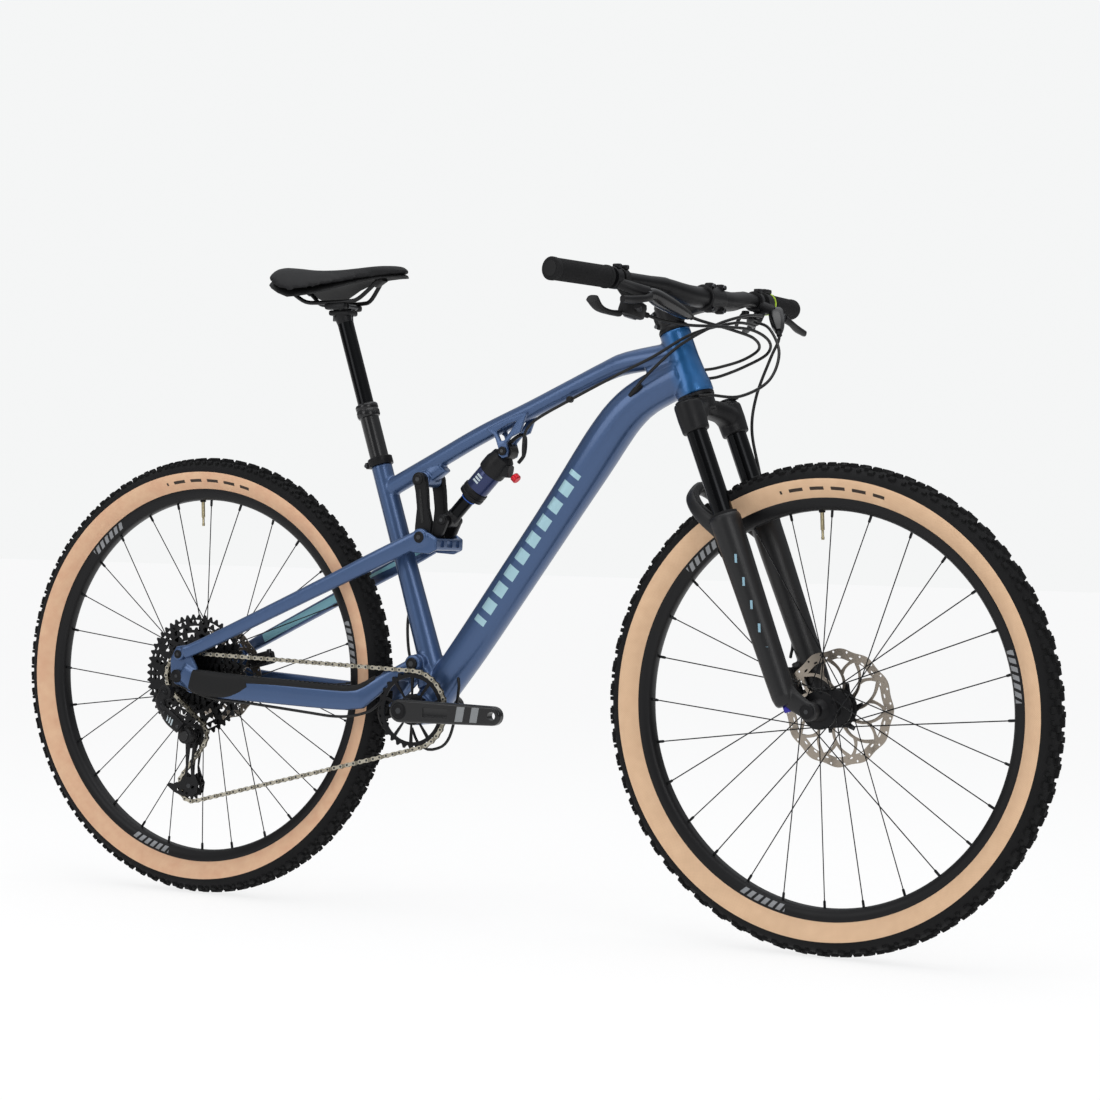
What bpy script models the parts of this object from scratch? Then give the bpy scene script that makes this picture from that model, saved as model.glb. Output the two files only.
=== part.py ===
"""Full-suspension mountain bike with 29 inch wheels, built as separate solids.

World frame: +X forward, +Y to the rider's left, +Z up, in metres.  The origin is on the ground,
midway between the two axles.  The steering is turned slightly to the rider's right.
"""
import math

import bmesh
import bpy
from mathutils import Matrix, Vector

# ---- driving dimensions (metres, radians) -------------------------------------------------
WHEELBASE = 1.1432
WHEEL_R = 0.370            # outside of the tread
TYRE_HALF_WIDTH = 0.0285
RIM_OUTER_R = 0.3165
RIM_INNER_R = 0.2975
SPOKES = 28
STEER_ANGLE = -0.0475      # about the steering axis, to the rider's right
STEER_SLOPE = (-0.3665, 0.0, 0.9304)
HEAD_BOTTOM = (0.3383, 0.0, 0.8408)
HEAD_LENGTH = 0.1055
FORK_OFFSET = 0.0445
AXLE_DROP = 0.5235         # from the head tube's lower face to the front axle, along the steerer
LEG_Y = 0.065
LEG_FORWARD = 0.0135
STANCHION_R = 0.016
BB = (-0.128, 0.0, 0.335)
MAIN_PIVOT = (-0.1345, 0.0, 0.4085)
REAR_AXLE = (-WHEELBASE / 2, 0.0, WHEEL_R)
DROPOUT_PIVOT = (-0.5655, 0.0, 0.407)
ROCKER_PIVOT = (-0.137, 0.0, 0.706)
STAY_PIVOT = (-0.126, 0.0, 0.6125)
SHOCK_LOWER = (-0.0955, 0.0, 0.641)
SHOCK_UPPER = (0.0095, 0.0, 0.753)
SEAT_SLOPE = (-0.3142, 0.0, 0.9493)
SEAT_TOP = (-0.2293, 0.0, 0.729)
POST_COLLAR = 0.106        # from the seat tube's top to the dropper post's collar
POST_HEAD = 0.268          # from the seat tube's top to the saddle clamp
CRANK_LENGTH = 0.170
RING_R = 0.0600
RING_Y = -0.050
COG_Y = -0.0575
CHAIN_R = 0.0017
COG_R = 0.0392              # the chain's centre line round the cog in use
UPPER_JOCKEY = (-0.551, COG_Y, 0.271)
LOWER_JOCKEY = (-0.552, COG_Y, 0.186)
JOCKEY_R = 0.0235
GAP = 0.0003               # between pieces that touch
BAR_PATH = ((0.0, 0.3588, 0.989), (0.055, 0.3588, 0.989), (0.085, 0.3565, 0.9915),
            (0.120, 0.3515, 0.9965), (0.160, 0.3450, 0.9995), (0.388, 0.3080, 1.0030))

LEVER_RIGHT_PIVOT = (0.3760, -0.2170, 0.9740)
LEVER_LEFT_PIVOT = (0.3780, 0.2220, 0.9740)
SHIFT_PIVOT = (0.3350, -0.1960, 0.9600)
DROPPER_PIVOT = (0.3440, 0.1740, 0.9640)
LOCKOUT_PIVOT = (0.3520, 0.1360, 0.9760)

ROUND = 12                 # sides of an ordinary turned piece
SMALL = 10                 # sides of bolts, pins and their holes
WHEEL_SIDES = 32
COLOURS = {
    "frame_paint": ("#45608f", 0.35, 0.55), "black_anodised": ("#17181a", 0.4, 0.6),
    "black_paint": ("#1b1c1e", 0.5, 0.1), "rubber": ("#1c1c1c", 0.85, 0.0),
    "tan_sidewall": ("#e9bf9b", 0.8, 0.0), "steel": ("#a39c90", 0.3, 1.0),
    "chain_steel": ("#b9b3a4", 0.3, 1.0), "saddle_cover": ("#161617", 0.6, 0.0),
    "hose": ("#141414", 0.5, 0.0), "red_anodised": ("#c52a32", 0.35, 0.8),
    "violet_anodised": ("#3d3a86", 0.35, 0.8), "shock_navy": ("#2b3560", 0.3, 0.7),
}


# ---- scene and small tools ----------------------------------------------------------------
for old in list(bpy.data.objects):
    bpy.data.objects.remove(old)

BIKE = bpy.data.collections.new("mountain_bike")
CUTTERS = bpy.data.collections.new("cutters")
bpy.context.scene.collection.children.link(BIKE)
bpy.context.scene.collection.children.link(CUTTERS)


def linear(channel):
    return channel / 12.92 if channel <= 0.04045 else ((channel + 0.055) / 1.055) ** 2.4


def material(name):
    """The named finish, made on first use."""
    if name in bpy.data.materials:
        return bpy.data.materials[name]
    colour, roughness, metallic = COLOURS[name]
    finish = bpy.data.materials.new(name)
    finish.use_nodes = True
    shader = finish.node_tree.nodes["Principled BSDF"]
    rgb = [linear(int(colour[i:i + 2], 16) / 255) for i in (1, 3, 5)]
    shader.inputs["Base Color"].default_value = (*rgb, 1)
    shader.inputs["Roughness"].default_value = roughness
    shader.inputs["Metallic"].default_value = metallic
    return finish


def new_object(name, mesh, finish=None):
    obj = bpy.data.objects.new(name, mesh)
    BIKE.objects.link(obj)
    if finish:
        obj.data.materials.append(material(finish))
    return obj


def from_bmesh(name, bm, finish=None):
    mesh = bpy.data.meshes.new(name)
    bm.to_mesh(mesh)
    bm.free()
    mesh.shade_smooth()
    mesh.set_sharp_from_angle(angle=math.radians(35))
    return new_object(name, mesh, finish)


def as_mesh(obj):
    """Turns a curve or an object with modifiers into a welded mesh in world coordinates."""
    bpy.context.view_layer.update()
    graph = bpy.context.evaluated_depsgraph_get()
    mesh = bpy.data.meshes.new_from_object(obj.evaluated_get(graph))
    mesh.transform(obj.matrix_world)
    bm = bmesh.new()
    bm.from_mesh(mesh)
    bmesh.ops.remove_doubles(bm, verts=bm.verts, dist=1e-6)
    bm.to_mesh(mesh)
    bm.free()
    name = obj.name
    data = obj.data
    bpy.data.objects.remove(obj)
    if isinstance(data, bpy.types.Curve):
        bpy.data.curves.remove(data)
    mesh.shade_smooth()
    mesh.set_sharp_from_angle(angle=math.radians(35))
    result = bpy.data.objects.new(name, mesh)
    BIKE.objects.link(result)
    return result


def hide(obj):
    BIKE.objects.unlink(obj)
    CUTTERS.objects.link(obj)
    obj.hide_render = True
    obj.display_type = "WIRE"


def boolean(obj, other, operation):
    step = obj.modifiers.new(other.name, "BOOLEAN")
    step.operation = operation
    step.object = other
    hide(other)


def union(obj, *others):
    for other in others:
        boolean(obj, other, "UNION")
    return obj


def cut(obj, *others):
    for other in others:
        boolean(obj, other, "DIFFERENCE")
    return obj


def along(start, direction, distance):
    return Vector(start) + Vector(direction).normalized() * distance


def steer(distance, forward=0.0, y=0.0):
    """A point by its distance up the steerer from the head tube's foot and ahead of it."""
    up = Vector(STEER_SLOPE).normalized()
    ahead = Vector((up.z, 0, -up.x))
    return Vector(HEAD_BOTTOM) + up * distance + ahead * forward + Vector((0, y, 0))


def rod(name, start, end, radius, finish=None, end_radius=None, sides=ROUND):
    """A straight cylinder or cone between two points."""
    start, end = Vector(start), Vector(end)
    bm = bmesh.new()
    bmesh.ops.create_cone(bm, cap_ends=True, segments=sides, radius1=radius,
                          radius2=radius if end_radius is None else end_radius,
                          depth=(end - start).length)
    turn = Vector((0, 0, 1)).rotation_difference(end - start).to_matrix().to_4x4()
    bm.transform(Matrix.Translation((start + end) / 2) @ turn)
    return from_bmesh(name, bm, finish)


def cross_rod(name, centre, y_low, y_high, radius, finish=None, sides=ROUND):
    """A cylinder that lies across the bike."""
    return rod(name, (centre[0], y_low, centre[2]), (centre[0], y_high, centre[2]), radius, finish,
               sides=sides)


def block(name, centre, size, finish=None, slope=0.0):
    """A box, turned about Y by slope."""
    bm = bmesh.new()
    bmesh.ops.create_cube(bm, size=1.0)
    bm.transform(Matrix.Translation(centre) @ Matrix.Rotation(slope, 4, "Y")
                 @ Matrix.Diagonal((*size, 1)))
    return from_bmesh(name, bm, finish)


def turned(name, profile, centre, direction=(0, 1, 0), finish=None, sides=ROUND, closed=False):
    """A turned piece: the profile is (radius, distance along the direction) from top to bottom."""
    mesh = bpy.data.meshes.new(name)
    points = [(r, 0, h) for r, h in profile]
    edges = [(i, i + 1) for i in range(len(points) - 1)]
    if closed:
        edges.append((len(points) - 1, 0))
    mesh.from_pydata(points, edges, [])
    obj = new_object(name, mesh)
    screw = obj.modifiers.new("turn", "SCREW")
    screw.steps = sides
    screw.render_steps = sides
    screw.use_merge_vertices = True
    screw.merge_threshold = 1e-5
    turn = Vector((0, 0, 1)).rotation_difference(Vector(direction)).to_matrix().to_4x4()
    obj.matrix_world = Matrix.Translation(centre) @ turn
    obj = as_mesh(obj)
    if finish:
        obj.data.materials.append(material(finish))
    return obj


def tube(name, points, radius, finish=None, resolution=2, radii=None, cyclic=False):
    """A round bar or hose through the points, whose thickness may change along it."""
    curve = bpy.data.curves.new(name, "CURVE")
    curve.dimensions = "3D"
    curve.bevel_depth = radius
    curve.bevel_resolution = resolution
    curve.use_fill_caps = True
    spline = curve.splines.new("POLY")
    spline.points.add(len(points) - 1)
    spline.use_cyclic_u = cyclic
    for i, place in enumerate(points):
        spline.points[i].co = (*place, 1)
        spline.points[i].radius = radii[i] / radius if radii else 1.0
    obj = bpy.data.objects.new(name, curve)
    BIKE.objects.link(obj)
    obj = as_mesh(obj)
    if finish:
        obj.data.materials.append(material(finish))
    return obj


def smooth_path(points, step):
    """Points at about the given step on a Catmull-Rom curve through the route's own points."""
    route = [Vector(p) for p in points]
    route = [route[0] * 2 - route[1]] + route + [route[-1] * 2 - route[-2]]
    result = []
    for a, b, c, d in zip(route, route[1:], route[2:], route[3:]):
        count = max(1, round((c - b).length / step))
        for i in range(count):
            t = i / count
            result.append(0.5 * (2 * b + (c - a) * t + (2 * a - 5 * b + 4 * c - d) * t * t
                                 + (3 * b - a - 3 * c + d) * t ** 3))
    return result + [route[-2]]


def plate(name, outline, y_low, y_high, finish=None):
    """A flat plate whose outline is given in the bike's side view, as (x, z)."""
    curve = bpy.data.curves.new(name, "CURVE")
    curve.dimensions = "2D"
    curve.fill_mode = "BOTH"
    curve.extrude = (y_high - y_low) / 2
    spline = curve.splines.new("POLY")
    spline.points.add(len(outline) - 1)
    spline.use_cyclic_u = True
    for point, (x, z) in zip(spline.points, outline):
        point.co = (x, z, 0, 1)
    obj = bpy.data.objects.new(name, curve)
    BIKE.objects.link(obj)
    obj.matrix_world = (Matrix.Translation((0, (y_low + y_high) / 2, 0))
                        @ Matrix.Rotation(math.radians(90), 4, "X"))
    obj = as_mesh(obj)
    if finish:
        obj.data.materials.append(material(finish))
    return obj


def loft(name, sections, finish=None):
    """A bar with an eight-sided section that changes: (x, y, z, half width, half height)."""
    bm = bmesh.new()
    corners = ((1, 0.5), (0.5, 1), (-0.5, 1), (-1, 0.5), (-1, -0.5), (-0.5, -1), (0.5, -1), (1, -0.5))
    centres = [Vector(s[:3]) for s in sections]
    rings = []
    for i, (_, _, _, width, height) in enumerate(sections):
        ahead = (centres[min(i + 1, len(centres) - 1)] - centres[max(i - 1, 0)]).normalized()
        side = Vector((0, 0, 1)).cross(ahead).normalized()
        up = ahead.cross(side)
        rings.append([bm.verts.new(centres[i] + side * width * a + up * height * b)
                      for a, b in corners])
    for ring, other in zip(rings, rings[1:]):
        for k in range(8):
            bm.faces.new((ring[k], ring[(k + 1) % 8], other[(k + 1) % 8], other[k]))
    bm.faces.new(list(reversed(rings[0])))
    bm.faces.new(rings[-1])
    bmesh.ops.recalc_face_normals(bm, faces=bm.faces)
    return from_bmesh(name, bm, finish)


def mirrored(sections):
    return [(x, -y, z, w, h) for x, y, z, w, h in sections]


def carry(empty, *objects):
    """Parents pieces to a group's empty, with the solids that are joined to them or cut from them."""
    for obj in objects:
        obj.parent = empty
        obj.matrix_parent_inverse = Matrix.Translation(-Vector(empty["home"]))
        carry(empty, *[step.object for step in obj.modifiers if step.type == "BOOLEAN"])


def group(name, place, parent=None, turn=None):
    """An empty at a joint; pieces are drawn at home and follow the empty's own turn."""
    empty = bpy.data.objects.new(name, None)
    BIKE.objects.link(empty)
    empty["home"] = tuple(place)
    if parent is None:
        empty.matrix_world = Matrix.Translation(place) @ (turn or Matrix())
    else:
        empty.parent = parent
        empty.matrix_parent_inverse = Matrix.Translation(-Vector(parent["home"]))
        empty.matrix_basis = Matrix.Translation(place)
    return empty


# ---- frame --------------------------------------------------------------------------------
def capped(profile):
    """The profile closed to the axis at both ends."""
    return [(0.0, profile[0][1])] + list(profile) + [(0.0, profile[-1][1])]


def main_frame():
    h = HEAD_LENGTH
    head = turned("main_frame", capped([(0.0245, h), (0.0245, h - 0.012), (0.0236, h - 0.022),
                                        (0.0262, 0.030), (0.0295, 0.012), (0.0295, 0.0)]),
                  HEAD_BOTTOM, STEER_SLOPE, "frame_paint", sides=ROUND)
    down = tube("down_tube", [BB, (-0.054, 0, 0.4316), (0.1053, 0, 0.6548), (0.1650, 0, 0.7410),
                              (0.1900, 0, 0.7770), (0.2180, 0, 0.8120), (0.2530, 0, 0.8400),
                              (0.3180, 0, 0.8720)], 0.030, resolution=3,
                radii=[0.0275, 0.029, 0.0305, 0.0325, 0.0325, 0.0315, 0.0300, 0.0290])
    top = tube("top_tube", [(-0.214, 0, 0.6895), (-0.120, 0, 0.7385), (-0.0368, 0, 0.7815),
                            (0.050, 0, 0.8200), (0.128, 0, 0.8555), (0.184, 0, 0.8800),
                            (0.222, 0, 0.8925), (0.310, 0, 0.9060)], 0.015, resolution=3,
               radii=[0.0150, 0.0145, 0.0142, 0.0140, 0.0145, 0.0158, 0.0180, 0.0200])
    seat = rod("seat_tube", (-0.1125, 0, 0.376), SEAT_TOP, 0.0205, end_radius=0.0175)
    shell = cross_rod("bb_shell", BB, -0.0365, 0.0365, 0.0255)
    lug = cross_rod("pivot_lug", MAIN_PIVOT, -0.0305, 0.0305, 0.0155)
    lug_web = plate("pivot_web", [(-0.1480, 0.4150), (-0.1500, 0.3400), (-0.0850, 0.3400),
                                  (-0.0900, 0.4300), (-0.1250, 0.4230)], -0.026, 0.026)
    gusset = plate("head_gusset", [(0.2380, 0.8720), (0.2330, 0.8900), (0.2900, 0.9000),
                                   (0.3100, 0.8700), (0.2500, 0.8440)], -0.017, 0.017)
    rocker_lug = cross_rod("rocker_lug", ROCKER_PIVOT, -0.0215, 0.0215, 0.0125)
    rocker_web = plate("rocker_web", [(-0.1480, 0.7120), (-0.1350, 0.7330), (-0.0980, 0.7500),
                                      (-0.0960, 0.7260), (-0.1260, 0.7020)], -0.012, 0.012)
    frame = union(head, down, top, seat, shell, lug, lug_web, gusset, rocker_lug, rocker_web)
    for side in (-1, 1):
        inner, outer = sorted((side * 0.0125, side * 0.0185))
        ear = plate(f"shock_ear_{side}", [(-0.0020, 0.7470), (0.0000, 0.7420), (0.0095, 0.7395),
                                          (0.0190, 0.7430), (0.0215, 0.7530), (0.0400, 0.8130),
                                          (0.0200, 0.8130), (0.0120, 0.7760), (-0.0010, 0.7800),
                                          (-0.0090, 0.8000), (-0.0280, 0.7880), (-0.0100, 0.7640)],
                    inner, outer)
        union(frame, ear)
    bore = rod("steerer_bore", steer(-0.01), steer(h + 0.01), 0.0190, sides=20)
    bb_bore = cross_rod("bb_bore", BB, -0.05, 0.05, 0.0212)
    post_bore = rod("post_bore", along(SEAT_TOP, SEAT_SLOPE, -0.235),
                    along(SEAT_TOP, SEAT_SLOPE, 0.02), 0.0164)
    pivot_bore = cross_rod("main_pivot_bore", MAIN_PIVOT, -0.05, 0.05, 0.0078, sides=SMALL)
    rocker_bore = cross_rod("rocker_bore", ROCKER_PIVOT, -0.05, 0.05, 0.0064, sides=SMALL)
    shock_bore = cross_rod("shock_bore", SHOCK_UPPER, -0.05, 0.05, 0.0045, sides=SMALL)
    return cut(frame, bore, bb_bore, post_bore, pivot_bore, rocker_bore, shock_bore)


def frame_fittings():
    h = HEAD_LENGTH
    ring = turned("headset_cover", [(0.0190, 0.0075), (0.0240, 0.0050), (0.0245, 0.0003),
                                    (0.0155, 0.0003), (0.0155, 0.0075)],
                  steer(h), STEER_SLOPE, "black_anodised", closed=True)
    clamp = turned("seat_clamp", [(0.0164, 0.0135), (0.0205, 0.0135), (0.0212, 0.0070),
                                  (0.0205, 0.0004), (0.0164, 0.0004)],
                   SEAT_TOP, SEAT_SLOPE, "black_anodised", closed=True)
    back = along(SEAT_TOP, SEAT_SLOPE, 0.007) + Vector((-0.0225, 0, -0.0075))
    union(clamp, rod("seat_clamp_bolt", back + Vector((0, -0.009, 0)), back + Vector((0, 0.009, 0)),
                     0.0042, sides=12))
    cups = turned("bottom_bracket", [(0.0153, 0.0460), (0.0235, 0.0460), (0.0240, 0.0368),
                                     (0.0201, 0.0368), (0.0201, -0.0368), (0.0240, -0.0368),
                                     (0.0235, -0.0460), (0.0153, -0.0460)],
                  BB, (0, 1, 0), "black_anodised", closed=True)
    outer = turned("dropper_outer", [(0.0, -0.219), (0.0142, -0.219), (0.0142, POST_COLLAR + 0.022),
                                     (0.0165, POST_COLLAR + 0.022), (0.0185, POST_COLLAR + 0.018),
                                     (0.0185, POST_COLLAR), (0.0155, POST_COLLAR - 0.002),
                                     (0.0155, -0.225), (0.0, -0.225)],
                   SEAT_TOP, SEAT_SLOPE, "black_anodised")
    pivot = turned("main_pivot_axle", capped([(0.0110, 0.0465), (0.0110, 0.0438), (0.0073, 0.0438),
                                              (0.0073, -0.0438), (0.0110, -0.0438),
                                              (0.0110, -0.0465)]),
                   MAIN_PIVOT, (0, 1, 0), "black_anodised", sides=SMALL)
    rocker_axle = turned("rocker_pivot_axle", capped([(0.0095, 0.0375), (0.0095, 0.0343),
                                                      (0.0058, 0.0343), (0.0058, -0.0343),
                                                      (0.0095, -0.0343), (0.0095, -0.0375)]),
                         ROCKER_PIVOT, (0, 1, 0), "black_anodised", sides=SMALL)
    return ring, clamp, cups, outer, pivot, rocker_axle


# ---- wheels -------------------------------------------------------------------------------
def tyre(name, centre):
    """A C-shaped casing with its tread, open towards the rim."""
    outside = [(RIM_OUTER_R - 0.0040, 0.0113), (RIM_OUTER_R + 0.0006, 0.0131), (0.3310, 0.0268),
               (0.3500, 0.0278), (WHEEL_R, 0.0090)]
    inside = [(RIM_OUTER_R - 0.0035, 0.0094), (0.3380, 0.0225), (0.3600, 0.0100)]
    half = inside[::-1] + outside
    profile = half + [(r, -y) for r, y in reversed(half)]
    return turned(name, profile_sorted(profile), centre, (0, 1, 0), "tan_sidewall",
                  sides=WHEEL_SIDES, closed=True)


def profile_sorted(profile):
    """The closed profile, run so that the outside goes from top to bottom."""
    area = sum(a[0] * b[1] - b[0] * a[1] for a, b in zip(profile, profile[1:] + profile[:1]))
    return profile if area < 0 else list(reversed(profile))


def rim(name, centre):
    """A U-shaped rim whose walls hold the tyre's beads from outside."""
    lip = RIM_OUTER_R - 0.0006
    well = RIM_OUTER_R - 0.0120
    profile = [(lip, 0.0150), (RIM_INNER_R, 0.0080), (RIM_INNER_R, -0.0080), (lip, -0.0150),
               (lip, -0.0136), (well, -0.0080), (well, 0.0080), (lip, 0.0136)]
    return turned(name, profile_sorted(profile), centre, (0, 1, 0), "black_anodised",
                  sides=WHEEL_SIDES, closed=True)


def spoke_set(name, centre, flanges):
    """All spokes of one wheel as thin bars from the hub's flanges to the rim."""
    bm = bmesh.new()
    per_side = SPOKES // 2
    reach = RIM_INNER_R * math.cos(math.pi / WHEEL_SIDES) - 0.0008
    for side, (flange_y, flange_r) in enumerate(flanges):
        for i in range(per_side):
            angle = 2 * math.pi * (i + 0.5 * side) / per_side
            lean = math.radians(72 if i % 2 else -72)
            outward = 0.0022 if i % 2 else -0.0022
            foot = angle + lean
            start = Vector((flange_r * math.cos(foot), flange_y + outward, flange_r * math.sin(foot)))
            end = Vector((reach * math.cos(angle), 0.0, reach * math.sin(angle)))
            end.y = math.copysign(0.003, flange_y) + 0.4 * outward
            start -= (end - start).normalized() * 0.004
            made = bmesh.ops.create_cone(bm, cap_ends=True, segments=3, radius1=0.0011,
                                         radius2=0.0011, depth=(end - start).length)
            turn = Vector((0, 0, 1)).rotation_difference(end - start).to_matrix().to_4x4()
            bmesh.ops.transform(bm, matrix=Matrix.Translation((start + end) / 2) @ turn,
                                verts=made["verts"])
    bm.transform(Matrix.Translation(centre))
    return from_bmesh(name, bm)


def hub(name, centre, profile, flanges):
    body = turned(name, profile, centre, (0, 1, 0), "black_anodised", sides=12, closed=True)
    union(body, spoke_set(name + "_spokes", centre, flanges))
    body.modifiers[-1].use_self = True
    return body


def rotor(name, centre, y, radius, bore):
    """A brake rotor: rim ring, inner ring and six arms."""
    middle = Vector(centre) + Vector((0, y, 0))
    half = 0.0009
    ring = turned(name, [(radius, half), (radius, -half), (radius - 0.014, -half),
                         (radius - 0.014, half)], middle, (0, 1, 0), "steel", sides=24, closed=True)
    inner = turned(name + "_carrier", [(bore + 0.009, half), (bore + 0.009, -half), (bore, -half),
                                       (bore, half)], middle, (0, 1, 0), sides=ROUND, closed=True)
    union(ring, inner)
    for i in range(6):
        angle = math.radians(60 * i)
        lean = angle + math.radians(28)
        start = middle + Vector((math.cos(angle), 0, math.sin(angle))) * (bore + 0.006)
        end = middle + Vector((math.cos(lean), 0, math.sin(lean))) * (radius - 0.010)
        arm = block(f"{name}_arm_{i}", (0, 0, 0), ((end - start).length, 1.6 * half, 0.006))
        slope = -math.atan2(end.z - start.z, end.x - start.x)
        arm.data.transform(Matrix.Translation((start + end) / 2) @ Matrix.Rotation(slope, 4, "Y"))
        union(ring, arm)
    return ring


def front_wheel(centre):
    flanges = ((-0.030, 0.0265), (0.024, 0.0265))
    profile = [(0.0110, 0.0545), (0.0110, 0.0420), (0.0200, 0.0418), (0.0200, 0.0376),
               (0.0235, 0.0374), (0.0235, 0.0330), (0.0290, 0.0265), (0.0290, 0.0215),
               (0.0150, 0.0190), (0.0150, -0.0260), (0.0290, -0.0275), (0.0290, -0.0325),
               (0.0110, -0.0400), (0.0110, -0.0545), (0.0079, -0.0545), (0.0079, 0.0545)]
    return (tyre("front_tyre", centre), rim("front_rim", centre),
            hub("front_hub", centre, profile, flanges),
            rotor("front_rotor", centre, 0.0394, 0.090, 0.0209))


def rear_wheel(centre):
    flanges = ((-0.0225, 0.0285), (0.0340, 0.0285))
    profile = [(0.0110, 0.0735), (0.0110, 0.0520), (0.0200, 0.0518), (0.0200, 0.0476),
               (0.0235, 0.0474), (0.0235, 0.0440), (0.0310, 0.0365), (0.0310, 0.0315),
               (0.0160, 0.0280), (0.0160, -0.0180), (0.0310, -0.0200), (0.0310, -0.0250),
               (0.0110, -0.0254), (0.0110, -0.0735), (0.0079, -0.0735), (0.0079, 0.0735)]
    return (tyre("rear_tyre", centre), rim("rear_rim", centre),
            hub("rear_hub", centre, profile, flanges),
            rotor("rear_rotor", centre, 0.0494, 0.080, 0.0209))


def cassette(centre):
    """Twelve cogs as a stepped cone, the largest against the hub, two cogs to a step."""
    tips = (0.1030, 0.0790, 0.0640, 0.0510, 0.0360, 0.0290)
    starts = (-0.0262, -0.0310, -0.0395, -0.0470, -0.0550, -0.0628)
    end = -0.0684
    profile = []
    for tip, y, below in zip(tips, starts, starts[1:] + (end,)):
        profile += [(tip, y), (tip, below)]
    profile += [(0.0117, end), (0.0117, starts[0])]
    return turned("cassette", profile, centre, (0, 1, 0), "black_anodised", sides=ROUND, closed=True)


# ---- fork ---------------------------------------------------------------------------------
def fork_upper():
    crown = rod("fork_upper", steer(-0.030), steer(-0.0065), 0.0265, "black_paint")
    steerer = rod("steerer", steer(-0.020), steer(0.1500), 0.0143)
    union(crown, steerer)
    for side in (-1, 1):
        leg = rod(f"crown_leg_{side}", steer(-0.068, LEG_FORWARD, side * LEG_Y),
                  steer(-0.020, LEG_FORWARD, side * LEG_Y), 0.0205, end_radius=0.0225)
        arm = rod(f"crown_arm_{side}", steer(-0.021, 0.002, 0),
                  steer(-0.042, LEG_FORWARD, side * LEG_Y), 0.0165)
        stanchion = rod(f"stanchion_{side}", steer(-0.352, LEG_FORWARD, side * LEG_Y),
                        steer(-0.050, LEG_FORWARD, side * LEG_Y), STANCHION_R)
        union(crown, leg, arm, stanchion)
    return crown


def fork_lowers():
    tops, bottoms = -0.2021, -0.5030
    right = None
    for side in (-1, 1):
        leg = turned("fork_lowers" if side < 0 else "lower_leg_left",
                     capped([(0.0235, tops - bottoms), (0.0238, tops - bottoms - 0.024),
                             (0.0218, tops - bottoms - 0.040), (0.0200, 0.060), (0.0190, 0.006),
                             (0.0150, 0.0)]),
                     steer(bottoms, LEG_FORWARD, side * LEG_Y), STEER_SLOPE, "black_paint", sides=12)
        if right is None:
            right = leg
        else:
            union(right, leg)
    arch = tube("arch", smooth_path([steer(-0.218, 0.003, -0.0675), steer(-0.186, -0.024, -0.060),
                                     steer(-0.156, -0.038, -0.044), steer(-0.141, -0.041, -0.018),
                                     steer(-0.141, -0.041, 0.018), steer(-0.156, -0.038, 0.044),
                                     steer(-0.186, -0.024, 0.060), steer(-0.218, 0.003, 0.0675)],
                                    0.022), 0.0098, resolution=2)
    union(right, arch)
    for side in (-1, 1):
        inner, outer = sorted((side * 0.0552, side * 0.0720))
        boss = cross_rod(f"dropout_{side}", steer(-AXLE_DROP, FORK_OFFSET), inner, outer, 0.0145)
        corners = [steer(distance, forward) for distance, forward in
                   ((-0.470, 0.0080), (-0.494, 0.0205), (-0.530, 0.0335), (-0.514, 0.0555),
                    (-0.470, 0.0300))]
        web = plate(f"dropout_web_{side}", [(c.x, c.z) for c in corners], inner, outer)
        union(right, boss, web)
    mount = block("caliper_mount", steer(-0.462, -0.006, 0.0600), (0.020, 0.008, 0.050),
                  slope=math.radians(-21.5))
    union(right, mount)
    for side in (-1, 1):
        bore = rod(f"leg_bore_{side}", steer(-0.492, LEG_FORWARD, side * LEG_Y),
                   steer(tops + 0.01, LEG_FORWARD, side * LEG_Y), STANCHION_R + 0.0009)
        cut(right, bore)
    axle_bore = cross_rod("front_axle_bore", steer(-AXLE_DROP, FORK_OFFSET), -0.09, 0.09, 0.0078,
                          sides=16)
    return cut(right, axle_bore)


def front_axle():
    middle = steer(-AXLE_DROP, FORK_OFFSET)
    return turned("front_axle", capped([(0.0075, 0.0735), (0.0075, -0.0723), (0.0100, -0.0723),
                                        (0.0100, -0.0755)]),
                  middle, (0, 1, 0), "black_anodised", sides=12)


def front_caliper():
    """A two-piston caliper whose slot clears the rotor."""
    middle = steer(-0.462, -0.020)
    slope = math.radians(-21.5)
    body = block("front_caliper", (middle.x, 0.0428, middle.z), (0.024, 0.0260, 0.046),
                 "black_anodised", slope)
    slot = turned("front_caliper_slot", capped([(0.0925, 0.0020), (0.0925, -0.0020)]),
                  steer(-AXLE_DROP, FORK_OFFSET, 0.0394), (0, 1, 0), sides=32)
    return cut(body, slot)


def rebound_knob():
    return rod("rebound_knob", steer(-0.5140, LEG_FORWARD, -LEG_Y),
               steer(-0.5034, LEG_FORWARD, -LEG_Y), 0.0070, "violet_anodised", sides=16)


# ---- cockpit ------------------------------------------------------------------------------
def bar_point(y):
    """The handlebar's centre at a place across the bike."""
    reach = abs(y)
    for (y0, x0, z0), (y1, x1, z1) in zip(BAR_PATH, BAR_PATH[1:]):
        if reach <= y1:
            t = (reach - y0) / (y1 - y0)
            return Vector((x0 + (x1 - x0) * t, y, z0 + (z1 - z0) * t))
    return Vector((BAR_PATH[-1][1], y, BAR_PATH[-1][2]))


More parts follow.
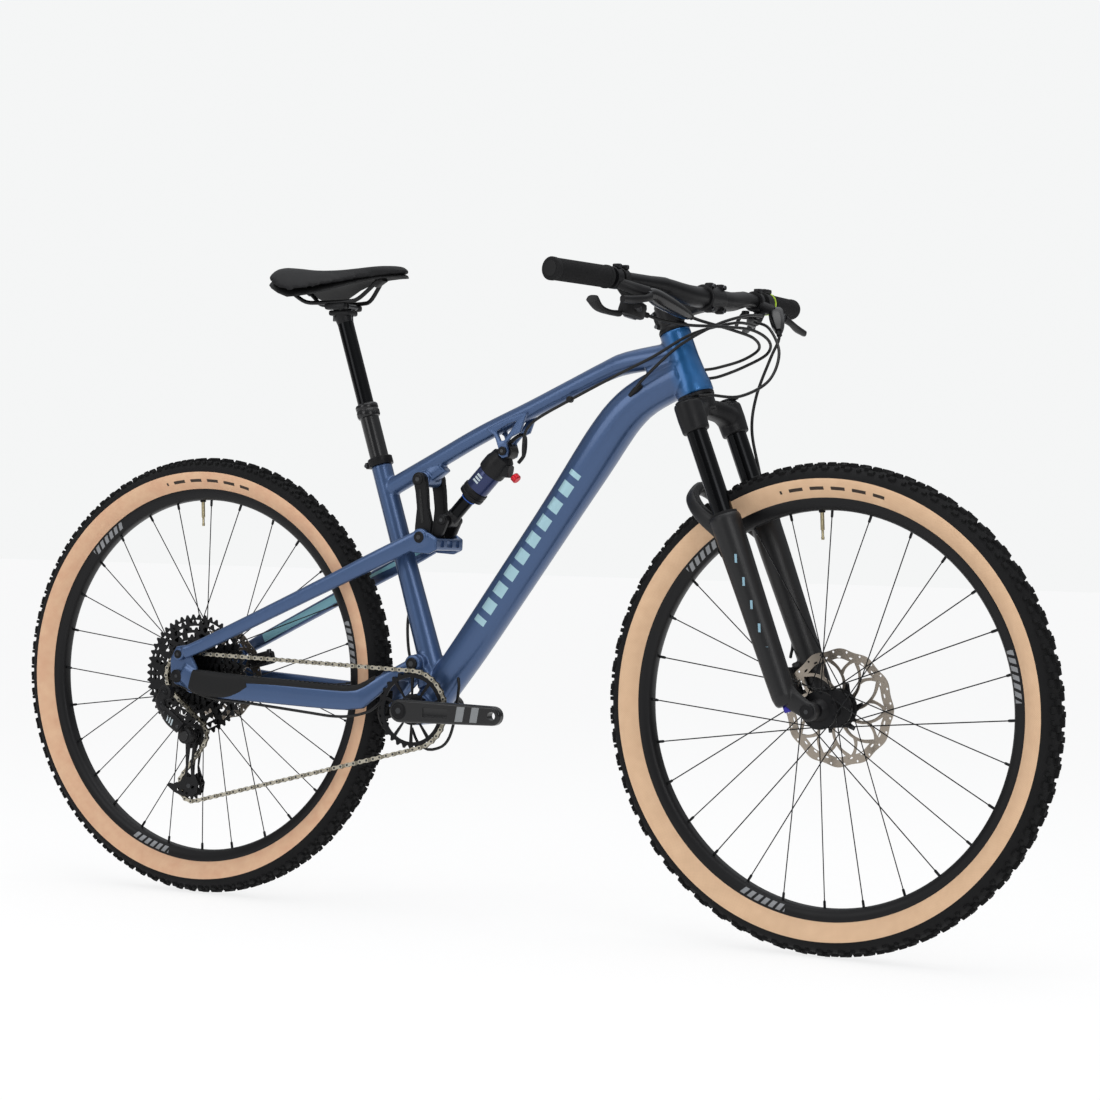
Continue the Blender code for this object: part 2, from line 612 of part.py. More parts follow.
def stem():
    """The stem, with the spacers under it and its faceplate."""
    clamp_y = 0.0240
    middle = bar_point(0)
    body = rod("stem", steer(0.1135), steer(0.1530), 0.0195, "black_anodised")
    reach = rod("stem_reach", steer(0.1330), middle, 0.0150)
    face = cross_rod("stem_clamp", middle, -clamp_y, clamp_y, 0.0215)
    union(body, reach, face)
    cut(body, rod("steerer_hole", steer(0.10), steer(0.17), 0.0151),
        cross_rod("bar_hole", middle, -0.05, 0.05, 0.0166))
    return body


def handlebar():
    stations = [(-y, x, z) for y, x, z in reversed(BAR_PATH[1:])] + list(BAR_PATH[1:])
    radii = [0.0159 if abs(y) <= 0.056 else 0.0145 if abs(y) <= 0.09 else 0.0111
             for y, _, _ in stations]
    return tube("handlebar", [(x, y, z) for y, x, z in stations], 0.0159, "black_anodised",
                resolution=4, radii=radii)


def grip(name, side):
    inner, outer = bar_point(side * 0.262), bar_point(side * 0.3885)
    direction = outer - inner
    length = direction.length
    profile = [(0.0, length + 0.003), (0.0158, length + 0.003), (0.0158, 0.006), (0.0172, 0.005),
               (0.0172, 0.0), (0.0118, 0.0), (0.0118, length + GAP), (0.0, length + GAP)]
    return turned(name, profile, inner, direction, "rubber", sides=14)


def bar_clamp(name, y, width, outer, finish=None):
    a, b = bar_point(y - width / 2), bar_point(y + width / 2)
    return turned(name, profile_sorted([(outer, (b - a).length), (outer, 0.0), (0.0118, 0.0),
                                        (0.0118, (b - a).length)]), a, b - a, finish, closed=True)


def clear_bar(piece, y):
    """Cuts the handlebar's own path through whatever is clamped to it."""
    return cut(piece, rod(piece.name + "_bar_path", bar_point(y - 0.026), bar_point(y + 0.026), 0.0118))


def brake_master(name, side):
    clamp_y = -0.205 if side < 0 else 0.190
    clamp = bar_clamp(name, clamp_y, 0.013, 0.0162, "black_paint")
    route = [bar_point(clamp_y) + Vector((0.0135, 0, 0.001)), (0.3590, clamp_y, 0.9920),
             (0.3700, clamp_y + 0.004, 0.9790)]
    perch = tube(name + "_perch", route, 0.0070)
    if side < 0:
        cylinder = tube(name + "_cylinder", [(0.3690, -0.207, 0.9790), (0.3690, -0.180, 0.9740),
                                             (0.3725, -0.130, 0.9630), (0.3755, -0.094, 0.9550)],
                        0.012, radii=[0.0095, 0.0130, 0.0115, 0.0070])
    else:
        cylinder = tube(name + "_cylinder", [(0.3690, 0.212, 0.9850), (0.3750, 0.198, 0.9770),
                                             (0.3870, 0.181, 0.9610), (0.3940, 0.171, 0.9500)],
                        0.012, radii=[0.0095, 0.0130, 0.0115, 0.0080])
    return clear_bar(union(clamp, perch, cylinder), clamp_y)


def brake_lever(name, side):
    """The blade, from its pivot beside the master cylinder."""
    if side < 0:
        route = [(0.3760, -0.2170, 0.9740), (0.3760, -0.2350, 0.9700), (0.3700, -0.2600, 0.9670),
                 (0.3690, -0.2860, 0.9660)]
    else:
        route = [(0.3780, 0.2220, 0.9740), (0.3800, 0.2400, 0.9680), (0.3790, 0.2650, 0.9610),
                 (0.3800, 0.2920, 0.9550)]
    return tube(name, route, 0.0052, "black_anodised", radii=[0.0045, 0.0050, 0.0052, 0.0050],
                resolution=2)


def shifter_body():
    clamp = bar_clamp("shifter_body", -0.1880, 0.010, 0.0150, "black_paint")
    neck = tube("shifter_neck", [bar_point(-0.188) + Vector((-0.004, 0, -0.0128)),
                                 (0.3350, -0.1920, 0.9640)], 0.0060)
    case = turned("shifter_case", capped([(0.0150, 0.0120), (0.0190, 0.0080), (0.0190, -0.0040),
                                          (0.0150, -0.0080)]), (0.3350, -0.1960, 0.9600),
                  (0.25, 0.15, 1.0))
    return clear_bar(union(clamp, neck, case), -0.1880)


def shift_lever():
    return tube("shift_lever", [(0.3250, -0.2190, 0.9510), (0.3190, -0.2400, 0.9520),
                                (0.3140, -0.2600, 0.9570), (0.3130, -0.2760, 0.9700)], 0.0055,
                "black_paint", radii=[0.0040, 0.0045, 0.0060, 0.0065], resolution=2)


def remote_body():
    """The left-hand remote: clamp, round cam housing with its coloured ring, cable stops."""
    clamp = bar_clamp("remote_body", 0.2290, 0.0300, 0.0185, "black_paint")
    arm = tube("remote_arm", [bar_point(0.219) + Vector((0.002, 0, -0.0160)),
                              (0.3440, 0.2050, 0.9730), (0.3450, 0.1620, 0.9700)], 0.0070)
    stop = tube("remote_stop", [(0.3450, 0.1660, 0.9700), (0.3700, 0.1400, 0.9720)], 0.0060)
    return clear_bar(union(clamp, arm, stop), 0.2290)


def dropper_lever():
    return tube("dropper_lever", [(0.3390, 0.1760, 0.9580), (0.3290, 0.1900, 0.9550),
                                  (0.3160, 0.2080, 0.9540), (0.3080, 0.2240, 0.9570)], 0.0055,
                "black_paint", radii=[0.0050, 0.0048, 0.0060, 0.0060])


def lockout_lever():
    return tube("lockout_lever", [(0.3490, 0.1340, 0.9760), (0.3430, 0.1300, 0.9670),
                                  (0.3420, 0.1250, 0.9560)], 0.0055, "black_paint",
                radii=[0.0045, 0.0055, 0.0060])


# ---- rear suspension ----------------------------------------------------------------------
RIGHT_CHAINSTAY = (       # x, y, z, half width, half height
    (-0.5620, -0.0795, 0.3780, 0.0055, 0.0150), (-0.5400, -0.0780, 0.3640, 0.0060, 0.0190),
    (-0.5000, -0.0760, 0.3580, 0.0075, 0.0205), (-0.4300, -0.0700, 0.3545, 0.0090, 0.0205),
    (-0.2500, -0.0530, 0.3475, 0.0095, 0.0195), (-0.2180, -0.0495, 0.3560, 0.0085, 0.0170),
    (-0.1830, -0.0430, 0.3800, 0.0065, 0.0120), (-0.1450, -0.0380, 0.4030, 0.0055, 0.0100))
RIGHT_SEATSTAY = (
    (-0.5560, -0.0860, 0.4100, 0.0045, 0.0100), (-0.5200, -0.0780, 0.4255, 0.0070, 0.0110),
    (-0.4000, -0.0660, 0.4820, 0.0085, 0.0115), (-0.2900, -0.0560, 0.5340, 0.0085, 0.0125),
    (-0.1950, -0.0480, 0.5790, 0.0080, 0.0140), (-0.1330, -0.0405, 0.6090, 0.0055, 0.0135))


def both_sides(name, place, inner, outer, radius, sides=ROUND):
    """A pair of cross rods, one on each side of the bike."""
    return [cross_rod(f"{name}_{side}", place, *sorted((side * inner, side * outer)), radius,
                      sides=sides) for side in (-1, 1)]


def chainstay():
    """The swingarm: two stays, a yoke ahead of the tyre, pivot ears and dropouts."""
    right = loft("chainstay", RIGHT_CHAINSTAY, "frame_paint")
    left = loft("chainstay_left", mirrored(RIGHT_CHAINSTAY))
    yoke = cross_rod("yoke", (-0.1840, 0, 0.3855), -0.045, 0.045, 0.0085)
    union(right, left, yoke, *both_sides("pivot_ear", MAIN_PIVOT, 0.0312, 0.0432, 0.0145))
    for side in (-1, 1):
        inner, outer = sorted((side * 0.0742, side * 0.0815))
        drop = plate(f"rear_dropout_{side}", [(-0.5790, 0.4110), (-0.5720, 0.4190), (-0.5590, 0.4190),
                                              (-0.5480, 0.3950), (-0.5300, 0.3440), (-0.5770, 0.3540),
                                              (-0.5880, 0.3620), (-0.5880, 0.3790)], inner, outer)
        union(right, drop)
    cut(right, cross_rod("chainstay_pivot_bore", MAIN_PIVOT, -0.06, 0.06, 0.0078, sides=SMALL),
        cross_rod("rear_axle_bore", REAR_AXLE, -0.1, 0.1, 0.0079, sides=12),
        cross_rod("axle_seat", REAR_AXLE, -0.1, -0.0816, 0.0120),
        cross_rod("dropout_pivot_bore", DROPOUT_PIVOT, -0.1, 0.1, 0.0050, sides=SMALL))
    return right


def seatstay():
    """Two stays either side of the seat tube, joined in front of it."""
    right = loft("seatstay", RIGHT_SEATSTAY, "frame_paint")
    left = loft("seatstay_left", mirrored(RIGHT_SEATSTAY))
    bridge = block("stay_bridge", (-0.1010, 0, 0.6020), (0.012, 0.0860, 0.022),
                   slope=math.radians(10))
    union(right, left, *both_sides("stay_ear", STAY_PIVOT, 0.0346, 0.0460, 0.0145))
    for side in (-1, 1):
        inner, outer = sorted((side * 0.0346, side * 0.0455))
        union(right, plate(f"stay_cheek_{side}", [(-0.1280, 0.5985), (-0.0970, 0.5915),
                                                  (-0.0950, 0.6130), (-0.1180, 0.6240)],
                           inner, outer))
    union(right, bridge, *both_sides("stay_dropout", DROPOUT_PIVOT, 0.0818, 0.0895, 0.0105))
    cut(right, *both_sides("stay_clear", DROPOUT_PIVOT, 0.0600, 0.0817, 0.0160))
    union(right, *both_sides("stay_pin", DROPOUT_PIVOT, 0.0746, 0.0850, 0.0045, sides=SMALL))
    return cut(right, cross_rod("stay_pivot_bore", STAY_PIVOT, -0.06, 0.06, 0.0088, sides=12))


def rocker():
    """Two arms from the frame's pivot to one barrel that carries the stays and the shock."""
    barrel = cross_rod("rocker", STAY_PIVOT, -0.0300, 0.0300, 0.0115, "black_paint")
    union(barrel, cross_rod("rocker_pin", STAY_PIVOT, -0.0480, 0.0480, 0.0045, sides=SMALL),
          cross_rod("shock_pin", SHOCK_LOWER, -0.0290, 0.0290, 0.0040, sides=SMALL))
    for side in (-1, 1):
        inner, outer = sorted((side * 0.0222, side * 0.0332))
        arm = plate(f"rocker_arm_{side}", [(-0.1480, 0.7040), (-0.1440, 0.7140), (-0.1340, 0.7165),
                                           (-0.1250, 0.7110), (-0.1190, 0.6600), (-0.1100, 0.6360),
                                           (-0.1160, 0.6050), (-0.1360, 0.6060), (-0.1440, 0.6250),
                                           (-0.1400, 0.6600)], inner, outer)
        inner, outer = sorted((side * 0.0150, side * 0.0300))
        horn = plate(f"rocker_horn_{side}", [(-0.1200, 0.6100), (-0.1300, 0.6250), (-0.1170, 0.6450),
                                             (-0.1000, 0.6520), (-0.0850, 0.6480), (-0.0870, 0.6320),
                                             (-0.1050, 0.6170)], inner, outer)
        union(barrel, arm, horn)
    return cut(barrel, cross_rod("rocker_top_bore", ROCKER_PIVOT, -0.06, 0.06, 0.0063, sides=SMALL))


def shock_axis():
    return (Vector(SHOCK_LOWER) - Vector(SHOCK_UPPER)).normalized()


def shock_can():
    """The shock's body: upper eyelet, valve block, air can and damper tube."""
    axis = shock_axis()
    top = Vector(SHOCK_UPPER)
    can = turned("shock_can", [(0.0, 0.030), (0.0122, 0.030), (0.0122, 0.100), (0.0215, 0.100),
                               (0.0215, 0.084), (0.0195, 0.082), (0.0195, 0.046), (0.0225, 0.044),
                               (0.0225, 0.026), (0.0205, 0.020), (0.0, 0.020)],
                 top, axis, "black_anodised")
    eyelet = cross_rod("shock_eyelet", SHOCK_UPPER, -0.0120, 0.0120, 0.0130)
    neck = rod("shock_neck", top, top + axis * 0.026, 0.0115)
    valve = block("shock_valve", top + axis * 0.030 + Vector((0.020, 0, -0.0060)),
                  (0.022, 0.0207, 0.026), slope=math.radians(41))
    pin = cross_rod("shock_top_pin", SHOCK_UPPER, -0.0205, 0.0205, 0.0040, sides=SMALL)
    return union(can, eyelet, neck, valve, pin)


def shock_shaft():
    axis = shock_axis()
    low = Vector(SHOCK_LOWER)
    shaft = rod("shock_shaft", low - axis * 0.0040, low - axis * 0.0820, 0.0115, "black_anodised")
    union(shaft, cross_rod("shock_shaft_eye", SHOCK_LOWER, -0.0125, 0.0125, 0.0110))
    return cut(shaft, cross_rod("shock_shaft_bore", SHOCK_LOWER, -0.03, 0.03, 0.0066, sides=SMALL))


def shock_knob():
    axis = shock_axis()
    place = Vector(SHOCK_UPPER) + axis * 0.030 + Vector((0.0315, 0, -0.0170))
    return rod("shock_knob", place, place + Vector((0.0075, 0, -0.0070)), 0.0075, "red_anodised")


# ---- saddle and post ----------------------------------------------------------------------
def seatpost_slider():
    post = rod("seatpost_slider", along(SEAT_TOP, SEAT_SLOPE, -0.110),
               along(SEAT_TOP, SEAT_SLOPE, POST_HEAD - 0.008), 0.0133, "black_anodised")
    head = along(SEAT_TOP, SEAT_SLOPE, POST_HEAD)
    cradle = block("post_head", head + Vector((0, 0, -0.004)), (0.040, 0.030, 0.016))
    return union(post, cradle)


RAIL_Z = 1.0000


def saddle_rails():
    """Both rails as one bent bar, joined under the nose."""
    half = [(-0.4080, 0.0340, 1.0250), (-0.3900, 0.0300, 1.0130), (-0.3700, 0.0230, RAIL_Z),
            (-0.3400, 0.0220, RAIL_Z - 0.0010), (-0.2750, 0.0220, RAIL_Z), (-0.2500, 0.0180, 1.0040),
            (-0.2300, 0.0080, 1.0190), (-0.2180, 0.0030, 1.0265)]
    route = half + [(x, -y, z) for x, y, z in reversed(half)]
    return tube("saddle_rails", route, 0.0035, "black_anodised")


SADDLE_STATIONS = ((-0.4370, 0.0500, 1.0440), (-0.4150, 0.0700, 1.0460), (-0.3800, 0.0725, 1.0440),
                   (-0.3400, 0.0600, 1.0420), (-0.3000, 0.0380, 1.0400), (-0.2500, 0.0235, 1.0390),
                   (-0.2100, 0.0200, 1.0390), (-0.1880, 0.0120, 1.0370))


def saddle_body(name, thickness, droop, drop, shrink, finish):
    """A saddle-shaped solid: stations from tail to nose, each a low arch."""
    bm = bmesh.new()
    rings = []
    for x, full, z in SADDLE_STATIONS:
        half = full - shrink
        top, bottom = [], []
        for k in range(-3, 4):
            t = k / 3
            sag = droop * (abs(t) ** 2.2) * min(1.0, full / 0.05)
            top.append(bm.verts.new((x, half * t, z + drop - sag)))
            bottom.append(bm.verts.new((x, half * t * 0.97, z + drop - sag - thickness)))
        rings.append(top + list(reversed(bottom)))
    count = len(rings[0])
    for ring, other in zip(rings, rings[1:]):
        for k in range(count):
            bm.faces.new((ring[k], ring[(k + 1) % count], other[(k + 1) % count], other[k]))
    bm.faces.new(rings[0])
    bm.faces.new(list(reversed(rings[-1])))
    bmesh.ops.recalc_face_normals(bm, faces=bm.faces)
    return from_bmesh(name, bm, finish)


def saddle():
    cover = saddle_body("saddle_cover", 0.0130, 0.0360, 0.0135, 0.0, "saddle_cover")
    shell = saddle_body("saddle_shell", 0.0040, 0.0385, -0.0020, 0.0030, "black_paint")
    return cover, shell


# ---- drivetrain ---------------------------------------------------------------------------
def crankset():
    """Spindle and both arms; the right arm points forward."""
    spindle = cross_rod("crankset", BB, -0.0920, 0.0900, 0.0146, "black_paint")
    for side, tip_x, name in ((-1, CRANK_LENGTH, "right"), (1, -CRANK_LENGTH, "left")):
        inner, outer = (-0.0900, -0.0740) if side < 0 else (0.0725, 0.0880)
        reach = math.copysign(1.0, tip_x)
        low, high = BB[2] - 0.0185, BB[2] + 0.0185
        end = BB[0] + tip_x
        outline = [(BB[0] - reach * 0.0190, BB[2] - 0.0120), (BB[0] - reach * 0.0215, BB[2]),
                   (BB[0] - reach * 0.0190, BB[2] + 0.0120), (BB[0] - reach * 0.0080, high),
                   (BB[0] + reach * 0.0400, high - 0.0020), (end, BB[2] + 0.0150),
                   (end + reach * 0.0140, BB[2] + 0.0085), (end + reach * 0.0165, BB[2]),
                   (end + reach * 0.0140, BB[2] - 0.0085), (end, BB[2] - 0.0150),
                   (BB[0] + reach * 0.0400, low + 0.0020), (BB[0] - reach * 0.0080, low)]
        union(spindle, plate(f"crank_arm_{name}", outline, inner, outer))
        cut(spindle, cross_rod(f"pedal_hole_{name}", (end, 0, BB[2]), inner - 0.01, outer + 0.01,
                               0.0071, sides=16))
    boss = cross_rod("ring_boss", BB, -0.0760, -0.0550, 0.0190)
    return union(spindle, boss)


def chainring():
    """A direct-mount ring with eight arms."""
    half = 0.0015
    middle = Vector((BB[0], RING_Y, BB[2]))
    ring = turned("chainring", [(RING_R, half), (RING_R, -half), (0.0530, -half), (0.0530, half)],
                  middle, (0, 1, 0), "black_anodised", sides=28, closed=True)
    inner = turned("ring_hub", [(0.0235, half), (0.0235, -0.0035), (0.0156, -0.0035), (0.0156, half)],
                   middle, (0, 1, 0), sides=ROUND, closed=True)
    union(ring, inner)
    for i in range(6):
        angle = math.radians(60 * i + 10)
        arm = block(f"ring_arm_{i}", (0.0375, 0, 0), (0.0340, 1.6 * half, 0.0060))
        arm.data.transform(Matrix.Translation(middle) @ Matrix.Rotation(angle, 4, "Y"))
        union(ring, arm)
    return ring


def chain_path():
    """The chain's centre line round the ring, both jockey wheels and a cog, as tangent arcs."""
    ring = (BB[0], BB[2], RING_R + 0.0027, 1, RING_Y)
    lower = (LOWER_JOCKEY[0], LOWER_JOCKEY[2], JOCKEY_R + 0.0030, 1, COG_Y)
    upper = (UPPER_JOCKEY[0], UPPER_JOCKEY[2], JOCKEY_R + 0.0030, -1, COG_Y)
    cog = (REAR_AXLE[0], REAR_AXLE[2], COG_R, 1, COG_Y)
    wheels = [ring, lower, upper, cog]
    headings = []
    for (x0, z0, r0, way0, _), (x1, z1, r1, way1, _) in zip(wheels, wheels[1:] + wheels[:1]):
        lean = math.asin((way0 * r0 - way1 * r1) / math.hypot(x1 - x0, z1 - z0))
        headings.append(math.atan2(z1 - z0, x1 - x0) - lean)
    points = []
    for i, (x, z, r, way, y) in enumerate(wheels):
        sweep = way * ((way * (headings[i - 1] - headings[i])) % (2 * math.pi))
        steps = max(3, round(abs(sweep) / math.radians(18)))
        for k in range(steps + 1):
            normal = headings[i - 1] - sweep * k / steps + math.pi / 2
            points.append(Vector((x + way * r * math.cos(normal), y, z + way * r * math.sin(normal))))
    return points


def chain():
    """The chain as a square bar along its path; the links are left to the visual model."""
    return tube("chain", chain_path(), CHAIN_R, "chain_steel", resolution=0, cyclic=True)


def derailleur_body():
    """The knuckle that bolts to the right dropout below the axle."""
    body = cross_rod("derailleur_body", (-0.5860, 0, 0.3420), -0.0980, -0.0820, 0.0120, "black_paint")
    arm = tube("derailleur_knuckle", [(-0.5860, -0.0920, 0.3420), (-0.5930, -0.0920, 0.3260),
                                      (-0.5900, -0.0920, 0.3120)], 0.0085)
    return union(body, arm)


def derailleur_link():
    """The parallelogram, modelled as one swinging link with the cage's knuckle at its end."""
    link = tube("derailleur_link", [(-0.5770, -0.0935, 0.3080), (-0.5660, -0.0900, 0.2950),
                                    (-0.5530, -0.0840, 0.2810)], 0.0115, "black_paint",
                radii=[0.0100, 0.0120, 0.0110])
    return union(link, cross_rod("cage_knuckle", UPPER_JOCKEY, -0.0860, -0.0690, 0.0135))


def derailleur_cage():
    """Two plates joined by the jockey wheels' bolts."""
    top, low = Vector(UPPER_JOCKEY), Vector(LOWER_JOCKEY)
    outline = [(top.x - 0.010, top.z + 0.006), (top.x + 0.006, top.z + 0.010),
               (top.x + 0.012, top.z - 0.004), (low.x + 0.008, low.z + 0.035),
               (low.x + 0.020, low.z + 0.008), (low.x + 0.016, low.z - 0.012),
               (low.x - 0.008, low.z - 0.018), (low.x - 0.030, low.z - 0.012),
               (low.x - 0.046, low.z - 0.002), (low.x - 0.034, low.z + 0.002),
               (low.x - 0.012, low.z + 0.012), (low.x - 0.006, low.z + 0.030)]
    cage = plate("derailleur_cage", outline, -0.0682, -0.0655, "black_paint")
    union(cage, plate("cage_inner", outline, -0.0490, -0.0465))
    union(cage, cross_rod("upper_bolt", top, -0.0670, -0.0475, 0.0040, sides=12),
          cross_rod("lower_bolt", low, -0.0670, -0.0475, 0.0040, sides=12))
    return cage


def jockey(name, centre):
    return turned(name, [(JOCKEY_R, 0.0014), (JOCKEY_R, -0.0014), (0.0043, -0.0014), (0.0043, 0.0014)],
                  centre, (0, 1, 0), "black_paint", sides=ROUND, closed=True)


def rear_axle():
    return turned("rear_axle", capped([(0.0075, 0.0860), (0.0075, -0.0818), (0.0110, -0.0818),
                                       (0.0110, -0.0850)]), REAR_AXLE, (0, 1, 0), "black_anodised",
                  sides=16)


def rear_caliper():
    """The rear caliper, between the left stays."""
    middle = Vector(REAR_AXLE) + Vector((0.0760, 0.0, 0.0280))
    body = block("rear_caliper", (middle.x, 0.0545, middle.z), (0.044, 0.0250, 0.022),
                 "black_anodised", math.radians(-15))
    slot = turned("rear_caliper_slot", capped([(0.0825, 0.0020), (0.0825, -0.0020)]),
                  Vector(REAR_AXLE) + Vector((0, 0.0494, 0)), (0, 1, 0), sides=32)
    return cut(body, slot)


# ---- hoses and cables ---------------------------------------------------------------------
HOSE_R = 0.0025
FRAME_END, FORK_END = 0.0, 1.0      # how far each hose's far end turns with the steering
ROUTES = {
    "front_brake_hose": (FORK_END, [
        (0.3955, 0.1690, 0.9430), (0.3960, 0.1650, 0.9330), (0.3900, 0.1500, 0.9050),
        (0.3830, 0.1180, 0.8450), (0.3880, 0.0950, 0.7900), (0.4050, 0.0900, 0.7250),
        (0.4280, 0.0920, 0.6600), (0.4440, 0.0900, 0.6100)]),
    "rear_brake_hose": (FRAME_END, [
        (0.3775, -0.0870, 0.9530), (0.3830, -0.0700, 0.9490), (0.4050, -0.0100, 0.9390),
        (0.4180, 0.0350, 0.9300), (0.4130, 0.0650, 0.9160), (0.3850, 0.0680, 0.9000),
        (0.3560, 0.0480, 0.8880), (0.3460, 0.0330, 0.8830)]),
    "shift_cable": (FRAME_END, [
        (0.3480, -0.1760, 0.9510), (0.3600, -0.1450, 0.9440), (0.3750, -0.0950, 0.9410),
        (0.3960, -0.0500, 0.9420), (0.4200, 0.0200, 0.9420), (0.4300, 0.0650, 0.9280),
        (0.4180, 0.0850, 0.9100), (0.3850, 0.0740, 0.8900), (0.3560, 0.0500, 0.8740),
        (0.3470, 0.0340, 0.8690)]),
    "dropper_cable": (FRAME_END, [
        (0.3780, 0.1350, 0.9720), (0.3950, 0.1050, 0.9700), (0.4000, 0.0400, 0.9650),
        (0.3800, -0.0200, 0.9470), (0.3350, -0.0450, 0.9170), (0.2950, -0.0440, 0.8870),
        (0.2620, -0.0400, 0.8600), (0.2490, -0.0345, 0.8480)]),
    "shock_cable": (FRAME_END, [
        (0.3700, 0.1270, 0.9540), (0.3850, 0.1000, 0.9540), (0.3850, 0.0350, 0.9540),
        (0.3450, -0.0300, 0.9330), (0.2800, -0.0330, 0.8990), (0.2100, -0.0260, 0.8700),
        (0.1300, -0.0200, 0.8340), (0.0700, -0.0180, 0.8040), (0.0470, -0.0120, 0.7850),
        (0.0370, -0.0060, 0.7620), (0.0345, 0.0000, 0.7480)]),
    "fork_lockout_cable": (FORK_END, [
        (0.3760, 0.1200, 0.9620), (0.4050, 0.1150, 0.9500), (0.4350, 0.0900, 0.9100),
        (0.4380, 0.0500, 0.8650), (0.4150, 0.0000, 0.8390), (0.3870, -0.0400, 0.8390),
        (0.3730, -0.0560, 0.8380)]),
}


def hoses():
    """Each hose from the bars; its points turn with the steering, less and less towards the frame."""
    made = []
    slope = Vector(STEER_SLOPE).normalized()
    for name, (far_share, route) in ROUTES.items():
        points = []
        for i, place in enumerate(route):
            share = 1.0 + (far_share - 1.0) * min(1.0, i / (0.6 * len(route)))
            turn = Matrix.Rotation(STEER_ANGLE * share, 3, slope)
            points.append(turn @ (Vector(place) - Vector(HEAD_BOTTOM)) + Vector(HEAD_BOTTOM))
        made.append(tube(name, smooth_path(points, 0.030), HOSE_R, "hose", resolution=1))
    return made


# ---- assembly -----------------------------------------------------------------------------
def assemble():
    frame = group("frame", (0, 0, 0))
    carry(frame, main_frame(), *frame_fittings())

    turn = Matrix.Rotation(STEER_ANGLE, 4, Vector(STEER_SLOPE).normalized())
    steering = group("steering", HEAD_BOTTOM, turn=turn)
    carry(steering, fork_upper(), stem(), handlebar(), grip("grip_right", -1), grip("grip_left", 1),
          brake_master("brake_master_right", -1), brake_master("brake_master_left", 1),
          shifter_body(), remote_body())
    levers = ((LEVER_RIGHT_PIVOT, brake_lever("brake_lever_right", -1)),
              (LEVER_LEFT_PIVOT, brake_lever("brake_lever_left", 1)), (SHIFT_PIVOT, shift_lever()),
              (DROPPER_PIVOT, dropper_lever()), (LOCKOUT_PIVOT, lockout_lever()))
    for place, piece in levers:
        carry(group(piece.name + "_pivot", place, steering), piece)
    lowers = group("lowers", steer(-0.2021, LEG_FORWARD), steering)
    carry(lowers, fork_lowers(), front_axle(), front_caliper())
    carry(group("rebound_knob_axis", steer(-0.5034, LEG_FORWARD, -LEG_Y), lowers), rebound_knob())
    front_centre = steer(-AXLE_DROP, FORK_OFFSET)
    carry(group("front_wheel", front_centre, lowers), *front_wheel(front_centre))

    swingarm = group("swingarm", MAIN_PIVOT)
    carry(swingarm, chainstay(), rear_axle(), rear_caliper(), derailleur_body(), chain())
    carry(group("rear_wheel", REAR_AXLE, swingarm), *rear_wheel(REAR_AXLE))
    carry(group("freehub", REAR_AXLE, swingarm), cassette(REAR_AXLE))
    link = group("derailleur_swing", (-0.588, -0.092, 0.310), swingarm)
    carry(link, derailleur_link())
    cage = group("cage_pivot", UPPER_JOCKEY, link)
    carry(cage, derailleur_cage())
    carry(group("upper_jockey_axis", UPPER_JOCKEY, cage), jockey("jockey_upper", UPPER_JOCKEY))
    carry(group("lower_jockey_axis", LOWER_JOCKEY, cage), jockey("jockey_lower", LOWER_JOCKEY))
    carry(group("stay_swing", DROPOUT_PIVOT, swingarm), seatstay())
    carry(group("rocker_swing", ROCKER_PIVOT), rocker())
    shock = group("shock_swing", SHOCK_UPPER)
    carry(shock, shock_can(), shock_shaft(), shock_knob())

    carry(group("saddle_slide", SEAT_TOP), seatpost_slider(), saddle_rails(), *saddle())
    carry(group("crank_spin", BB), crankset(), chainring())
    carry(frame, *hoses())


assemble()
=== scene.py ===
"""Visual model of a full-suspension mountain bike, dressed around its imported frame.

World frame: +X forward, +Y to the rider's left, +Z up, metres. What turns with the handlebar is
modelled straight ahead and turned by Steering.turn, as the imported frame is.
"""
from __future__ import annotations

import logging
import math
import random
from dataclasses import dataclass
from enum import Enum
from typing import Callable, Iterable, Iterator, Sequence

import bmesh
import bpy
from mathutils import Matrix, Vector

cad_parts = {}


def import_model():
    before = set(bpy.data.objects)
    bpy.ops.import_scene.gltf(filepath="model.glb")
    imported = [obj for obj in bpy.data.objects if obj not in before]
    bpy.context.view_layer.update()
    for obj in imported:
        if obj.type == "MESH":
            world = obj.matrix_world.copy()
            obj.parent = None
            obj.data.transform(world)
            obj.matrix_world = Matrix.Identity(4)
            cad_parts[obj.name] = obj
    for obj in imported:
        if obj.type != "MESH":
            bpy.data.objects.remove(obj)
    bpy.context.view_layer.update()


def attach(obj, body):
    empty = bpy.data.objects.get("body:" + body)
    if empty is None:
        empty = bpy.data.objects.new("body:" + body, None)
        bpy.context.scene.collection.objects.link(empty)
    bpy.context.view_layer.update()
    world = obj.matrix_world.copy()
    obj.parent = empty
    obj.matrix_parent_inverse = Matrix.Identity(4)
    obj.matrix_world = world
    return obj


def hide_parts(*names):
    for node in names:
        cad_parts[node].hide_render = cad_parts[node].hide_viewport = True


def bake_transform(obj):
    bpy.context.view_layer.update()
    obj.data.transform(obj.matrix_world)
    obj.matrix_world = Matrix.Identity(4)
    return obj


LOG = logging.getLogger("mountain_bike")
Point = Sequence[float]
Piece = bpy.types.Object
Tree = bpy.types.NodeTree
Socket = bpy.types.NodeSocket
TAU = 2 * math.pi

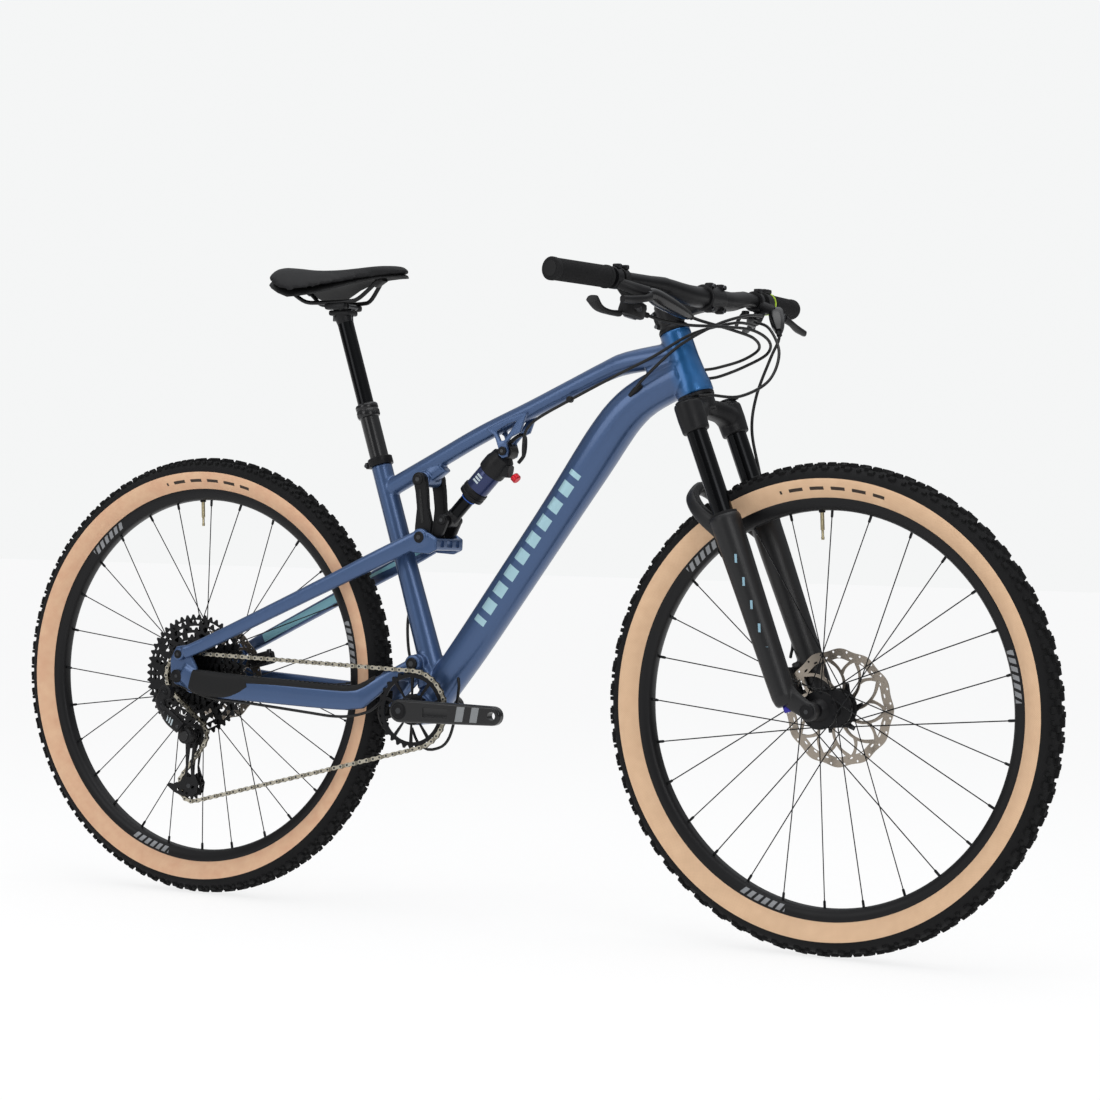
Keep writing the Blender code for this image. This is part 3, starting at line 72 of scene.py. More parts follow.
# Places shared by several sub-assemblies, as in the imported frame.
HEAD_FOOT = Vector((0.3383, 0.0, 0.8408))
HEAD_SLOPE = Vector((-0.3665, 0.0, 0.9304)).normalized()
STEER_ANGLE = -0.0475
BOTTOM_BRACKET = Vector((-0.128, 0.0, 0.335))
MAIN_PIVOT = Vector((-0.1345, 0.0, 0.4085))
REAR_AXLE = Vector((-0.5716, 0.0, 0.37))
STAY_AXLE = Vector((-0.5655, 0.0, 0.407))
ROCKER_AXLE = Vector((-0.137, 0.0, 0.706))
STAY_PIVOT = Vector((-0.126, 0.0, 0.6125))
SHOCK_LOWER = Vector((-0.0955, 0.0, 0.641))
SHOCK_UPPER = Vector((0.0095, 0.0, 0.753))
SEAT_TOP = Vector((-0.2293, 0.0, 0.729))
SEAT_SLOPE = Vector((-0.3142, 0.0, 0.9493)).normalized()
UPPER_JOCKEY = Vector((-0.551, -0.0575, 0.271))
LOWER_JOCKEY = Vector((-0.552, -0.0575, 0.186))
LEG_Y = 0.065
LEG_AHEAD = 0.0135
AXLE_DROP = 0.5235
FORK_OFFSET = 0.0445


# ---- colour and finish ---------------------------------------------------------------------
class Pattern(Enum):
    """How a surface was made, which decides its grain."""

    PAINT = "metallic flake under lacquer"
    ANODISED = "etched and dyed"
    CAST = "painted casting"
    MOULDED = "spark-eroded mould texture"
    RUBBER = "pressed rubber"
    BRUSHED = "ground steel"
    WEAVE = "woven casing under a thin rubber skin"


def linear(colour: str) -> tuple[float, float, float, float]:
    """Turns an sRGB hex value into Blender's linear colour.

    Args:
        colour: "#rrggbb".
    Returns:
        Red, green, blue and alpha.
    """
    channels = [int(colour[i:i + 2], 16) / 255 for i in (1, 3, 5)]
    spread = [c / 12.92 if c <= 0.04045 else ((c + 0.055) / 1.055) ** 2.4 for c in channels]
    return spread[0], spread[1], spread[2], 1.0


def add_node(tree: Tree, kind: str, settings: dict | None = None,
        inputs: dict | None = None) -> bpy.types.Node:
    """Adds one node.

    Args:
        tree: the material's node tree.
        kind: the node's type name.
        settings: its properties.
        inputs: its sockets by name or number, each with a value or a socket to link from.
    Returns:
        The node.
    """
    node = tree.nodes.new(kind)
    for key, value in (settings or {}).items():
        setattr(node, key, value)
    for key, value in (inputs or {}).items():
        if isinstance(value, Socket):
            tree.links.new(value, node.inputs[key])
        else:
            node.inputs[key].default_value = value
    return node


def maths(tree: Tree, operation: str, *values: object) -> Socket:
    """Adds a Math node and returns its output.

    Args:
        tree: the material's node tree.
        operation: the Math node's operation.
        values: numbers or sockets.
    """
    node = add_node(tree, "ShaderNodeMath", {"operation": operation}, dict(enumerate(values)))
    return node.outputs[0]


@dataclass(frozen=True)
class Finish:
    """One finish: a base, how it was made, and the size of its grain in millimetres."""

    name: str
    colour: str
    roughness: float
    metallic: float
    pattern: Pattern
    grain_mm: float
    depth_mm: float
    tint: float = 0.12
    coat: float = 0.0
    specular: float = 0.5

    def material(self) -> bpy.types.Material:
        """Builds the finish's material on first use.

        Returns:
            The material.
        """
        if self.name in bpy.data.materials:
            return bpy.data.materials[self.name]
        made = bpy.data.materials.new(self.name)
        made.use_nodes = True
        tree = made.node_tree
        shader = tree.nodes["Principled BSDF"]
        shader.inputs["Metallic"].default_value = self.metallic
        shader.inputs["Specular IOR Level"].default_value = self.specular
        if self.coat:
            shader.inputs["Coat Weight"].default_value = self.coat
            shader.inputs["Coat Roughness"].default_value = 0.18
        place = add_node(tree, "ShaderNodeTexCoord")
        here = place.outputs["Object"]
        grain = self.grain(tree, here, place.outputs["UV"])
        broad = add_node(tree, "ShaderNodeTexNoise", None, {"Vector": here, "Scale": 14.0,
            "Detail": 4.0})
        share = maths(tree, "ADD", maths(tree, "MULTIPLY", grain, 0.5), maths(tree, "MULTIPLY",
            broad.outputs["Fac"], 0.5))
        shade = self.base_colour(tree, here, place.outputs["UV"])
        darker = add_node(tree, "ShaderNodeMix", {"data_type": "RGBA", "blend_type": "MULTIPLY"},
            {0: 1.0, 6: shade, 7: (1 - self.tint,) * 3 + (1.0,)})
        mixed = add_node(tree, "ShaderNodeMix", {"data_type": "RGBA"}, {0: share,
            6: darker.outputs[2], 7: shade})
        tree.links.new(mixed.outputs[2], shader.inputs["Base Color"])
        rough = add_node(tree, "ShaderNodeMapRange", None, {0: share, 1: 0.3, 2: 0.7,
            3: self.roughness * 0.88, 4: min(1.0, self.roughness * 1.12)})
        tree.links.new(rough.outputs[0], shader.inputs["Roughness"])
        bump = add_node(tree, "ShaderNodeBump", None, {"Strength": 0.6,
            "Distance": self.depth_mm / 1000, "Height": grain})
        tree.links.new(bump.outputs[0], shader.inputs["Normal"])
        return made

    def base_colour(self, tree: Tree, here: Socket, uv: Socket) -> Socket:
        """The colour before its own variation; finishes with printed marks add them here."""
        return plain(tree, self.colour)

    def grain(self, tree: Tree, here: Socket, uv: Socket) -> Socket:
        """The fine pattern, 0 to 1, for height and colour.

        Args:
            tree: the material's nodes.
            here: object coordinates.
            uv: the piece's UV, in metres.

        Returns:
            The pattern's value.
        """
        per_metre = 1000 / self.grain_mm
        if self.pattern is Pattern.WEAVE:
            threads = []
            for lean in (1.0, -1.0):
                parts = add_node(tree, "ShaderNodeSeparateXYZ", None, {0: uv})
                run = maths(tree, "ADD", parts.outputs[0], maths(tree, "MULTIPLY",
                    parts.outputs[1], lean))
                threads.append(maths(tree, "SINE", maths(tree, "MULTIPLY", run, TAU * per_metre)))
            both = maths(tree, "MAXIMUM", *threads)
            return maths(tree, "MULTIPLY_ADD", both, 0.5, 0.5)
        if self.pattern is Pattern.BRUSHED:
            stretched = add_node(tree, "ShaderNodeMapping", None, {"Vector": here, "Scale": (1.0,
                1.0, 0.08)})
            here = stretched.outputs[0]
        if self.pattern in (Pattern.CAST, Pattern.MOULDED):
            cells = add_node(tree, "ShaderNodeTexVoronoi", {"feature": "SMOOTH_F1"},
                {"Vector": here, "Scale": per_metre, "Smoothness": 0.7})
            return cells.outputs["Distance"]
        noise = add_node(tree, "ShaderNodeTexNoise", None, {"Vector": here, "Scale": per_metre,
            "Detail": 3.0})
        return noise.outputs["Fac"]


def plain(tree: Tree, colour: str) -> Socket:
    """A constant colour as a socket, for the mixes that vary it.

    Args:
        tree: the material's nodes.
        colour: a hex value.

    Returns:
        The colour.
    """
    node = add_node(tree, "ShaderNodeRGB")
    node.outputs[0].default_value = linear(colour)
    return node.outputs[0]


def blend_colour(tree: Tree, share: Socket, low: object, high: object) -> Socket:
    """Mixes two colours, given as hex values or sockets, by a share from 0 to 1.

    Args:
        tree: the material's nodes.
        share: the mix, 0 to 1.
        low: the colour at 0.
        high: the colour at 1.

    Returns:
        The colour.
    """
    ends = [plain(tree, c) if isinstance(c, str) else c for c in (low, high)]
    return add_node(tree, "ShaderNodeMix", {"data_type": "RGBA"}, {0: share, 6: ends[0],
        7: ends[1]}).outputs[2]


def inside(tree: Tree, value: object, low: float, high: float) -> Socket:
    """1 where the value lies between low and high."""
    return maths(tree, "COMPARE", value, (low + high) / 2, (high - low) / 2)


@dataclass(frozen=True)
class FramePaint(Finish):
    """Satin metallic blue, deeper at the head tube, with plain pale bars along the down tube."""

    deep: str = "#2465a0"
    bar: str = "#a9cfda"
    bar_pitch: float = 0.033

    def base_colour(self, tree: Tree, here: Socket, uv: Socket) -> Socket:
        """Fades to the deeper blue towards the head tube and adds the bars.

        Args:
            tree: the material's nodes.
            here: object coordinates.
            uv: the piece's UV, in metres.

        Returns:
            The colour.
        """
        parts = add_node(tree, "ShaderNodeSeparateXYZ", None, {0: here}).outputs
        lead = maths(tree, "ADD", maths(tree, "MULTIPLY", parts[0], HEAD_SLOPE.z), maths(tree,
            "MULTIPLY", parts[2], -HEAD_SLOPE.x))
        axis = HEAD_FOOT.x * HEAD_SLOPE.z - HEAD_FOOT.z * HEAD_SLOPE.x
        ahead = add_node(tree, "ShaderNodeMapRange", None, {0: lead, 1: axis - 0.022,
            2: axis + 0.004})
        shade = blend_colour(tree, ahead.outputs[0], self.colour, self.deep)
        run = maths(tree, "ADD", maths(tree, "MULTIPLY", parts[0], 0.5777), maths(tree, "MULTIPLY",
            parts[2], 0.8162))
        across = maths(tree, "SUBTRACT", maths(tree, "MULTIPLY", parts[0], 0.8162), maths(tree,
            "MULTIPLY", parts[2], 0.5777))
        phase = maths(tree, "FRACT", maths(tree, "DIVIDE", run, self.bar_pitch))
        mask = maths(tree, "MULTIPLY", inside(tree, phase, 0.16, 0.8), maths(tree, "MULTIPLY",
            inside(tree, run, 0.378, 0.674), inside(tree, across, -0.304, -0.283)))
        return blend_colour(tree, mask, shade, self.bar)


@dataclass(frozen=True)
class Sidewall(Finish):
    """Tan woven casing with plain dark dashes moulded near the top of each side."""

    dash: str = "#33281f"

    def base_colour(self, tree: Tree, here: Socket, uv: Socket) -> Socket:
        """Adds the dashes; u runs round the tyre and v across it, both in metres.

        Args:
            tree: the material's nodes.
            here: object coordinates.
            uv: the piece's UV, in metres.

        Returns:
            The colour.
        """
        parts = add_node(tree, "ShaderNodeSeparateXYZ", None, {0: uv}).outputs
        turn = maths(tree, "FRACT", maths(tree, "DIVIDE", parts[0], 0.036))
        long_dash = maths(tree, "MULTIPLY", inside(tree, turn, 0.12, 0.78), inside(tree, parts[0],
            0.44, 0.62))
        side = maths(tree, "ABSOLUTE", parts[1])
        mask = maths(tree, "MULTIPLY", long_dash, inside(tree, side, 0.05, 0.056))
        clouds = add_node(tree, "ShaderNodeTexNoise", None, {"Vector": here, "Scale": 60.0})
        warm = blend_colour(tree, clouds.outputs["Fac"], self.colour, "#ecc7a2")
        return blend_colour(tree, mask, warm, self.dash)


@dataclass(frozen=True)
class RimFinish(Finish):
    """Black anodised rim with plain grey bars in three places."""

    bar: str = "#8d8f92"

    def base_colour(self, tree: Tree, here: Socket, uv: Socket) -> Socket:
        """Adds the bars; u runs round the rim in metres, v is the radius.

        Args:
            tree: the material's nodes.
            here: object coordinates.
            uv: the piece's UV, in metres.

        Returns:
            The colour.
        """
        parts = add_node(tree, "ShaderNodeSeparateXYZ", None, {0: uv}).outputs
        third = maths(tree, "FRACT", maths(tree, "ADD", maths(tree, "DIVIDE", parts[0], 0.6441),
            0.36))
        lean = maths(tree, "ADD", parts[0], maths(tree, "MULTIPLY", parts[1], 0.5))
        bars = inside(tree, maths(tree, "FRACT", maths(tree, "DIVIDE", lean, 0.0125)), 0.0, 0.62)
        mask = maths(tree, "MULTIPLY", inside(tree, third, 0.4, 0.52), maths(tree, "MULTIPLY",
            bars, inside(tree, parts[1], 0.3022, 0.3128)))
        return blend_colour(tree, mask, self.colour, self.bar)


# Satin lacquer over fine metallic flake: soft broad highlights with a faint sparkle.
FRAME_PAINT = FramePaint("satin_metallic_blue_paint", "#415a82", 0.34, 0.6, Pattern.PAINT, 0.5,
    0.01, tint=0.16, coat=0.35)
# The left stays carry a pale teal flash on their inner faces.
TEAL_PAINT = Finish("pale_teal_paint", "#86bccb", 0.38, 0.3, Pattern.PAINT, 0.5, 0.01)
# Etched, dyed aluminium: dark grey with a dry, even sheen.
BLACK_ANODISED = Finish("black_anodised_aluminium", "#141416", 0.42, 0.4, Pattern.ANODISED, 0.6,
    0.01, specular=0.3)
# Anodised rim, a shade darker than the other parts, so that its printed bars stand out.
RIM_BLACK = RimFinish("black_anodised_rim", "#111113", 0.42, 0.3, Pattern.ANODISED, 0.6, 0.01,
    specular=0.35)
# Painted magnesium and forged parts: slightly pebbled satin black.
BLACK_CAST = Finish("satin_black_painted_casting", "#131315", 0.44, 0.0, Pattern.CAST, 1.2, 0.03,
    specular=0.25)
# Sprayed gloss black: deep, with one clear highlight along the edges.
BLACK_GLOSS = Finish("gloss_black_painted_aluminium", "#0e0e10", 0.26, 0.0, Pattern.PAINT, 0.8,
    0.01, coat=0.25, specular=0.35)
# Screen-printed ink: flat mid grey against the black round it.
GREY_BAND = Finish("grey_printed_band", "#85888a", 0.45, 0.1, Pattern.ANODISED, 0.8, 0.01)
# Hard-coated stanchions: smooth, nearly black.
STANCHION = Finish("black_hard_coated_stanchion", "#101113", 0.2, 0.8, Pattern.ANODISED, 0.4,
    0.004)
# Injection-moulded nylon: dull and faintly grained, so small parts look soft-edged.
BLACK_PLASTIC = Finish("moulded_black_nylon", "#151516", 0.52, 0.0, Pattern.MOULDED, 0.9, 0.03,
    specular=0.25)
# Moulded rubber: no shine, only the ribs catch light.
GRIP_RUBBER = Finish("ribbed_grip_rubber", "#1c1c1d", 0.8, 0.0, Pattern.RUBBER, 0.8, 0.05,
    specular=0.2)
# Tyre rubber: the flattest black on the bicycle, with a dusty grain.
TREAD_RUBBER = Finish("tread_rubber", "#131314", 0.86, 0.0, Pattern.RUBBER, 1.0, 0.08,
    specular=0.25)
# Casing threads are about 0.4 mm apart; they are drawn at 3.4 mm so that the weave shows.
REAR_SIDEWALL = Sidewall("tan_woven_casing_rear", "#d9a585", 0.72, 0.0, Pattern.WEAVE, 3.4, 0.12,
    tint=0.2)
FRONT_SIDEWALL = Sidewall("tan_woven_casing_front", "#dbb490", 0.72, 0.0, Pattern.WEAVE, 3.4, 0.12,
    tint=0.22)
# Ground stainless steel: fine lines that make a warm, streaked shine.
ROTOR_STEEL = Finish("ground_stainless_steel", "#a89e92", 0.34, 1.0, Pattern.BRUSHED, 0.5, 0.01)
# Nickel plate on the outer links: small bright glints.
CHAIN_STEEL = Finish("nickel_plated_chain_steel", "#c0baaa", 0.28, 1.0, Pattern.BRUSHED, 0.5, 0.01)
# The inner links lie in shade and oil, so the chain reads as alternating.
CHAIN_DARK = Finish("shaded_chain_steel", "#8f8a7c", 0.34, 1.0, Pattern.BRUSHED, 0.5, 0.01)
# Black oxide: dark, with a thin metallic edge on every tooth.
BLACK_STEEL = Finish("black_oxide_steel", "#2a2a2b", 0.36, 0.85, Pattern.BRUSHED, 0.5, 0.01)
# Drawn and blackened wire: one narrow line of light down each spoke.
SPOKE_STEEL = Finish("black_spoke_steel", "#1f2022", 0.32, 0.8, Pattern.BRUSHED, 0.5, 0.005)
# Dark plating: bolt heads read a step lighter than what they hold.
BOLT_STEEL = Finish("dark_plated_bolt_steel", "#4a4b4d", 0.3, 1.0, Pattern.BRUSHED, 0.4, 0.01)
# Worn brass under plating: a pale, slightly yellow stem.
BRASS = Finish("brass_valve_stem", "#b8ad8c", 0.3, 1.0, Pattern.BRUSHED, 0.4, 0.01)
# Dyed aluminium: saturated colour that darkens away from the light.
VIOLET = Finish("violet_anodised_aluminium", "#3b369a", 0.32, 0.8, Pattern.ANODISED, 0.5, 0.01)
# Dyed red aluminium: one small saturated accent.
RED = Finish("red_anodised_aluminium", "#cc2531", 0.32, 0.7, Pattern.ANODISED, 0.5, 0.01)
# Coloured nylon: bright and dull, so the ring is seen from afar.
LIME = Finish("lime_moulded_plastic", "#b7dc2f", 0.45, 0.0, Pattern.MOULDED, 0.9, 0.02)
# Soft rubber ring: plain blue against the dark shaft.
BLUE_RING = Finish("blue_rubber_ring", "#2a5fc0", 0.55, 0.0, Pattern.RUBBER, 0.8, 0.02)
# Lacquered print on aluminium: dark navy with a clear sheen on top.
SHOCK_NAVY = Finish("navy_printed_can", "#27325c", 0.3, 0.6, Pattern.ANODISED, 0.5, 0.01, coat=0.3)
# Pale ink: flat, with no highlight of its own.
PALE_MARK = Finish("pale_printed_mark", "#b9c6cc", 0.5, 0.0, Pattern.ANODISED, 0.8, 0.01)
# Embossed synthetic skin: soft wide highlights that show the padding's shape.
SADDLE_SKIN = Finish("matte_synthetic_saddle_skin", "#121214", 0.56, 0.0, Pattern.MOULDED, 1.1,
    0.05, specular=0.22)
# Extruded polymer: a thin steady highlight along every run.
HOSE = Finish("polymer_hose", "#0e0e0f", 0.42, 0.0, Pattern.MOULDED, 0.8, 0.01, specular=0.35)


# ---- bench tools ---------------------------------------------------------------------------
def deselect() -> None:
    """Leaves edit mode and selects nothing."""
    if bpy.context.object and bpy.context.object.mode != "OBJECT":
        bpy.ops.object.mode_set(mode="OBJECT")
    bpy.ops.object.select_all(action="DESELECT")


def pick(*objects: Piece) -> None:
    """Selects the pieces; the first is active.

    Args:
        objects: the pieces, the active one first.
    """
    deselect()
    for piece in objects:
        piece.select_set(True)
    bpy.context.view_layer.objects.active = objects[0]


def outline_ring(points: Sequence[Point]) -> Piece:
    """Adds a circle with one corner for each point and moves its corners onto them.

    Args:
        points: the closed outline's corners, in order.
    Returns:
        The new piece, an empty ring of edges.
    """
    deselect()
    bpy.ops.mesh.primitive_circle_add(vertices=len(points), radius=1.0, fill_type="NOTHING")
    ring = bpy.context.object
    for corner, place in zip(ring.data.vertices, points):
        corner.co = place
    return ring


def use_modifier(piece: Piece, kind: str, **settings: object) -> None:
    """Adds a modifier with its settings and applies it.

    Args:
        piece: the piece.
        kind: the modifier's type.
        settings: its properties by name.
    """
    pick(piece)
    step = piece.modifiers.new(kind.lower(), kind)
    for key, value in settings.items():
        setattr(step, key, value)
    bpy.ops.object.modifier_apply(modifier=step.name)


def cut(piece: Piece, tool: Piece) -> None:
    """Subtracts the tool from the piece and removes the tool."""
    use_modifier(piece, "BOOLEAN", operation="DIFFERENCE", object=tool, solver="EXACT")
    bpy.data.objects.remove(tool)


def chamfer(piece: Piece, width: float, segments: int, degrees: float) -> None:
    """Rounds the edges that are sharper than the angle."""
    use_modifier(piece, "BEVEL", width=width, segments=segments, limit_method="ANGLE",
        angle_limit=math.radians(degrees))


def smooth(piece: Piece, degrees: float = 38.0) -> Piece:
    """Points the faces outwards and shades them smooth up to the angle.

    Args:
        piece: the piece.
        degrees: the sharpest edge still shaded smooth.

    Returns:
        The same piece.
    """
    pick(piece)
    bpy.ops.object.mode_set(mode="EDIT")
    bpy.ops.mesh.select_all(action="SELECT")
    bpy.ops.mesh.remove_doubles(threshold=1e-6)
    bpy.ops.mesh.normals_make_consistent(inside=False)
    bpy.ops.object.mode_set(mode="OBJECT")
    bpy.ops.object.shade_smooth_by_angle(angle=math.radians(degrees))
    return piece


def paint(piece: Piece, finish: Finish) -> Piece:
    """Gives the whole piece one finish.

    Args:
        piece: the piece.
        finish: its finish.

    Returns:
        The same piece.
    """
    piece.data.materials.clear()
    piece.data.materials.append(finish.material())
    return piece


def aim(direction: Point) -> Matrix:
    """The turn that takes +Z to the direction."""
    return Vector((0, 0, 1)).rotation_difference(Vector(direction)).to_matrix().to_4x4()


def extruded_through(name: str, frames: Sequence[Matrix], sides: int, square: float = 2.0,
        tilt: float = 0.0) -> Piece:
    """Extrudes a filled ring from frame to frame.

    Args:
        name: the piece's name.
        frames: matrices that take the unit ring to each station.
        sides: corners of the ring.
        square: 2 is an ellipse; higher values square it off.
        tilt: share of a corner by which the ring is turned.
    Returns:
        The closed piece.
    """
    ring = []
    for k in range(sides):
        angle = TAU * (k + tilt) / sides
        c, s = math.cos(angle), math.sin(angle)
        ring.append(frames[0] @ Vector((math.copysign(abs(c) ** (2 / square), c),
            math.copysign(abs(s) ** (2 / square), s), 0.0)))
    piece = outline_ring(ring)
    piece.name = name
    bpy.ops.object.mode_set(mode="EDIT")
    bpy.ops.mesh.select_all(action="SELECT")
    bpy.ops.mesh.edge_face_add()
    for before, after in zip(frames, frames[1:]):
        bpy.ops.mesh.extrude_region_move()
        mesh = bmesh.from_edit_mesh(piece.data)
        bmesh.ops.transform(mesh, matrix=after @ before.inverted(), verts=[v for v in mesh.verts
            if v.select])
        bmesh.update_edit_mesh(piece.data)
    bpy.ops.object.mode_set(mode="OBJECT")
    return smooth(piece)


def turned(name: str, profile: Sequence[tuple[float, float]], centre: Point, direction: Point = (0,
        1, 0), sides: int = 32) -> Piece:
    """A solid turned piece.

    Args:
        name: the piece's name.
        profile: (radius, distance along the direction), from one end to the other.
        centre: where the distances start.
        direction: the turning axis.
        sides: corners round it.

    Returns:
        The finished piece.
    """
    base = Matrix.Translation(centre) @ aim(direction)
    frames = [base @ Matrix.Translation((0, 0, h)) @ Matrix.Diagonal((max(r, 2e-5),) * 2 + (1, 1))
        for r, h in profile]
    return extruded_through(name, frames, sides)


def pin(name: str, start: Point, end: Point, radius: float, edge: float = 0.0,
        sides: int = 24) -> Piece:
    """A round bar between two points, with its ends chamfered by edge.

    Args:
        name: the piece's name.
        start: one end.
        end: the other end.
        radius: its radius.
        edge: how far its edges are rounded off.
        sides: corners round it.

    Returns:
        The finished piece.
    """
    length = (Vector(end) - Vector(start)).length
    profile = [(radius - edge, 0.0), (radius, edge), (radius, length - edge), (radius - edge,
        length)] if edge else [(radius, 0.0), (radius, length)]
    return turned(name, profile, start, Vector(end) - Vector(start), sides)


def across(name: str, centre: Point, low: float, high: float, radius: float, edge: float = 0.0006,
        sides: int = 28) -> Piece:
    """A round bar lying across the bike, from y = low to y = high."""
    return pin(name, (centre[0], low, centre[2]), (centre[0], high, centre[2]), radius, edge,
        sides)


def smooth_rows(rows: Sequence[Sequence[float]], step: float) -> list[list[float]]:
    """Rows at about the step on a smooth curve; a row starts with its place and may carry sizes.

    Args:
        rows: the rows to pass through.
        step: the spacing wanted, in metres.

    Returns:
        The rows along the curve, the last row included.
    """
    first = [2 * a - b for a, b in zip(rows[0], rows[1])]
    last = [2 * a - b for a, b in zip(rows[-1], rows[-2])]
    run = [first] + [list(row) for row in rows] + [last]
    result = []
    for a, b, c, d in zip(run, run[1:], run[2:], run[3:]):
        count = max(1, round(math.dist(b[:3], c[:3]) / step))
        for i in range(count):
            t = i / count
            result.append([0.5 * (2 * q + (r - p) * t + (2 * p - 5 * q + 4 * r - u) * t * t + (3
                * q - p - 3 * r + u) * t ** 3) for p, q, r, u in zip(a, b, c, d)])
    return result + [run[-2]]


def smooth_route(points: Sequence[Point], step: float) -> list[Vector]:
    """Points at about the step on a smooth curve through the route."""
    return [Vector(row) for row in smooth_rows([list(p) for p in points], step)]


def stretch(values: Sequence[float], count: int) -> list[float]:
    """Spreads a list of numbers evenly over a longer count.

    Args:
        values: the numbers.
        count: how many are wanted.

    Returns:
        The numbers.
    """
    last = len(values) - 1
    spread = []
    for i in range(count):
        at = last * i / max(1, count - 1)
        k = min(int(at), last - 1) if last else 0
        spread.append(values[k] + (values[min(k + 1, last)] - values[k]) * (at - k))
    return spread


def swept(name: str, points: Sequence[Point], widths: Sequence[float] | float,
        heights: Sequence[float] | None = None, sides: int = 20, square: float = 2.0,
        step: float = 0.0) -> Piece:
    """A bar along a route.

    Args:
        name: the piece's name.
        points: the route.
        widths: half widths along the route, or one for all.
        heights: half heights, if they differ from the widths.
        sides: corners of the section.
        square: 2 is an ellipse; higher values square it off.
        step: if given, the route is smoothed at this spacing.

    Returns:
        The finished piece.
    """
    widths = [widths] * 2 if isinstance(widths, float) else list(widths)
    heights = list(heights) if heights else widths
    rows = [[*p, w, h] for p, w, h in zip(points, stretch(widths, len(points)), stretch(heights,
        len(points)))]
    rows = smooth_rows(rows, step) if step else rows
    route, wide, high = [Vector(r[:3]) for r in rows], [r[3] for r in rows], [r[4] for r in rows]
    frames = []
    side = None
    for i, place in enumerate(route):
        ahead = (route[min(i + 1, len(route) - 1)] - route[max(i - 1, 0)]).normalized()
        if side is None:
            side = Vector((0, 0, 1)).cross(ahead)
            side = side.normalized() if side.length > 0.05 else Vector((0, 1, 0))
        side = (side - ahead * side.dot(ahead)).normalized()
        up = ahead.cross(side)
        frame = Matrix((side * wide[i], up * high[i], ahead)).transposed().to_4x4()
        frames.append(Matrix.Translation(place) @ frame)
    return extruded_through(name, frames, sides, square)


def plate(name: str, outline: Sequence[tuple[float, float]], low: float, high: float,
        edge: float = 0.0008, segments: int = 2) -> Piece:
    """A plate cut to an outline in the bike's side view, from y = low to y = high, edges rounded.

    Args:
        name: the piece's name.
        outline: (x, z) corners.
        low: its right face.
        high: its left face.
        edge: how far its edges are rounded off.
        segments: steps in the rounding.

    Returns:
        The finished piece.
    """
    piece = outline_ring([(x, low, z) for x, z in outline])
    piece.name = name
    bpy.ops.object.mode_set(mode="EDIT")
    bpy.ops.mesh.select_all(action="SELECT")
    bpy.ops.mesh.edge_face_add()
    bpy.ops.mesh.extrude_region_move(TRANSFORM_OT_translate={"value": (0, high - low, 0)})
    bpy.ops.object.mode_set(mode="OBJECT")
    smooth(piece)
    if edge:
        chamfer(piece, edge, segments, 30)
        smooth(piece)
    return piece


def brick(name: str, centre: Point, size: Point, turn: Matrix | None = None,
        edge: float = 0.001) -> Piece:
    """A box with rounded edges, turned about its centre.

    Args:
        name: the piece's name.
        centre: its centre.
        size: its length along each axis.
        turn: its turn, if any.
        edge: how far its edges are rounded off.

    Returns:
        The finished piece.
    """
    deselect()
    bpy.ops.mesh.primitive_cube_add(size=1.0)
    piece = bpy.context.object
    piece.name = name
    piece.data.transform(Matrix.Translation(centre) @ (turn or Matrix()) @ Matrix.Diagonal((*size,
        1)))
    use_modifier(piece, "BEVEL", width=edge, segments=2)
    return smooth(piece)


def revolved(name: str, profile: Sequence[tuple[float, float]], steps: int) -> Piece:
    """Spins a closed profile of (radius, y) about the Y axis; its UV in metres is given afterwards
    by map_round.

    Args:
        name: the piece's name.
        profile: the closed outline.
        steps: corners round it.
    Returns:
        The piece, centred on the origin.
    """
    piece = outline_ring([(r, y, 0.0) for r, y in profile])
    piece.name = name
    bpy.ops.object.mode_set(mode="EDIT")
    bpy.ops.mesh.select_all(action="SELECT")
    bpy.ops.mesh.spin(steps=steps, angle=TAU, center=(0, 0, 0), axis=(0, 1, 0))
    bpy.ops.object.mode_set(mode="OBJECT")
    return smooth(piece)


def map_round(piece: Piece, radius: float, across_at: Callable[[float, float], float]) -> None:
    """Gives a revolved piece a UV in metres.

    Args:
        piece: the piece, centred on the origin.
        radius: where u is true to length.
        across_at: gives v from a point's radius and y.
    """
    while piece.data.uv_layers:
        piece.data.uv_layers.remove(piece.data.uv_layers[0])
    layer = piece.data.uv_layers.new(name="round")
    for face in piece.data.polygons:
        middle = math.atan2(face.center.z, face.center.x)
        for corner in face.loop_indices:
            place = piece.data.vertices[piece.data.loops[corner].vertex_index].co
            angle = math.atan2(place.z, place.x)
            angle += TAU * round((middle - angle) / (TAU))
            layer.data[corner].uv = (angle * radius, across_at(math.hypot(place.x, place.z),
                place.y))


def joined(name: str, pieces: Sequence[Piece]) -> Piece:
    """Joins separate bodies into one piece; each keeps its finish.

    Args:
        name: the piece's name.
        pieces: the bodies; the first keeps its object.

    Returns:
        The finished piece.
    """
    pick(*pieces)
    if len(pieces) > 1:
        bpy.ops.object.join()
    pieces[0].name = name
    return pieces[0]


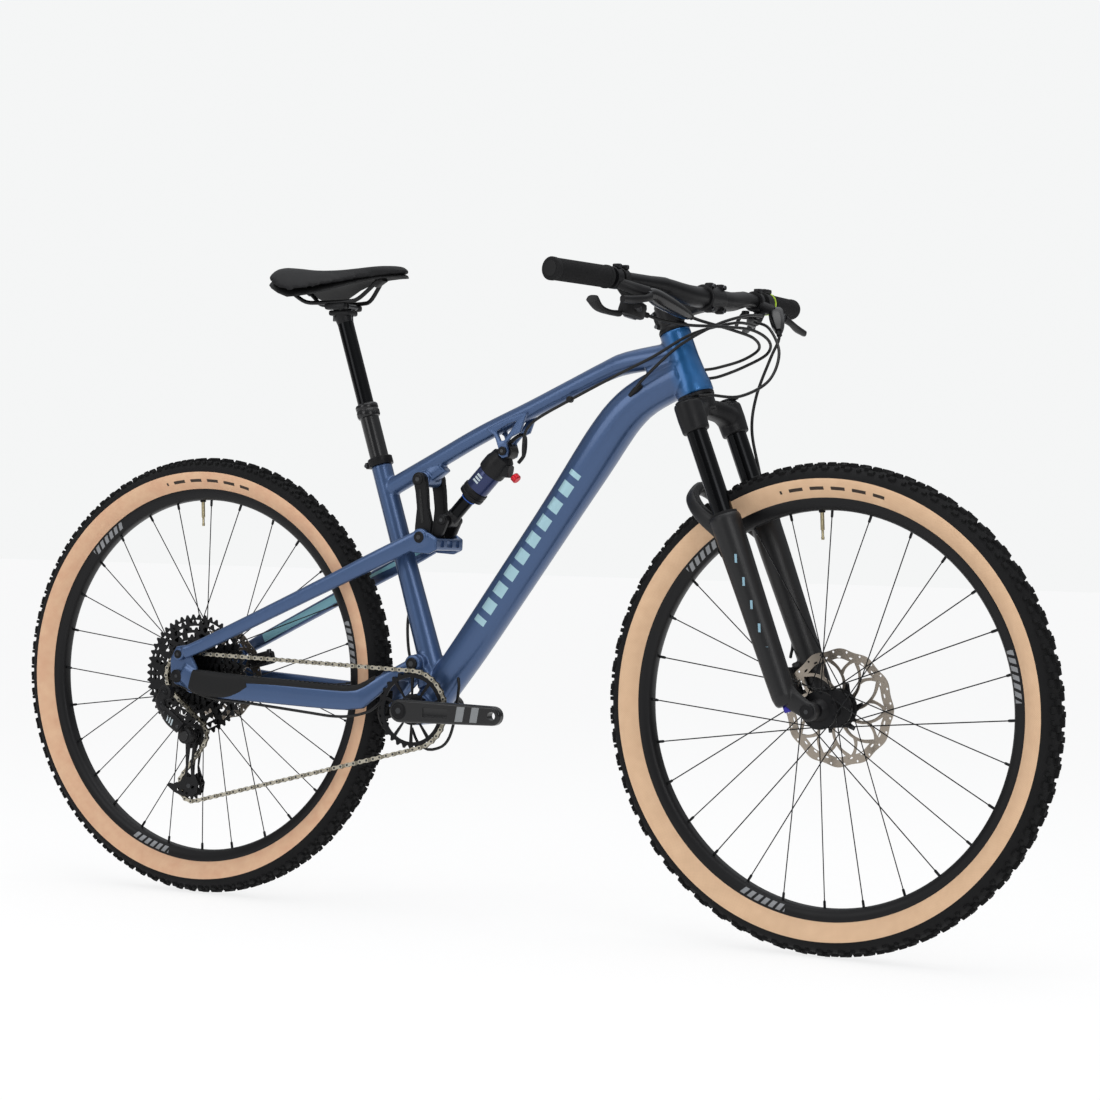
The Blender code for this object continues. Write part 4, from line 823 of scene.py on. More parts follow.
def welded(name: str, pieces: Sequence[Piece], grain: float, rounds: int = 6,
        cuts: Sequence[Piece] = ()) -> Piece:
    """Melts overlapping bodies into one skin with filleted joints, then cuts holes.

    Args:
        name: the piece's name.
        pieces: the bodies.
        grain: size of the skin's squares, in metres.
        rounds: how often the skin is relaxed, which sets the fillets.
        cuts: bodies to subtract.

    Returns:
        The finished piece.
    """
    piece = joined(name, pieces)
    use_modifier(piece, "REMESH", mode="VOXEL", voxel_size=grain, adaptivity=0.0)
    use_modifier(piece, "SMOOTH", factor=0.5, iterations=rounds)
    for tool in cuts:
        cut(piece, tool)
    pick(piece)
    bpy.ops.object.shade_smooth_by_angle(angle=math.radians(40))
    return piece


def copied(piece: Piece, places: Iterable[Matrix]) -> list[Piece]:
    """One copy of the piece, with its own mesh, for each place; the pattern piece is removed.

    Args:
        piece: the pattern.
        places: one transform for each copy.

    Returns:
        The pieces.
    """
    made = []
    for place in places:
        copy = bpy.data.objects.new(piece.name, piece.data.copy())
        bpy.context.collection.objects.link(copy)
        copy.data.transform(place)
        made.append(copy)
    bpy.data.objects.remove(piece)
    return made


def turns(count: int, start: float = 0.0) -> list[Matrix]:
    """Evenly spaced turns about the Y axis, from a start given in spacings."""
    return [Matrix.Rotation(TAU * (k + start) / count, 4, "Y") for k in range(count)]


def span(side: int, near: float, far: float) -> list[float]:
    """Two distances from the middle plane as the low and high y on one side."""
    return sorted((side * near, side * far))


def key_recess(centre: Vector, side: int, near: float, far: float, radius: float) -> Piece:
    """The hexagonal key recess in a bolt head on one side."""
    return paint(across("hex", centre, *span(side, near, far), radius, 0, 6), BOLT_STEEL)


def moved(piece: Piece, place: Matrix) -> Piece:
    """Moves the piece's own points."""
    piece.data.transform(place)
    return piece


def about(centre: Point, angle: float, axis: Point = (0, 1, 0)) -> Matrix:
    """A turn about a point."""
    return (Matrix.Translation(centre) @ Matrix.Rotation(angle, 4,
        Vector(axis)) @ Matrix.Translation(-Vector(centre)))


def fit(piece: Piece, body: str, nodes: Sequence[str] = ()) -> Piece:
    """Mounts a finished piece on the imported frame.

    Args:
        piece: the piece, in place.
        body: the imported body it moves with.
        nodes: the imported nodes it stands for.

    Returns:
        The same piece.
    """
    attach(piece, body)
    if nodes:
        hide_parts(*nodes)
    LOG.info("fitted %s", piece.name)
    return piece


def bend(piece: Piece, bodies: tuple[str, str], start: Point, end: Point, node: str,
        slot: str) -> None:
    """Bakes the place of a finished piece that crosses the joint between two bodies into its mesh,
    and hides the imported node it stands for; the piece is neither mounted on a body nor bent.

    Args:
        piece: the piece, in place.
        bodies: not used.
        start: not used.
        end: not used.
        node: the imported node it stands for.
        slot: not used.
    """
    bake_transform(piece)
    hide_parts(node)
    LOG.info("fitted %s", piece.name)


def both(sign_free: Iterable[float]) -> Iterator[tuple[int, list[float]]]:
    """The sides -1 and 1, each with the sorted pair of distances on that side.

    Args:
        sign_free: distances from the middle plane.

    Returns:
        Each side with its pair.
    """
    pair = list(sign_free)
    for side in (-1, 1):
        yield side, sorted(side * value for value in pair)


class Steering:
    """Places on the steering axis, before and after the handlebar's turn."""

    turn = about(HEAD_FOOT, STEER_ANGLE, HEAD_SLOPE)

    @staticmethod
    def at(distance: float, ahead: float = 0.0, y: float = 0.0) -> Vector:
        """A point by its distance up the steerer, ahead of it and across, straight ahead."""
        forward = Vector((HEAD_SLOPE.z, 0, -HEAD_SLOPE.x))
        return HEAD_FOOT + HEAD_SLOPE * distance + forward * ahead + Vector((0, y, 0))

    @classmethod
    def fit(cls, piece: Piece, body: str, nodes: Sequence[str] = (),
            slot: str = "black_anodised") -> Piece:
        """Turns a piece that was modelled straight ahead, then mounts it."""
        return fit(moved(piece, cls.turn), body, nodes)


# ---- sub-assemblies ------------------------------------------------------------------------
@dataclass
class Studio:
    """Camera, pale floor and soft light."""

    focal: float = 85.99
    place: Point = (2.086, -3.6518, 0.5908)
    yaw: float = 0.5002
    pitch: float = 0.0016
    roll: float = 0.0266

    def build(self) -> None:
        """Sets up the camera, the floor and the lights."""
        self.camera()
        deselect()
        bpy.ops.mesh.primitive_plane_add(size=120.0, location=(0, 0, -0.0004))
        floor = bpy.context.object
        floor.name = "floor"
        ground = Finish("matte_studio_floor", "#757575", 0.95, 0.0, Pattern.ANODISED, 40.0, 0.01,
            tint=0.01).material()
        glow = ground.node_tree.nodes["Principled BSDF"]
        glow.inputs["Emission Color"].default_value = linear("#ffffff")
        glow.inputs["Emission Strength"].default_value = 0.8
        floor.data.materials.append(ground)
        world = bpy.data.worlds.new("studio")
        world.use_nodes = True
        tree = world.node_tree
        seen = tree.nodes["Background"]
        seen.inputs[0].default_value = linear("#f7f8f8")
        seen.inputs[1].default_value = 0.98
        way = add_node(tree, "ShaderNodeSeparateXYZ", None, {0: add_node(tree,
            "ShaderNodeTexCoord").outputs["Generated"]})
        height = add_node(tree, "ShaderNodeMapRange", {"interpolation_type": "SMOOTHSTEP"},
            {0: way.outputs[2], 1: 0.05, 2: 0.85, 3: 0.14, 4: 0.85})
        light = add_node(tree, "ShaderNodeBackground", None, {0: linear("#f6f8fb"),
            1: height.outputs[0]})
        ray = add_node(tree, "ShaderNodeLightPath")
        pair = add_node(tree, "ShaderNodeMixShader", None, {0: ray.outputs["Is Camera Ray"],
            1: light.outputs[0], 2: seen.outputs[0]})
        tree.links.new(pair.outputs[0], tree.nodes["World Output"].inputs[0])
        bpy.context.scene.world = world
        for name, size, power, place, target in (("overhead", 2.8, 40.0, (0.2, -0.4, 3.4), (0, 0,
                0.3)), ("front_fill", 1.6, 28.0, (3.0, -2.6, 1.9), (0.1, 0, 0.5)), ("side_fill",
                1.6, 22.0, (-1.6, -3.4, 1.8), (0, 0, 0.5))):
            lamp = bpy.data.lights.new(name, "AREA")
            lamp.size, lamp.energy = size, power
            light = bpy.data.objects.new(name, lamp)
            light.location = place
            light.rotation_euler = (Vector(target) - Vector(place)).to_track_quat("-Z",
                "Y").to_euler()
            bpy.context.collection.objects.link(light)
        bpy.context.scene.view_settings.view_transform = "Standard"

    def camera(self) -> None:
        """Places the camera from its yaw, pitch and roll."""
        ahead = Vector((-math.sin(self.yaw) * math.cos(self.pitch),
            math.cos(self.yaw) * math.cos(self.pitch), math.sin(self.pitch)))
        right = ahead.cross(Vector((0, 0, 1))).normalized()
        up = right.cross(ahead)
        c, s = math.cos(self.roll), math.sin(self.roll)
        turn = Matrix((c * right + s * up, c * up - s * right, -ahead)).transposed().to_4x4()
        deselect()
        bpy.ops.object.camera_add()
        camera = bpy.context.object
        camera.name = "camera"
        camera.data.lens = self.focal
        camera.matrix_world = Matrix.Translation(self.place) @ turn
        bpy.context.scene.camera = camera


@dataclass
class Wheel:
    """One wheel: tyre with knobs, rim, hub, spokes, valve and rotor."""

    name: str
    body: str
    centre: Vector
    sidewall: Finish
    rotor_y: float
    rotor_radius: float
    flanges: tuple[tuple[float, float], tuple[float, float]]
    hub_profile: Sequence[tuple[float, float]]
    seed: int
    coarse: bool = False
    valve_angle: float = math.radians(93)
    spokes: int = 28
    crown: float = 0.3385

    def place(self) -> Matrix:
        """The wheel's place, without the steering's turn."""
        return Matrix.Translation(self.centre)

    def put(self, piece: Piece, nodes: Sequence[str], slot: str) -> None:
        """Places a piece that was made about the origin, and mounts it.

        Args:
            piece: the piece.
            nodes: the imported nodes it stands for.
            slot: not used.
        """
        moved(piece, self.place())
        if self.body == "front_wheel":
            Steering.fit(piece, self.body, nodes, slot)
        else:
            fit(piece, self.body, nodes)

    def build(self) -> None:
        """Builds and mounts every piece of the wheel."""
        self.put(self.casing(), [f"{self.name}_tyre"], "tyre_rubber")
        self.put(self.tread(), [], "tyre_rubber")
        self.put(self.rim(), [f"{self.name}_rim"], "black_anodised")
        self.put(self.valve(), [], "black_steel")
        self.put(self.spoke_set(), [], "black_steel")
        hub = turned(f"{self.name}_hub_shell", self.hub_profile, (0, 0, 0), (0, 1, 0), 40)
        self.put(paint(hub, BLACK_ANODISED), [f"{self.name}_hub"], "black_anodised")
        self.put(self.rotor(), [f"{self.name}_rotor"], "rotor_steel")
        self.put(self.carrier(), [], "black_anodised")

    def casing(self) -> Piece:
        """The carcass: tan sides, black where the tread is moulded on.

        Returns:
            The finished piece.
        """
        half = [(0.3645, 0.0), (0.3635, 0.0088), (0.3602, 0.0168), (0.3552, 0.0228), (0.352,
            0.0252), (0.345, 0.0272), (0.339, 0.0272), (0.331, 0.0254), (0.3235, 0.0202), (0.3175,
            0.015), (0.3125, 0.0118)]
        profile = half + [(r, -y) for r, y in reversed(half[1:])]
        piece = revolved(f"{self.name}_casing", profile, 160)
        map_round(piece, 0.345, lambda r, y: math.copysign(math.atan2(abs(y),
            r - self.crown) * 0.028, y))
        piece.data.materials.append(self.sidewall.material())
        piece.data.materials.append(TREAD_RUBBER.material())
        for face in piece.data.polygons:
            middle = face.center
            face.material_index = int(math.hypot(middle.x, middle.z) > 0.344
                or abs(middle.y) < 0.009)
        return piece

    def tread(self) -> Piece:
        """Tapered knobs in rows, each row one block repeated round the tyre.

        Returns:
            The finished piece.
        """
        rng = random.Random(self.seed)
        pitches = 62 if self.coarse else 84
        pitch = TAU / pitches
        rows = ((7, 0.012, 0.0072, 0.0), (-7, 0.012, 0.0072, 0.5), (24, 0.0085, 0.007, 0.3), (-24,
            0.0085, 0.007, 0.8), (41, 0.009, 0.0062, 0.05), (-41, 0.009, 0.0062, 0.55), (41,
            0.0055, 0.005, 0.55), (-41, 0.0055, 0.005, 0.05))
        made = []
        for degrees, length, width, start in rows:
            scale = 1.22 if self.coarse else 1.0
            angle = math.radians(degrees)
            knob = self.knob(length * scale, width * scale, angle)
            spots = [Matrix.Rotation(-(k + start + rng.uniform(-0.03, 0.03)) * pitch, 4, "Y")
                for k in range(pitches)]
            made += copied(knob, spots)
        tread = joined(f"{self.name}_tread", made)
        return paint(tread, TREAD_RUBBER)

    def knob(self, length: float, width: float, angle: float) -> Piece:
        """One knob at the tyre's front, leaning out by the angle round the casing.

        Args:
            length: its length round the tyre.
            width: its width.
            angle: its lean, in radians.

        Returns:
            The finished piece.
        """
        deselect()
        bpy.ops.mesh.primitive_cube_add(size=1.0)
        knob = bpy.context.object
        knob.name = "knob"
        tall = 0.0075 if self.coarse else 0.0066
        top = 0.0311 if abs(angle) < 0.3 else 0.0318
        for corner in knob.data.vertices:
            taper = 0.74 if corner.co.z > 0 else 1.1
            corner.co = Vector((corner.co.x * length * taper, corner.co.y * width * taper,
                (corner.co.z - 0.5) * tall + top))
        lean = Matrix.Rotation(-angle, 4, "X")
        # The knob's z becomes outward at the front of the wheel.
        knob.data.transform(Matrix.Rotation(math.pi / 2, 4, "Y") @ Matrix.Translation((0, 0,
            self.crown)) @ lean)
        return knob

    def rim(self) -> Piece:
        """A hooked rim with a shallow well and a rounded inner face.

        Returns:
            The finished piece.
        """
        half = [(0.3045, 0.0), (0.3045, 0.008), (0.308, 0.0118), (0.3163, 0.0124), (0.3165,
            0.0146), (0.314, 0.015), (0.308, 0.0142), (0.302, 0.0122), (0.2985, 0.0085), (0.2975,
            0.004), (0.2973, 0.0)]
        profile = half + [(r, -y) for r, y in reversed(half[1:-1])]
        piece = revolved(f"{self.name}_rim_hoop", profile, 160)
        map_round(piece, 0.3075, lambda r, y: r)
        return paint(piece, RIM_BLACK)

    def valve(self) -> Piece:
        """The valve stem, its nut and cap, pointing at the hub.

        Returns:
            The finished piece.
        """
        c, s = math.cos(self.valve_angle), math.sin(self.valve_angle)
        inward = Vector((-c, 0, -s))
        foot = Vector((c, 0, s)) * 0.2985
        stem = paint(turned(f"{self.name}_valve", [(0.003, 0), (0.003, 0.03), (0.002, 0.031),
            (0.002, 0.04), (0.0026, 0.041), (0.0022, 0.045)], foot, inward, 16), BRASS)
        nut = paint(turned("nut", [(0.005, 0), (0.005, 0.0035), (0.0042, 0.0042)], foot, inward,
            12), BLACK_ANODISED)
        return joined(f"{self.name}_valve", [stem, nut])

    def spoke_set(self) -> Piece:
        """Tangent-laced spokes with nipples: one of each lacing, repeated round the hub.

        Returns:
            The finished piece.
        """
        per_side = self.spokes // 2
        made = []
        for side, (flange_y, flange_r) in enumerate(self.flanges):
            for way in (0, 1):
                angle = TAU * (way + 0.5 * side) / per_side
                foot = angle + math.radians(72 if way else -72)
                out = 0.0022 if way else -0.0022
                start = Vector((flange_r * math.cos(foot), flange_y + out,
                    flange_r * math.sin(foot)))
                end = Vector((0.299 * math.cos(angle), math.copysign(0.003, flange_y),
                    0.299 * math.sin(angle)))
                along = (end - start).normalized()
                wire = pin("spoke", start - along * 0.003, end, 0.00095, sides=6)
                nipple = turned("nipple", [(0.0018, 0), (0.0022, 0.002), (0.0022, 0.013)],
                    end - along * 0.012, along, 8)
                elbow = turned("elbow", [(0.0022, 0), (0.0014, 0.0012)], start + Vector((0,
                    math.copysign(0.0014, out), 0)), (0, -math.copysign(1, out), 0), 8)
                pattern = joined("spoke", [wire, nipple, elbow])
                made += copied(pattern, [Matrix.Rotation(4 * math.pi * k / per_side, 4, "Y")
                    for k in range(per_side // 2)])
        return paint(joined(f"{self.name}_spokes", made), SPOKE_STEEL)

    def rotor(self) -> Piece:
        """A rotor with a scalloped track, drilled holes and swept arms.

        Returns:
            The finished piece.
        """
        outer, inner = self.rotor_radius, self.rotor_radius - 0.0165
        lobes, per_lobe = 12, 10
        count = lobes * per_lobe
        ring = []
        for k in range(count):
            angle = TAU * k / count
            wave = math.cos(angle * lobes)
            ring.append((angle, outer - 0.0016 + 0.0016 * wave, inner + 0.0012 * wave))
        low, high = self.rotor_y - 0.0009, self.rotor_y + 0.0009
        disc = plate(f"{self.name}_disc", [(r * math.cos(a), r * math.sin(a)) for a, r, _ in ring],
            low, high, 0.0)
        hole = plate("hole", [(r * math.cos(a), r * math.sin(a)) for a, _, r in ring], low - 0.01,
            high + 0.01, 0.0)
        drill = pin("drill", (outer - 0.0052, low - 0.01, 0), (outer - 0.0052, high + 0.01, 0),
            0.0019, sides=10)
        slot = swept("slot", [(outer - 0.0128, low - 0.01, 0.0015), (outer - 0.0128, high + 0.01,
            0.0015)], [0.0016] * 2, [0.0038] * 2, 10)
        drills = joined("drills", copied(drill, turns(24, 0.5)) + copied(slot, turns(24)))
        for tool in (hole, drills):
            cut(disc, tool)
        arm_set = []
        for bend, foot, count in ((math.radians(34), 0.026, 10), (math.radians(-14), 0.052, 10)):
            route = []
            for t in (0.0, 0.35, 0.7, 1.0):
                r = foot + (inner + 0.003 - foot) * t
                a = math.radians(34) * ((foot - 0.026) / (inner - 0.023)) ** 1.3 + bend * t ** 1.3
                route.append((r * math.cos(a), self.rotor_y, r * math.sin(a)))
            arm = swept("arm", route, [0.0008] * 4, [0.0036, 0.0026, 0.0025, 0.0034], 8, square=4,
                step=0.006)
            arm_set += copied(arm, turns(count))
        return paint(smooth(joined(f"{self.name}_disc", [disc] + arm_set)), ROTOR_STEEL)

    def carrier(self) -> Piece:
        """The rotor's black spider and its lock ring.

        Returns:
            The finished piece.
        """
        y = self.rotor_y
        ring = turned("ring", [(0.0285, y - 0.0022), (0.03, y - 0.0012), (0.03, y + 0.0012),
            (0.0225, y + 0.0026)], (0, 0, 0), (0, 1, 0), 36)
        lock = turned("lock", [(0.0212, y), (0.0212, y + 0.0048), (0.019, y + 0.0056)], (0, 0, 0),
            (0, 1, 0), 24)
        stub = swept("stub", [(0.027, y, 0), (0.0395, y, 0.008)], [0.0014, 0.0012], [0.0052,
            0.0032], 10)
        stubs = copied(stub, turns(6))
        rivet = across("rivet", (0.0375, 0, 0.0066), y - 0.0022, y + 0.0022, 0.0021, 0.0004, 10)
        rivets = copied(rivet, turns(6))
        for piece in rivets:
            paint(piece, BOLT_STEEL)
        for piece in (ring, lock, *stubs):
            paint(piece, BLACK_ANODISED)
        return joined(f"{self.name}_carrier", [ring, lock, *stubs, *rivets])


FRONT_WHEEL = Wheel("front", "front_wheel", Vector((0.0, 0.0, 0.0)), FRONT_SIDEWALL, 0.0394, 0.09,
    ((-0.03, 0.0265), (0.024, 0.0265)), [(0.01, -0.0545), (0.011, -0.0535), (0.011, -0.042),
    (0.0135, -0.04), (0.018, -0.034), (0.0285, -0.0325), (0.029, -0.0315), (0.029, -0.0285),
    (0.028, -0.0275), (0.0165, -0.024), (0.0135, -0.012), (0.013, 0.002), (0.015, 0.015), (0.027,
    0.0205), (0.029, 0.0215), (0.029, 0.0255), (0.0275, 0.0268), (0.0235, 0.03), (0.0235, 0.0374),
    (0.02, 0.0378), (0.02, 0.0418), (0.0125, 0.0425), (0.011, 0.044), (0.011, 0.0535), (0.01,
    0.0545)], seed=3, coarse=True)
REAR_WHEEL = Wheel("rear", "rear_wheel", REAR_AXLE, REAR_SIDEWALL, 0.0494, 0.08, ((-0.0225,
    0.0285), (0.034, 0.0285)), [(0.011, -0.0735), (0.0115, -0.0725), (0.0115, -0.03), (0.02,
    -0.029), (0.03, -0.0245), (0.031, -0.0235), (0.031, -0.0205), (0.03, -0.0195), (0.018, -0.015),
    (0.0155, 0.005), (0.0165, 0.026), (0.0295, 0.032), (0.031, 0.033), (0.031, 0.036), (0.0295,
    0.037), (0.024, 0.04), (0.0235, 0.0475), (0.0205, 0.048), (0.0205, 0.052), (0.0125, 0.053),
    (0.011, 0.055), (0.011, 0.0725), (0.01, 0.0735)], seed=5)


@dataclass
class MainFrame:
    """The welded front frame, its headset cups, seat clamp, bearings and dropper tube."""

    down_tube: Sequence[Point] = ((-0.128, 0, 0.335), (-0.054, 0, 0.4316), (0.0258, 0, 0.543),
        (0.1053, 0, 0.6548), (0.165, 0, 0.741), (0.19, 0, 0.777), (0.218, 0, 0.812), (0.253, 0,
        0.84), (0.318, 0, 0.872))
    down_half: Sequence[float] = (0.0275, 0.029, 0.0298, 0.0305, 0.0325, 0.0325, 0.0315, 0.03,
        0.029)
    top_tube: Sequence[Point] = ((-0.214, 0, 0.6895), (-0.12, 0, 0.7385), (-0.0368, 0, 0.7815),
        (0.05, 0, 0.82), (0.128, 0, 0.8555), (0.184, 0, 0.88), (0.222, 0, 0.8925), (0.31, 0,
        0.906))
    top_half: Sequence[float] = (0.015, 0.0145, 0.0142, 0.014, 0.0145, 0.0158, 0.018, 0.02)
    head_length: float = 0.1055

    def build(self) -> None:
        """Builds and mounts the front frame and what is fixed to it."""
        fit(self.weldment(), "frame", ["main_frame"])
        fit(self.shock_mount(), "frame", ())
        fit(self.headset(), "frame", ["headset_cover"])
        fit(self.clamp(), "frame", ["seat_clamp"])
        fit(self.bearings(), "frame", ["bottom_bracket", "main_pivot_axle", "rocker_pivot_axle"])
        fit(self.dropper(), "frame", ["dropper_outer"])
        fit(self.ports(), "frame", ())

    def weldment(self) -> Piece:
        """All tubes melted into one skin, with weld fillets.

        Returns:
            The finished piece.
        """
        down = swept("down", self.down_tube, [r * 0.97 for r in self.down_half], self.down_half,
            28, square=2.35, step=0.014)
        top = swept("top", self.top_tube, [r * 1.04 for r in self.top_half], [r * 0.98
            for r in self.top_half], 24, square=2.3, step=0.014)
        head = turned("head", [(0.029, 0.0), (0.0295, 0.0015), (0.0292, 0.014), (0.0262, 0.032),
            (0.024, 0.06), (0.0236, 0.083), (0.0245, 0.0985), (0.0242, self.head_length)],
            HEAD_FOOT, HEAD_SLOPE, 36)
        seat_foot = Vector((-0.1125, 0, 0.376))
        seat = swept("seat", [seat_foot, (-0.147, 0, 0.48), (-0.182, 0, 0.586), SEAT_TOP], [0.02,
            0.018, 0.0172, 0.0172], [0.0215, 0.0195, 0.0176, 0.0172], 24, step=0.03)
        shell = across("shell", BOTTOM_BRACKET, -0.0365, 0.0365, 0.0255, 0.001, 40)
        lug = across("lug", MAIN_PIVOT, -0.0305, 0.0305, 0.0155, 0.001, 32)
        eye = across("eye", ROCKER_AXLE, -0.0215, 0.0215, 0.0125, 0.001, 28)
        eye_web = swept("web", [(-0.115, 0, 0.733), (-0.127, 0, 0.719), ROCKER_AXLE], [0.013,
            0.015, 0.017], [0.02, 0.015, 0.0105], 16, square=3)
        box = swept("box", [(-0.118, 0, 0.372), (-0.128, 0, 0.4), MAIN_PIVOT], [0.03, 0.029,
            0.028], [0.018, 0.014, 0.013], 16, square=4)
        throat = swept("throat", [(0.262, 0, 0.872), (0.296, 0, 0.888), (0.322, 0, 0.896)],
            [0.0175, 0.0185, 0.019], [0.024, 0.03, 0.034], 20, square=2.4)
        frame = welded("front_frame", [down, top, head, seat, shell, lug, eye, eye_web, box,
            throat], 0.0018, 5)
        return paint(frame, FRAME_PAINT)

    def shock_mount(self) -> Piece:
        """Two A-shaped ears and the bridge that holds the shock's upper eye.

        Returns:
            The finished piece.
        """
        outline = [(-0.022, 0.788), (-0.007, 0.778), (0.0005, 0.7585), (0.002, 0.7465), (0.0085,
            0.7415), (0.0165, 0.744), (0.019, 0.753), (0.015, 0.766), (0.024, 0.776), (0.04,
            0.783), (0.052, 0.815), (0.03, 0.811), (0.0, 0.7985)]
        window = [(-0.003, 0.785), (0.0048, 0.769), (0.011, 0.77), (0.023, 0.786), (0.033, 0.801),
            (0.018, 0.7965)]
        ears = []
        for _, reach in both((0.0127, 0.0186)):
            ear = plate("ear", outline, *reach, edge=0.0)
            tool = plate("window", window, -0.1, 0.1, 0.0)
            cut(ear, tool)
            chamfer(ear, 0.0012, 2, 50)
            ears.append(paint(smooth(ear), FRAME_PAINT))
        bolts = []
        for side, reach in both((0.0184, 0.0222)):
            bolts.append(paint(across("bolt", SHOCK_UPPER, *reach, 0.0072, 0.001, 24),
                BLACK_ANODISED))
            bolts.append(paint(across("socket", SHOCK_UPPER, *span(side, 0.0219, 0.0224), 0.003, 0,
                6), BOLT_STEEL))
        return joined("shock_mount", ears + bolts)

    def headset(self) -> Piece:
        """The upper cover over its bearing and the lower cup's ring.

        Returns:
            The finished piece.
        """
        foot = HEAD_FOOT + HEAD_SLOPE * self.head_length
        cover = turned("cover", [(0.0243, 0.0), (0.0245, 0.0015), (0.0243, 0.004), (0.0225,
            0.0075), (0.019, 0.0105), (0.0172, 0.011)], foot, HEAD_SLOPE, 40)
        ring = turned("ring", [(0.028, 0.0), (0.0289, -0.0012), (0.0286, -0.0052)], HEAD_FOOT,
            HEAD_SLOPE, 40)
        return paint(joined("headset_rings", [cover, ring]), BLACK_ANODISED)

    def clamp(self) -> Piece:
        """The seat collar, its slot ears and bolt.

        Returns:
            The finished piece.
        """
        foot = SEAT_TOP - SEAT_SLOPE * 0.0004
        collar = turned("collar", [(0.02, 0.0), (0.0206, 0.0008), (0.0206, 0.0125), (0.0196,
            0.0135), (0.018, 0.0138)], foot, SEAT_SLOPE, 40)
        ear = brick("ear", foot + SEAT_SLOPE * 0.0068 + Vector((-0.0215, 0, -0.007)), (0.007,
            0.016, 0.0105), aim(SEAT_SLOPE), 0.0015)
        bolt = pin("bolt", foot + SEAT_SLOPE * 0.0068 + Vector((-0.0225, -0.01, -0.0075)),
            foot + SEAT_SLOPE * 0.0068 + Vector((-0.0225, 0.01, -0.0075)), 0.0032, 0.0005)
        paint(bolt, BOLT_STEEL)
        paint(collar, BLACK_ANODISED)
        paint(ear, BLACK_ANODISED)
        return joined("seat_collar", [collar, ear, bolt])

    def bearings(self) -> Piece:
        """Bottom-bracket cups and the caps of both frame pivots.

        Returns:
            The finished piece.
        """
        parts = []
        for side, reach in both((0.0362, 0.0458)):
            cup = across("cup", BOTTOM_BRACKET, *reach, 0.0238, 0.0012, 40)
            spline = across("spline", (BOTTOM_BRACKET.x + 0.0236, 0, BOTTOM_BRACKET.z), *span(side,
                0.037, 0.044), 0.0016, 0, 6)
            notches = copied(spline, [about(BOTTOM_BRACKET, TAU * k / 16) for k in range(16)])
            parts += [paint(p, BLACK_ANODISED) for p in (cup, *notches)]
            cap = across("cap", MAIN_PIVOT, *span(side, 0.03, 0.0464), 0.0098, 0.0012)
            hex_hole = across("hex", MAIN_PIVOT, *span(side, 0.046, 0.0466), 0.0048, 0, 6)
            eye = across("cap", ROCKER_AXLE, *span(side, 0.021, 0.0372), 0.0088, 0.0012)
            socket = across("hex", ROCKER_AXLE, *span(side, 0.0369, 0.0374), 0.004, 0, 6)
            parts += [paint(cap, BLACK_ANODISED), paint(eye, BLACK_ANODISED), paint(hex_hole,
                BOLT_STEEL), paint(socket, BOLT_STEEL)]
        return joined("frame_bearings", parts)

    def dropper(self) -> Piece:
        """The dropper post's fixed tube with its knurled collar.

        Returns:
            The finished piece.
        """
        foot = SEAT_TOP
        tube = turned("tube", [(0.0154, -0.02), (0.0155, 0.082), (0.0178, 0.0832), (0.0186, 0.085),
            (0.0186, 0.094), (0.018, 0.0948), (0.018, 0.0962), (0.0186, 0.097), (0.0186, 0.103),
            (0.0172, 0.1052), (0.015, 0.106)], foot, SEAT_SLOPE, 48)
        rib = pin("rib", foot + SEAT_SLOPE * 0.0855 + Vector((0, 0.0184, 0)),
            foot + SEAT_SLOPE * 0.0935 + Vector((0, 0.0184, 0)), 0.0006, sides=6)
        ribs = copied(rib, [about(foot, TAU * k / 36, SEAT_SLOPE) for k in range(36)])
        return paint(joined("dropper_tube", [tube, *ribs]), BLACK_GLOSS)

    def ports(self) -> Piece:
        """Rubber grommets where the cables enter the down tube and the head tube.

        Returns:
            The finished piece.
        """
        parts = []
        for side in (-1, 1):
            place = Vector((0.251, side * 0.0275, 0.849))
            parts.append(swept("grommet", [place + Vector((-0.012, side * 0.001, -0.01)),
                place + Vector((0, side * 0.0022, 0)), place + Vector((0.0085, side * 0.0012,
                0.0065))], [0.004, 0.0062, 0.004], [0.003, 0.0046, 0.0034], 14, step=0.003))
        return paint(joined("cable_grommets", parts), BLACK_PLASTIC)


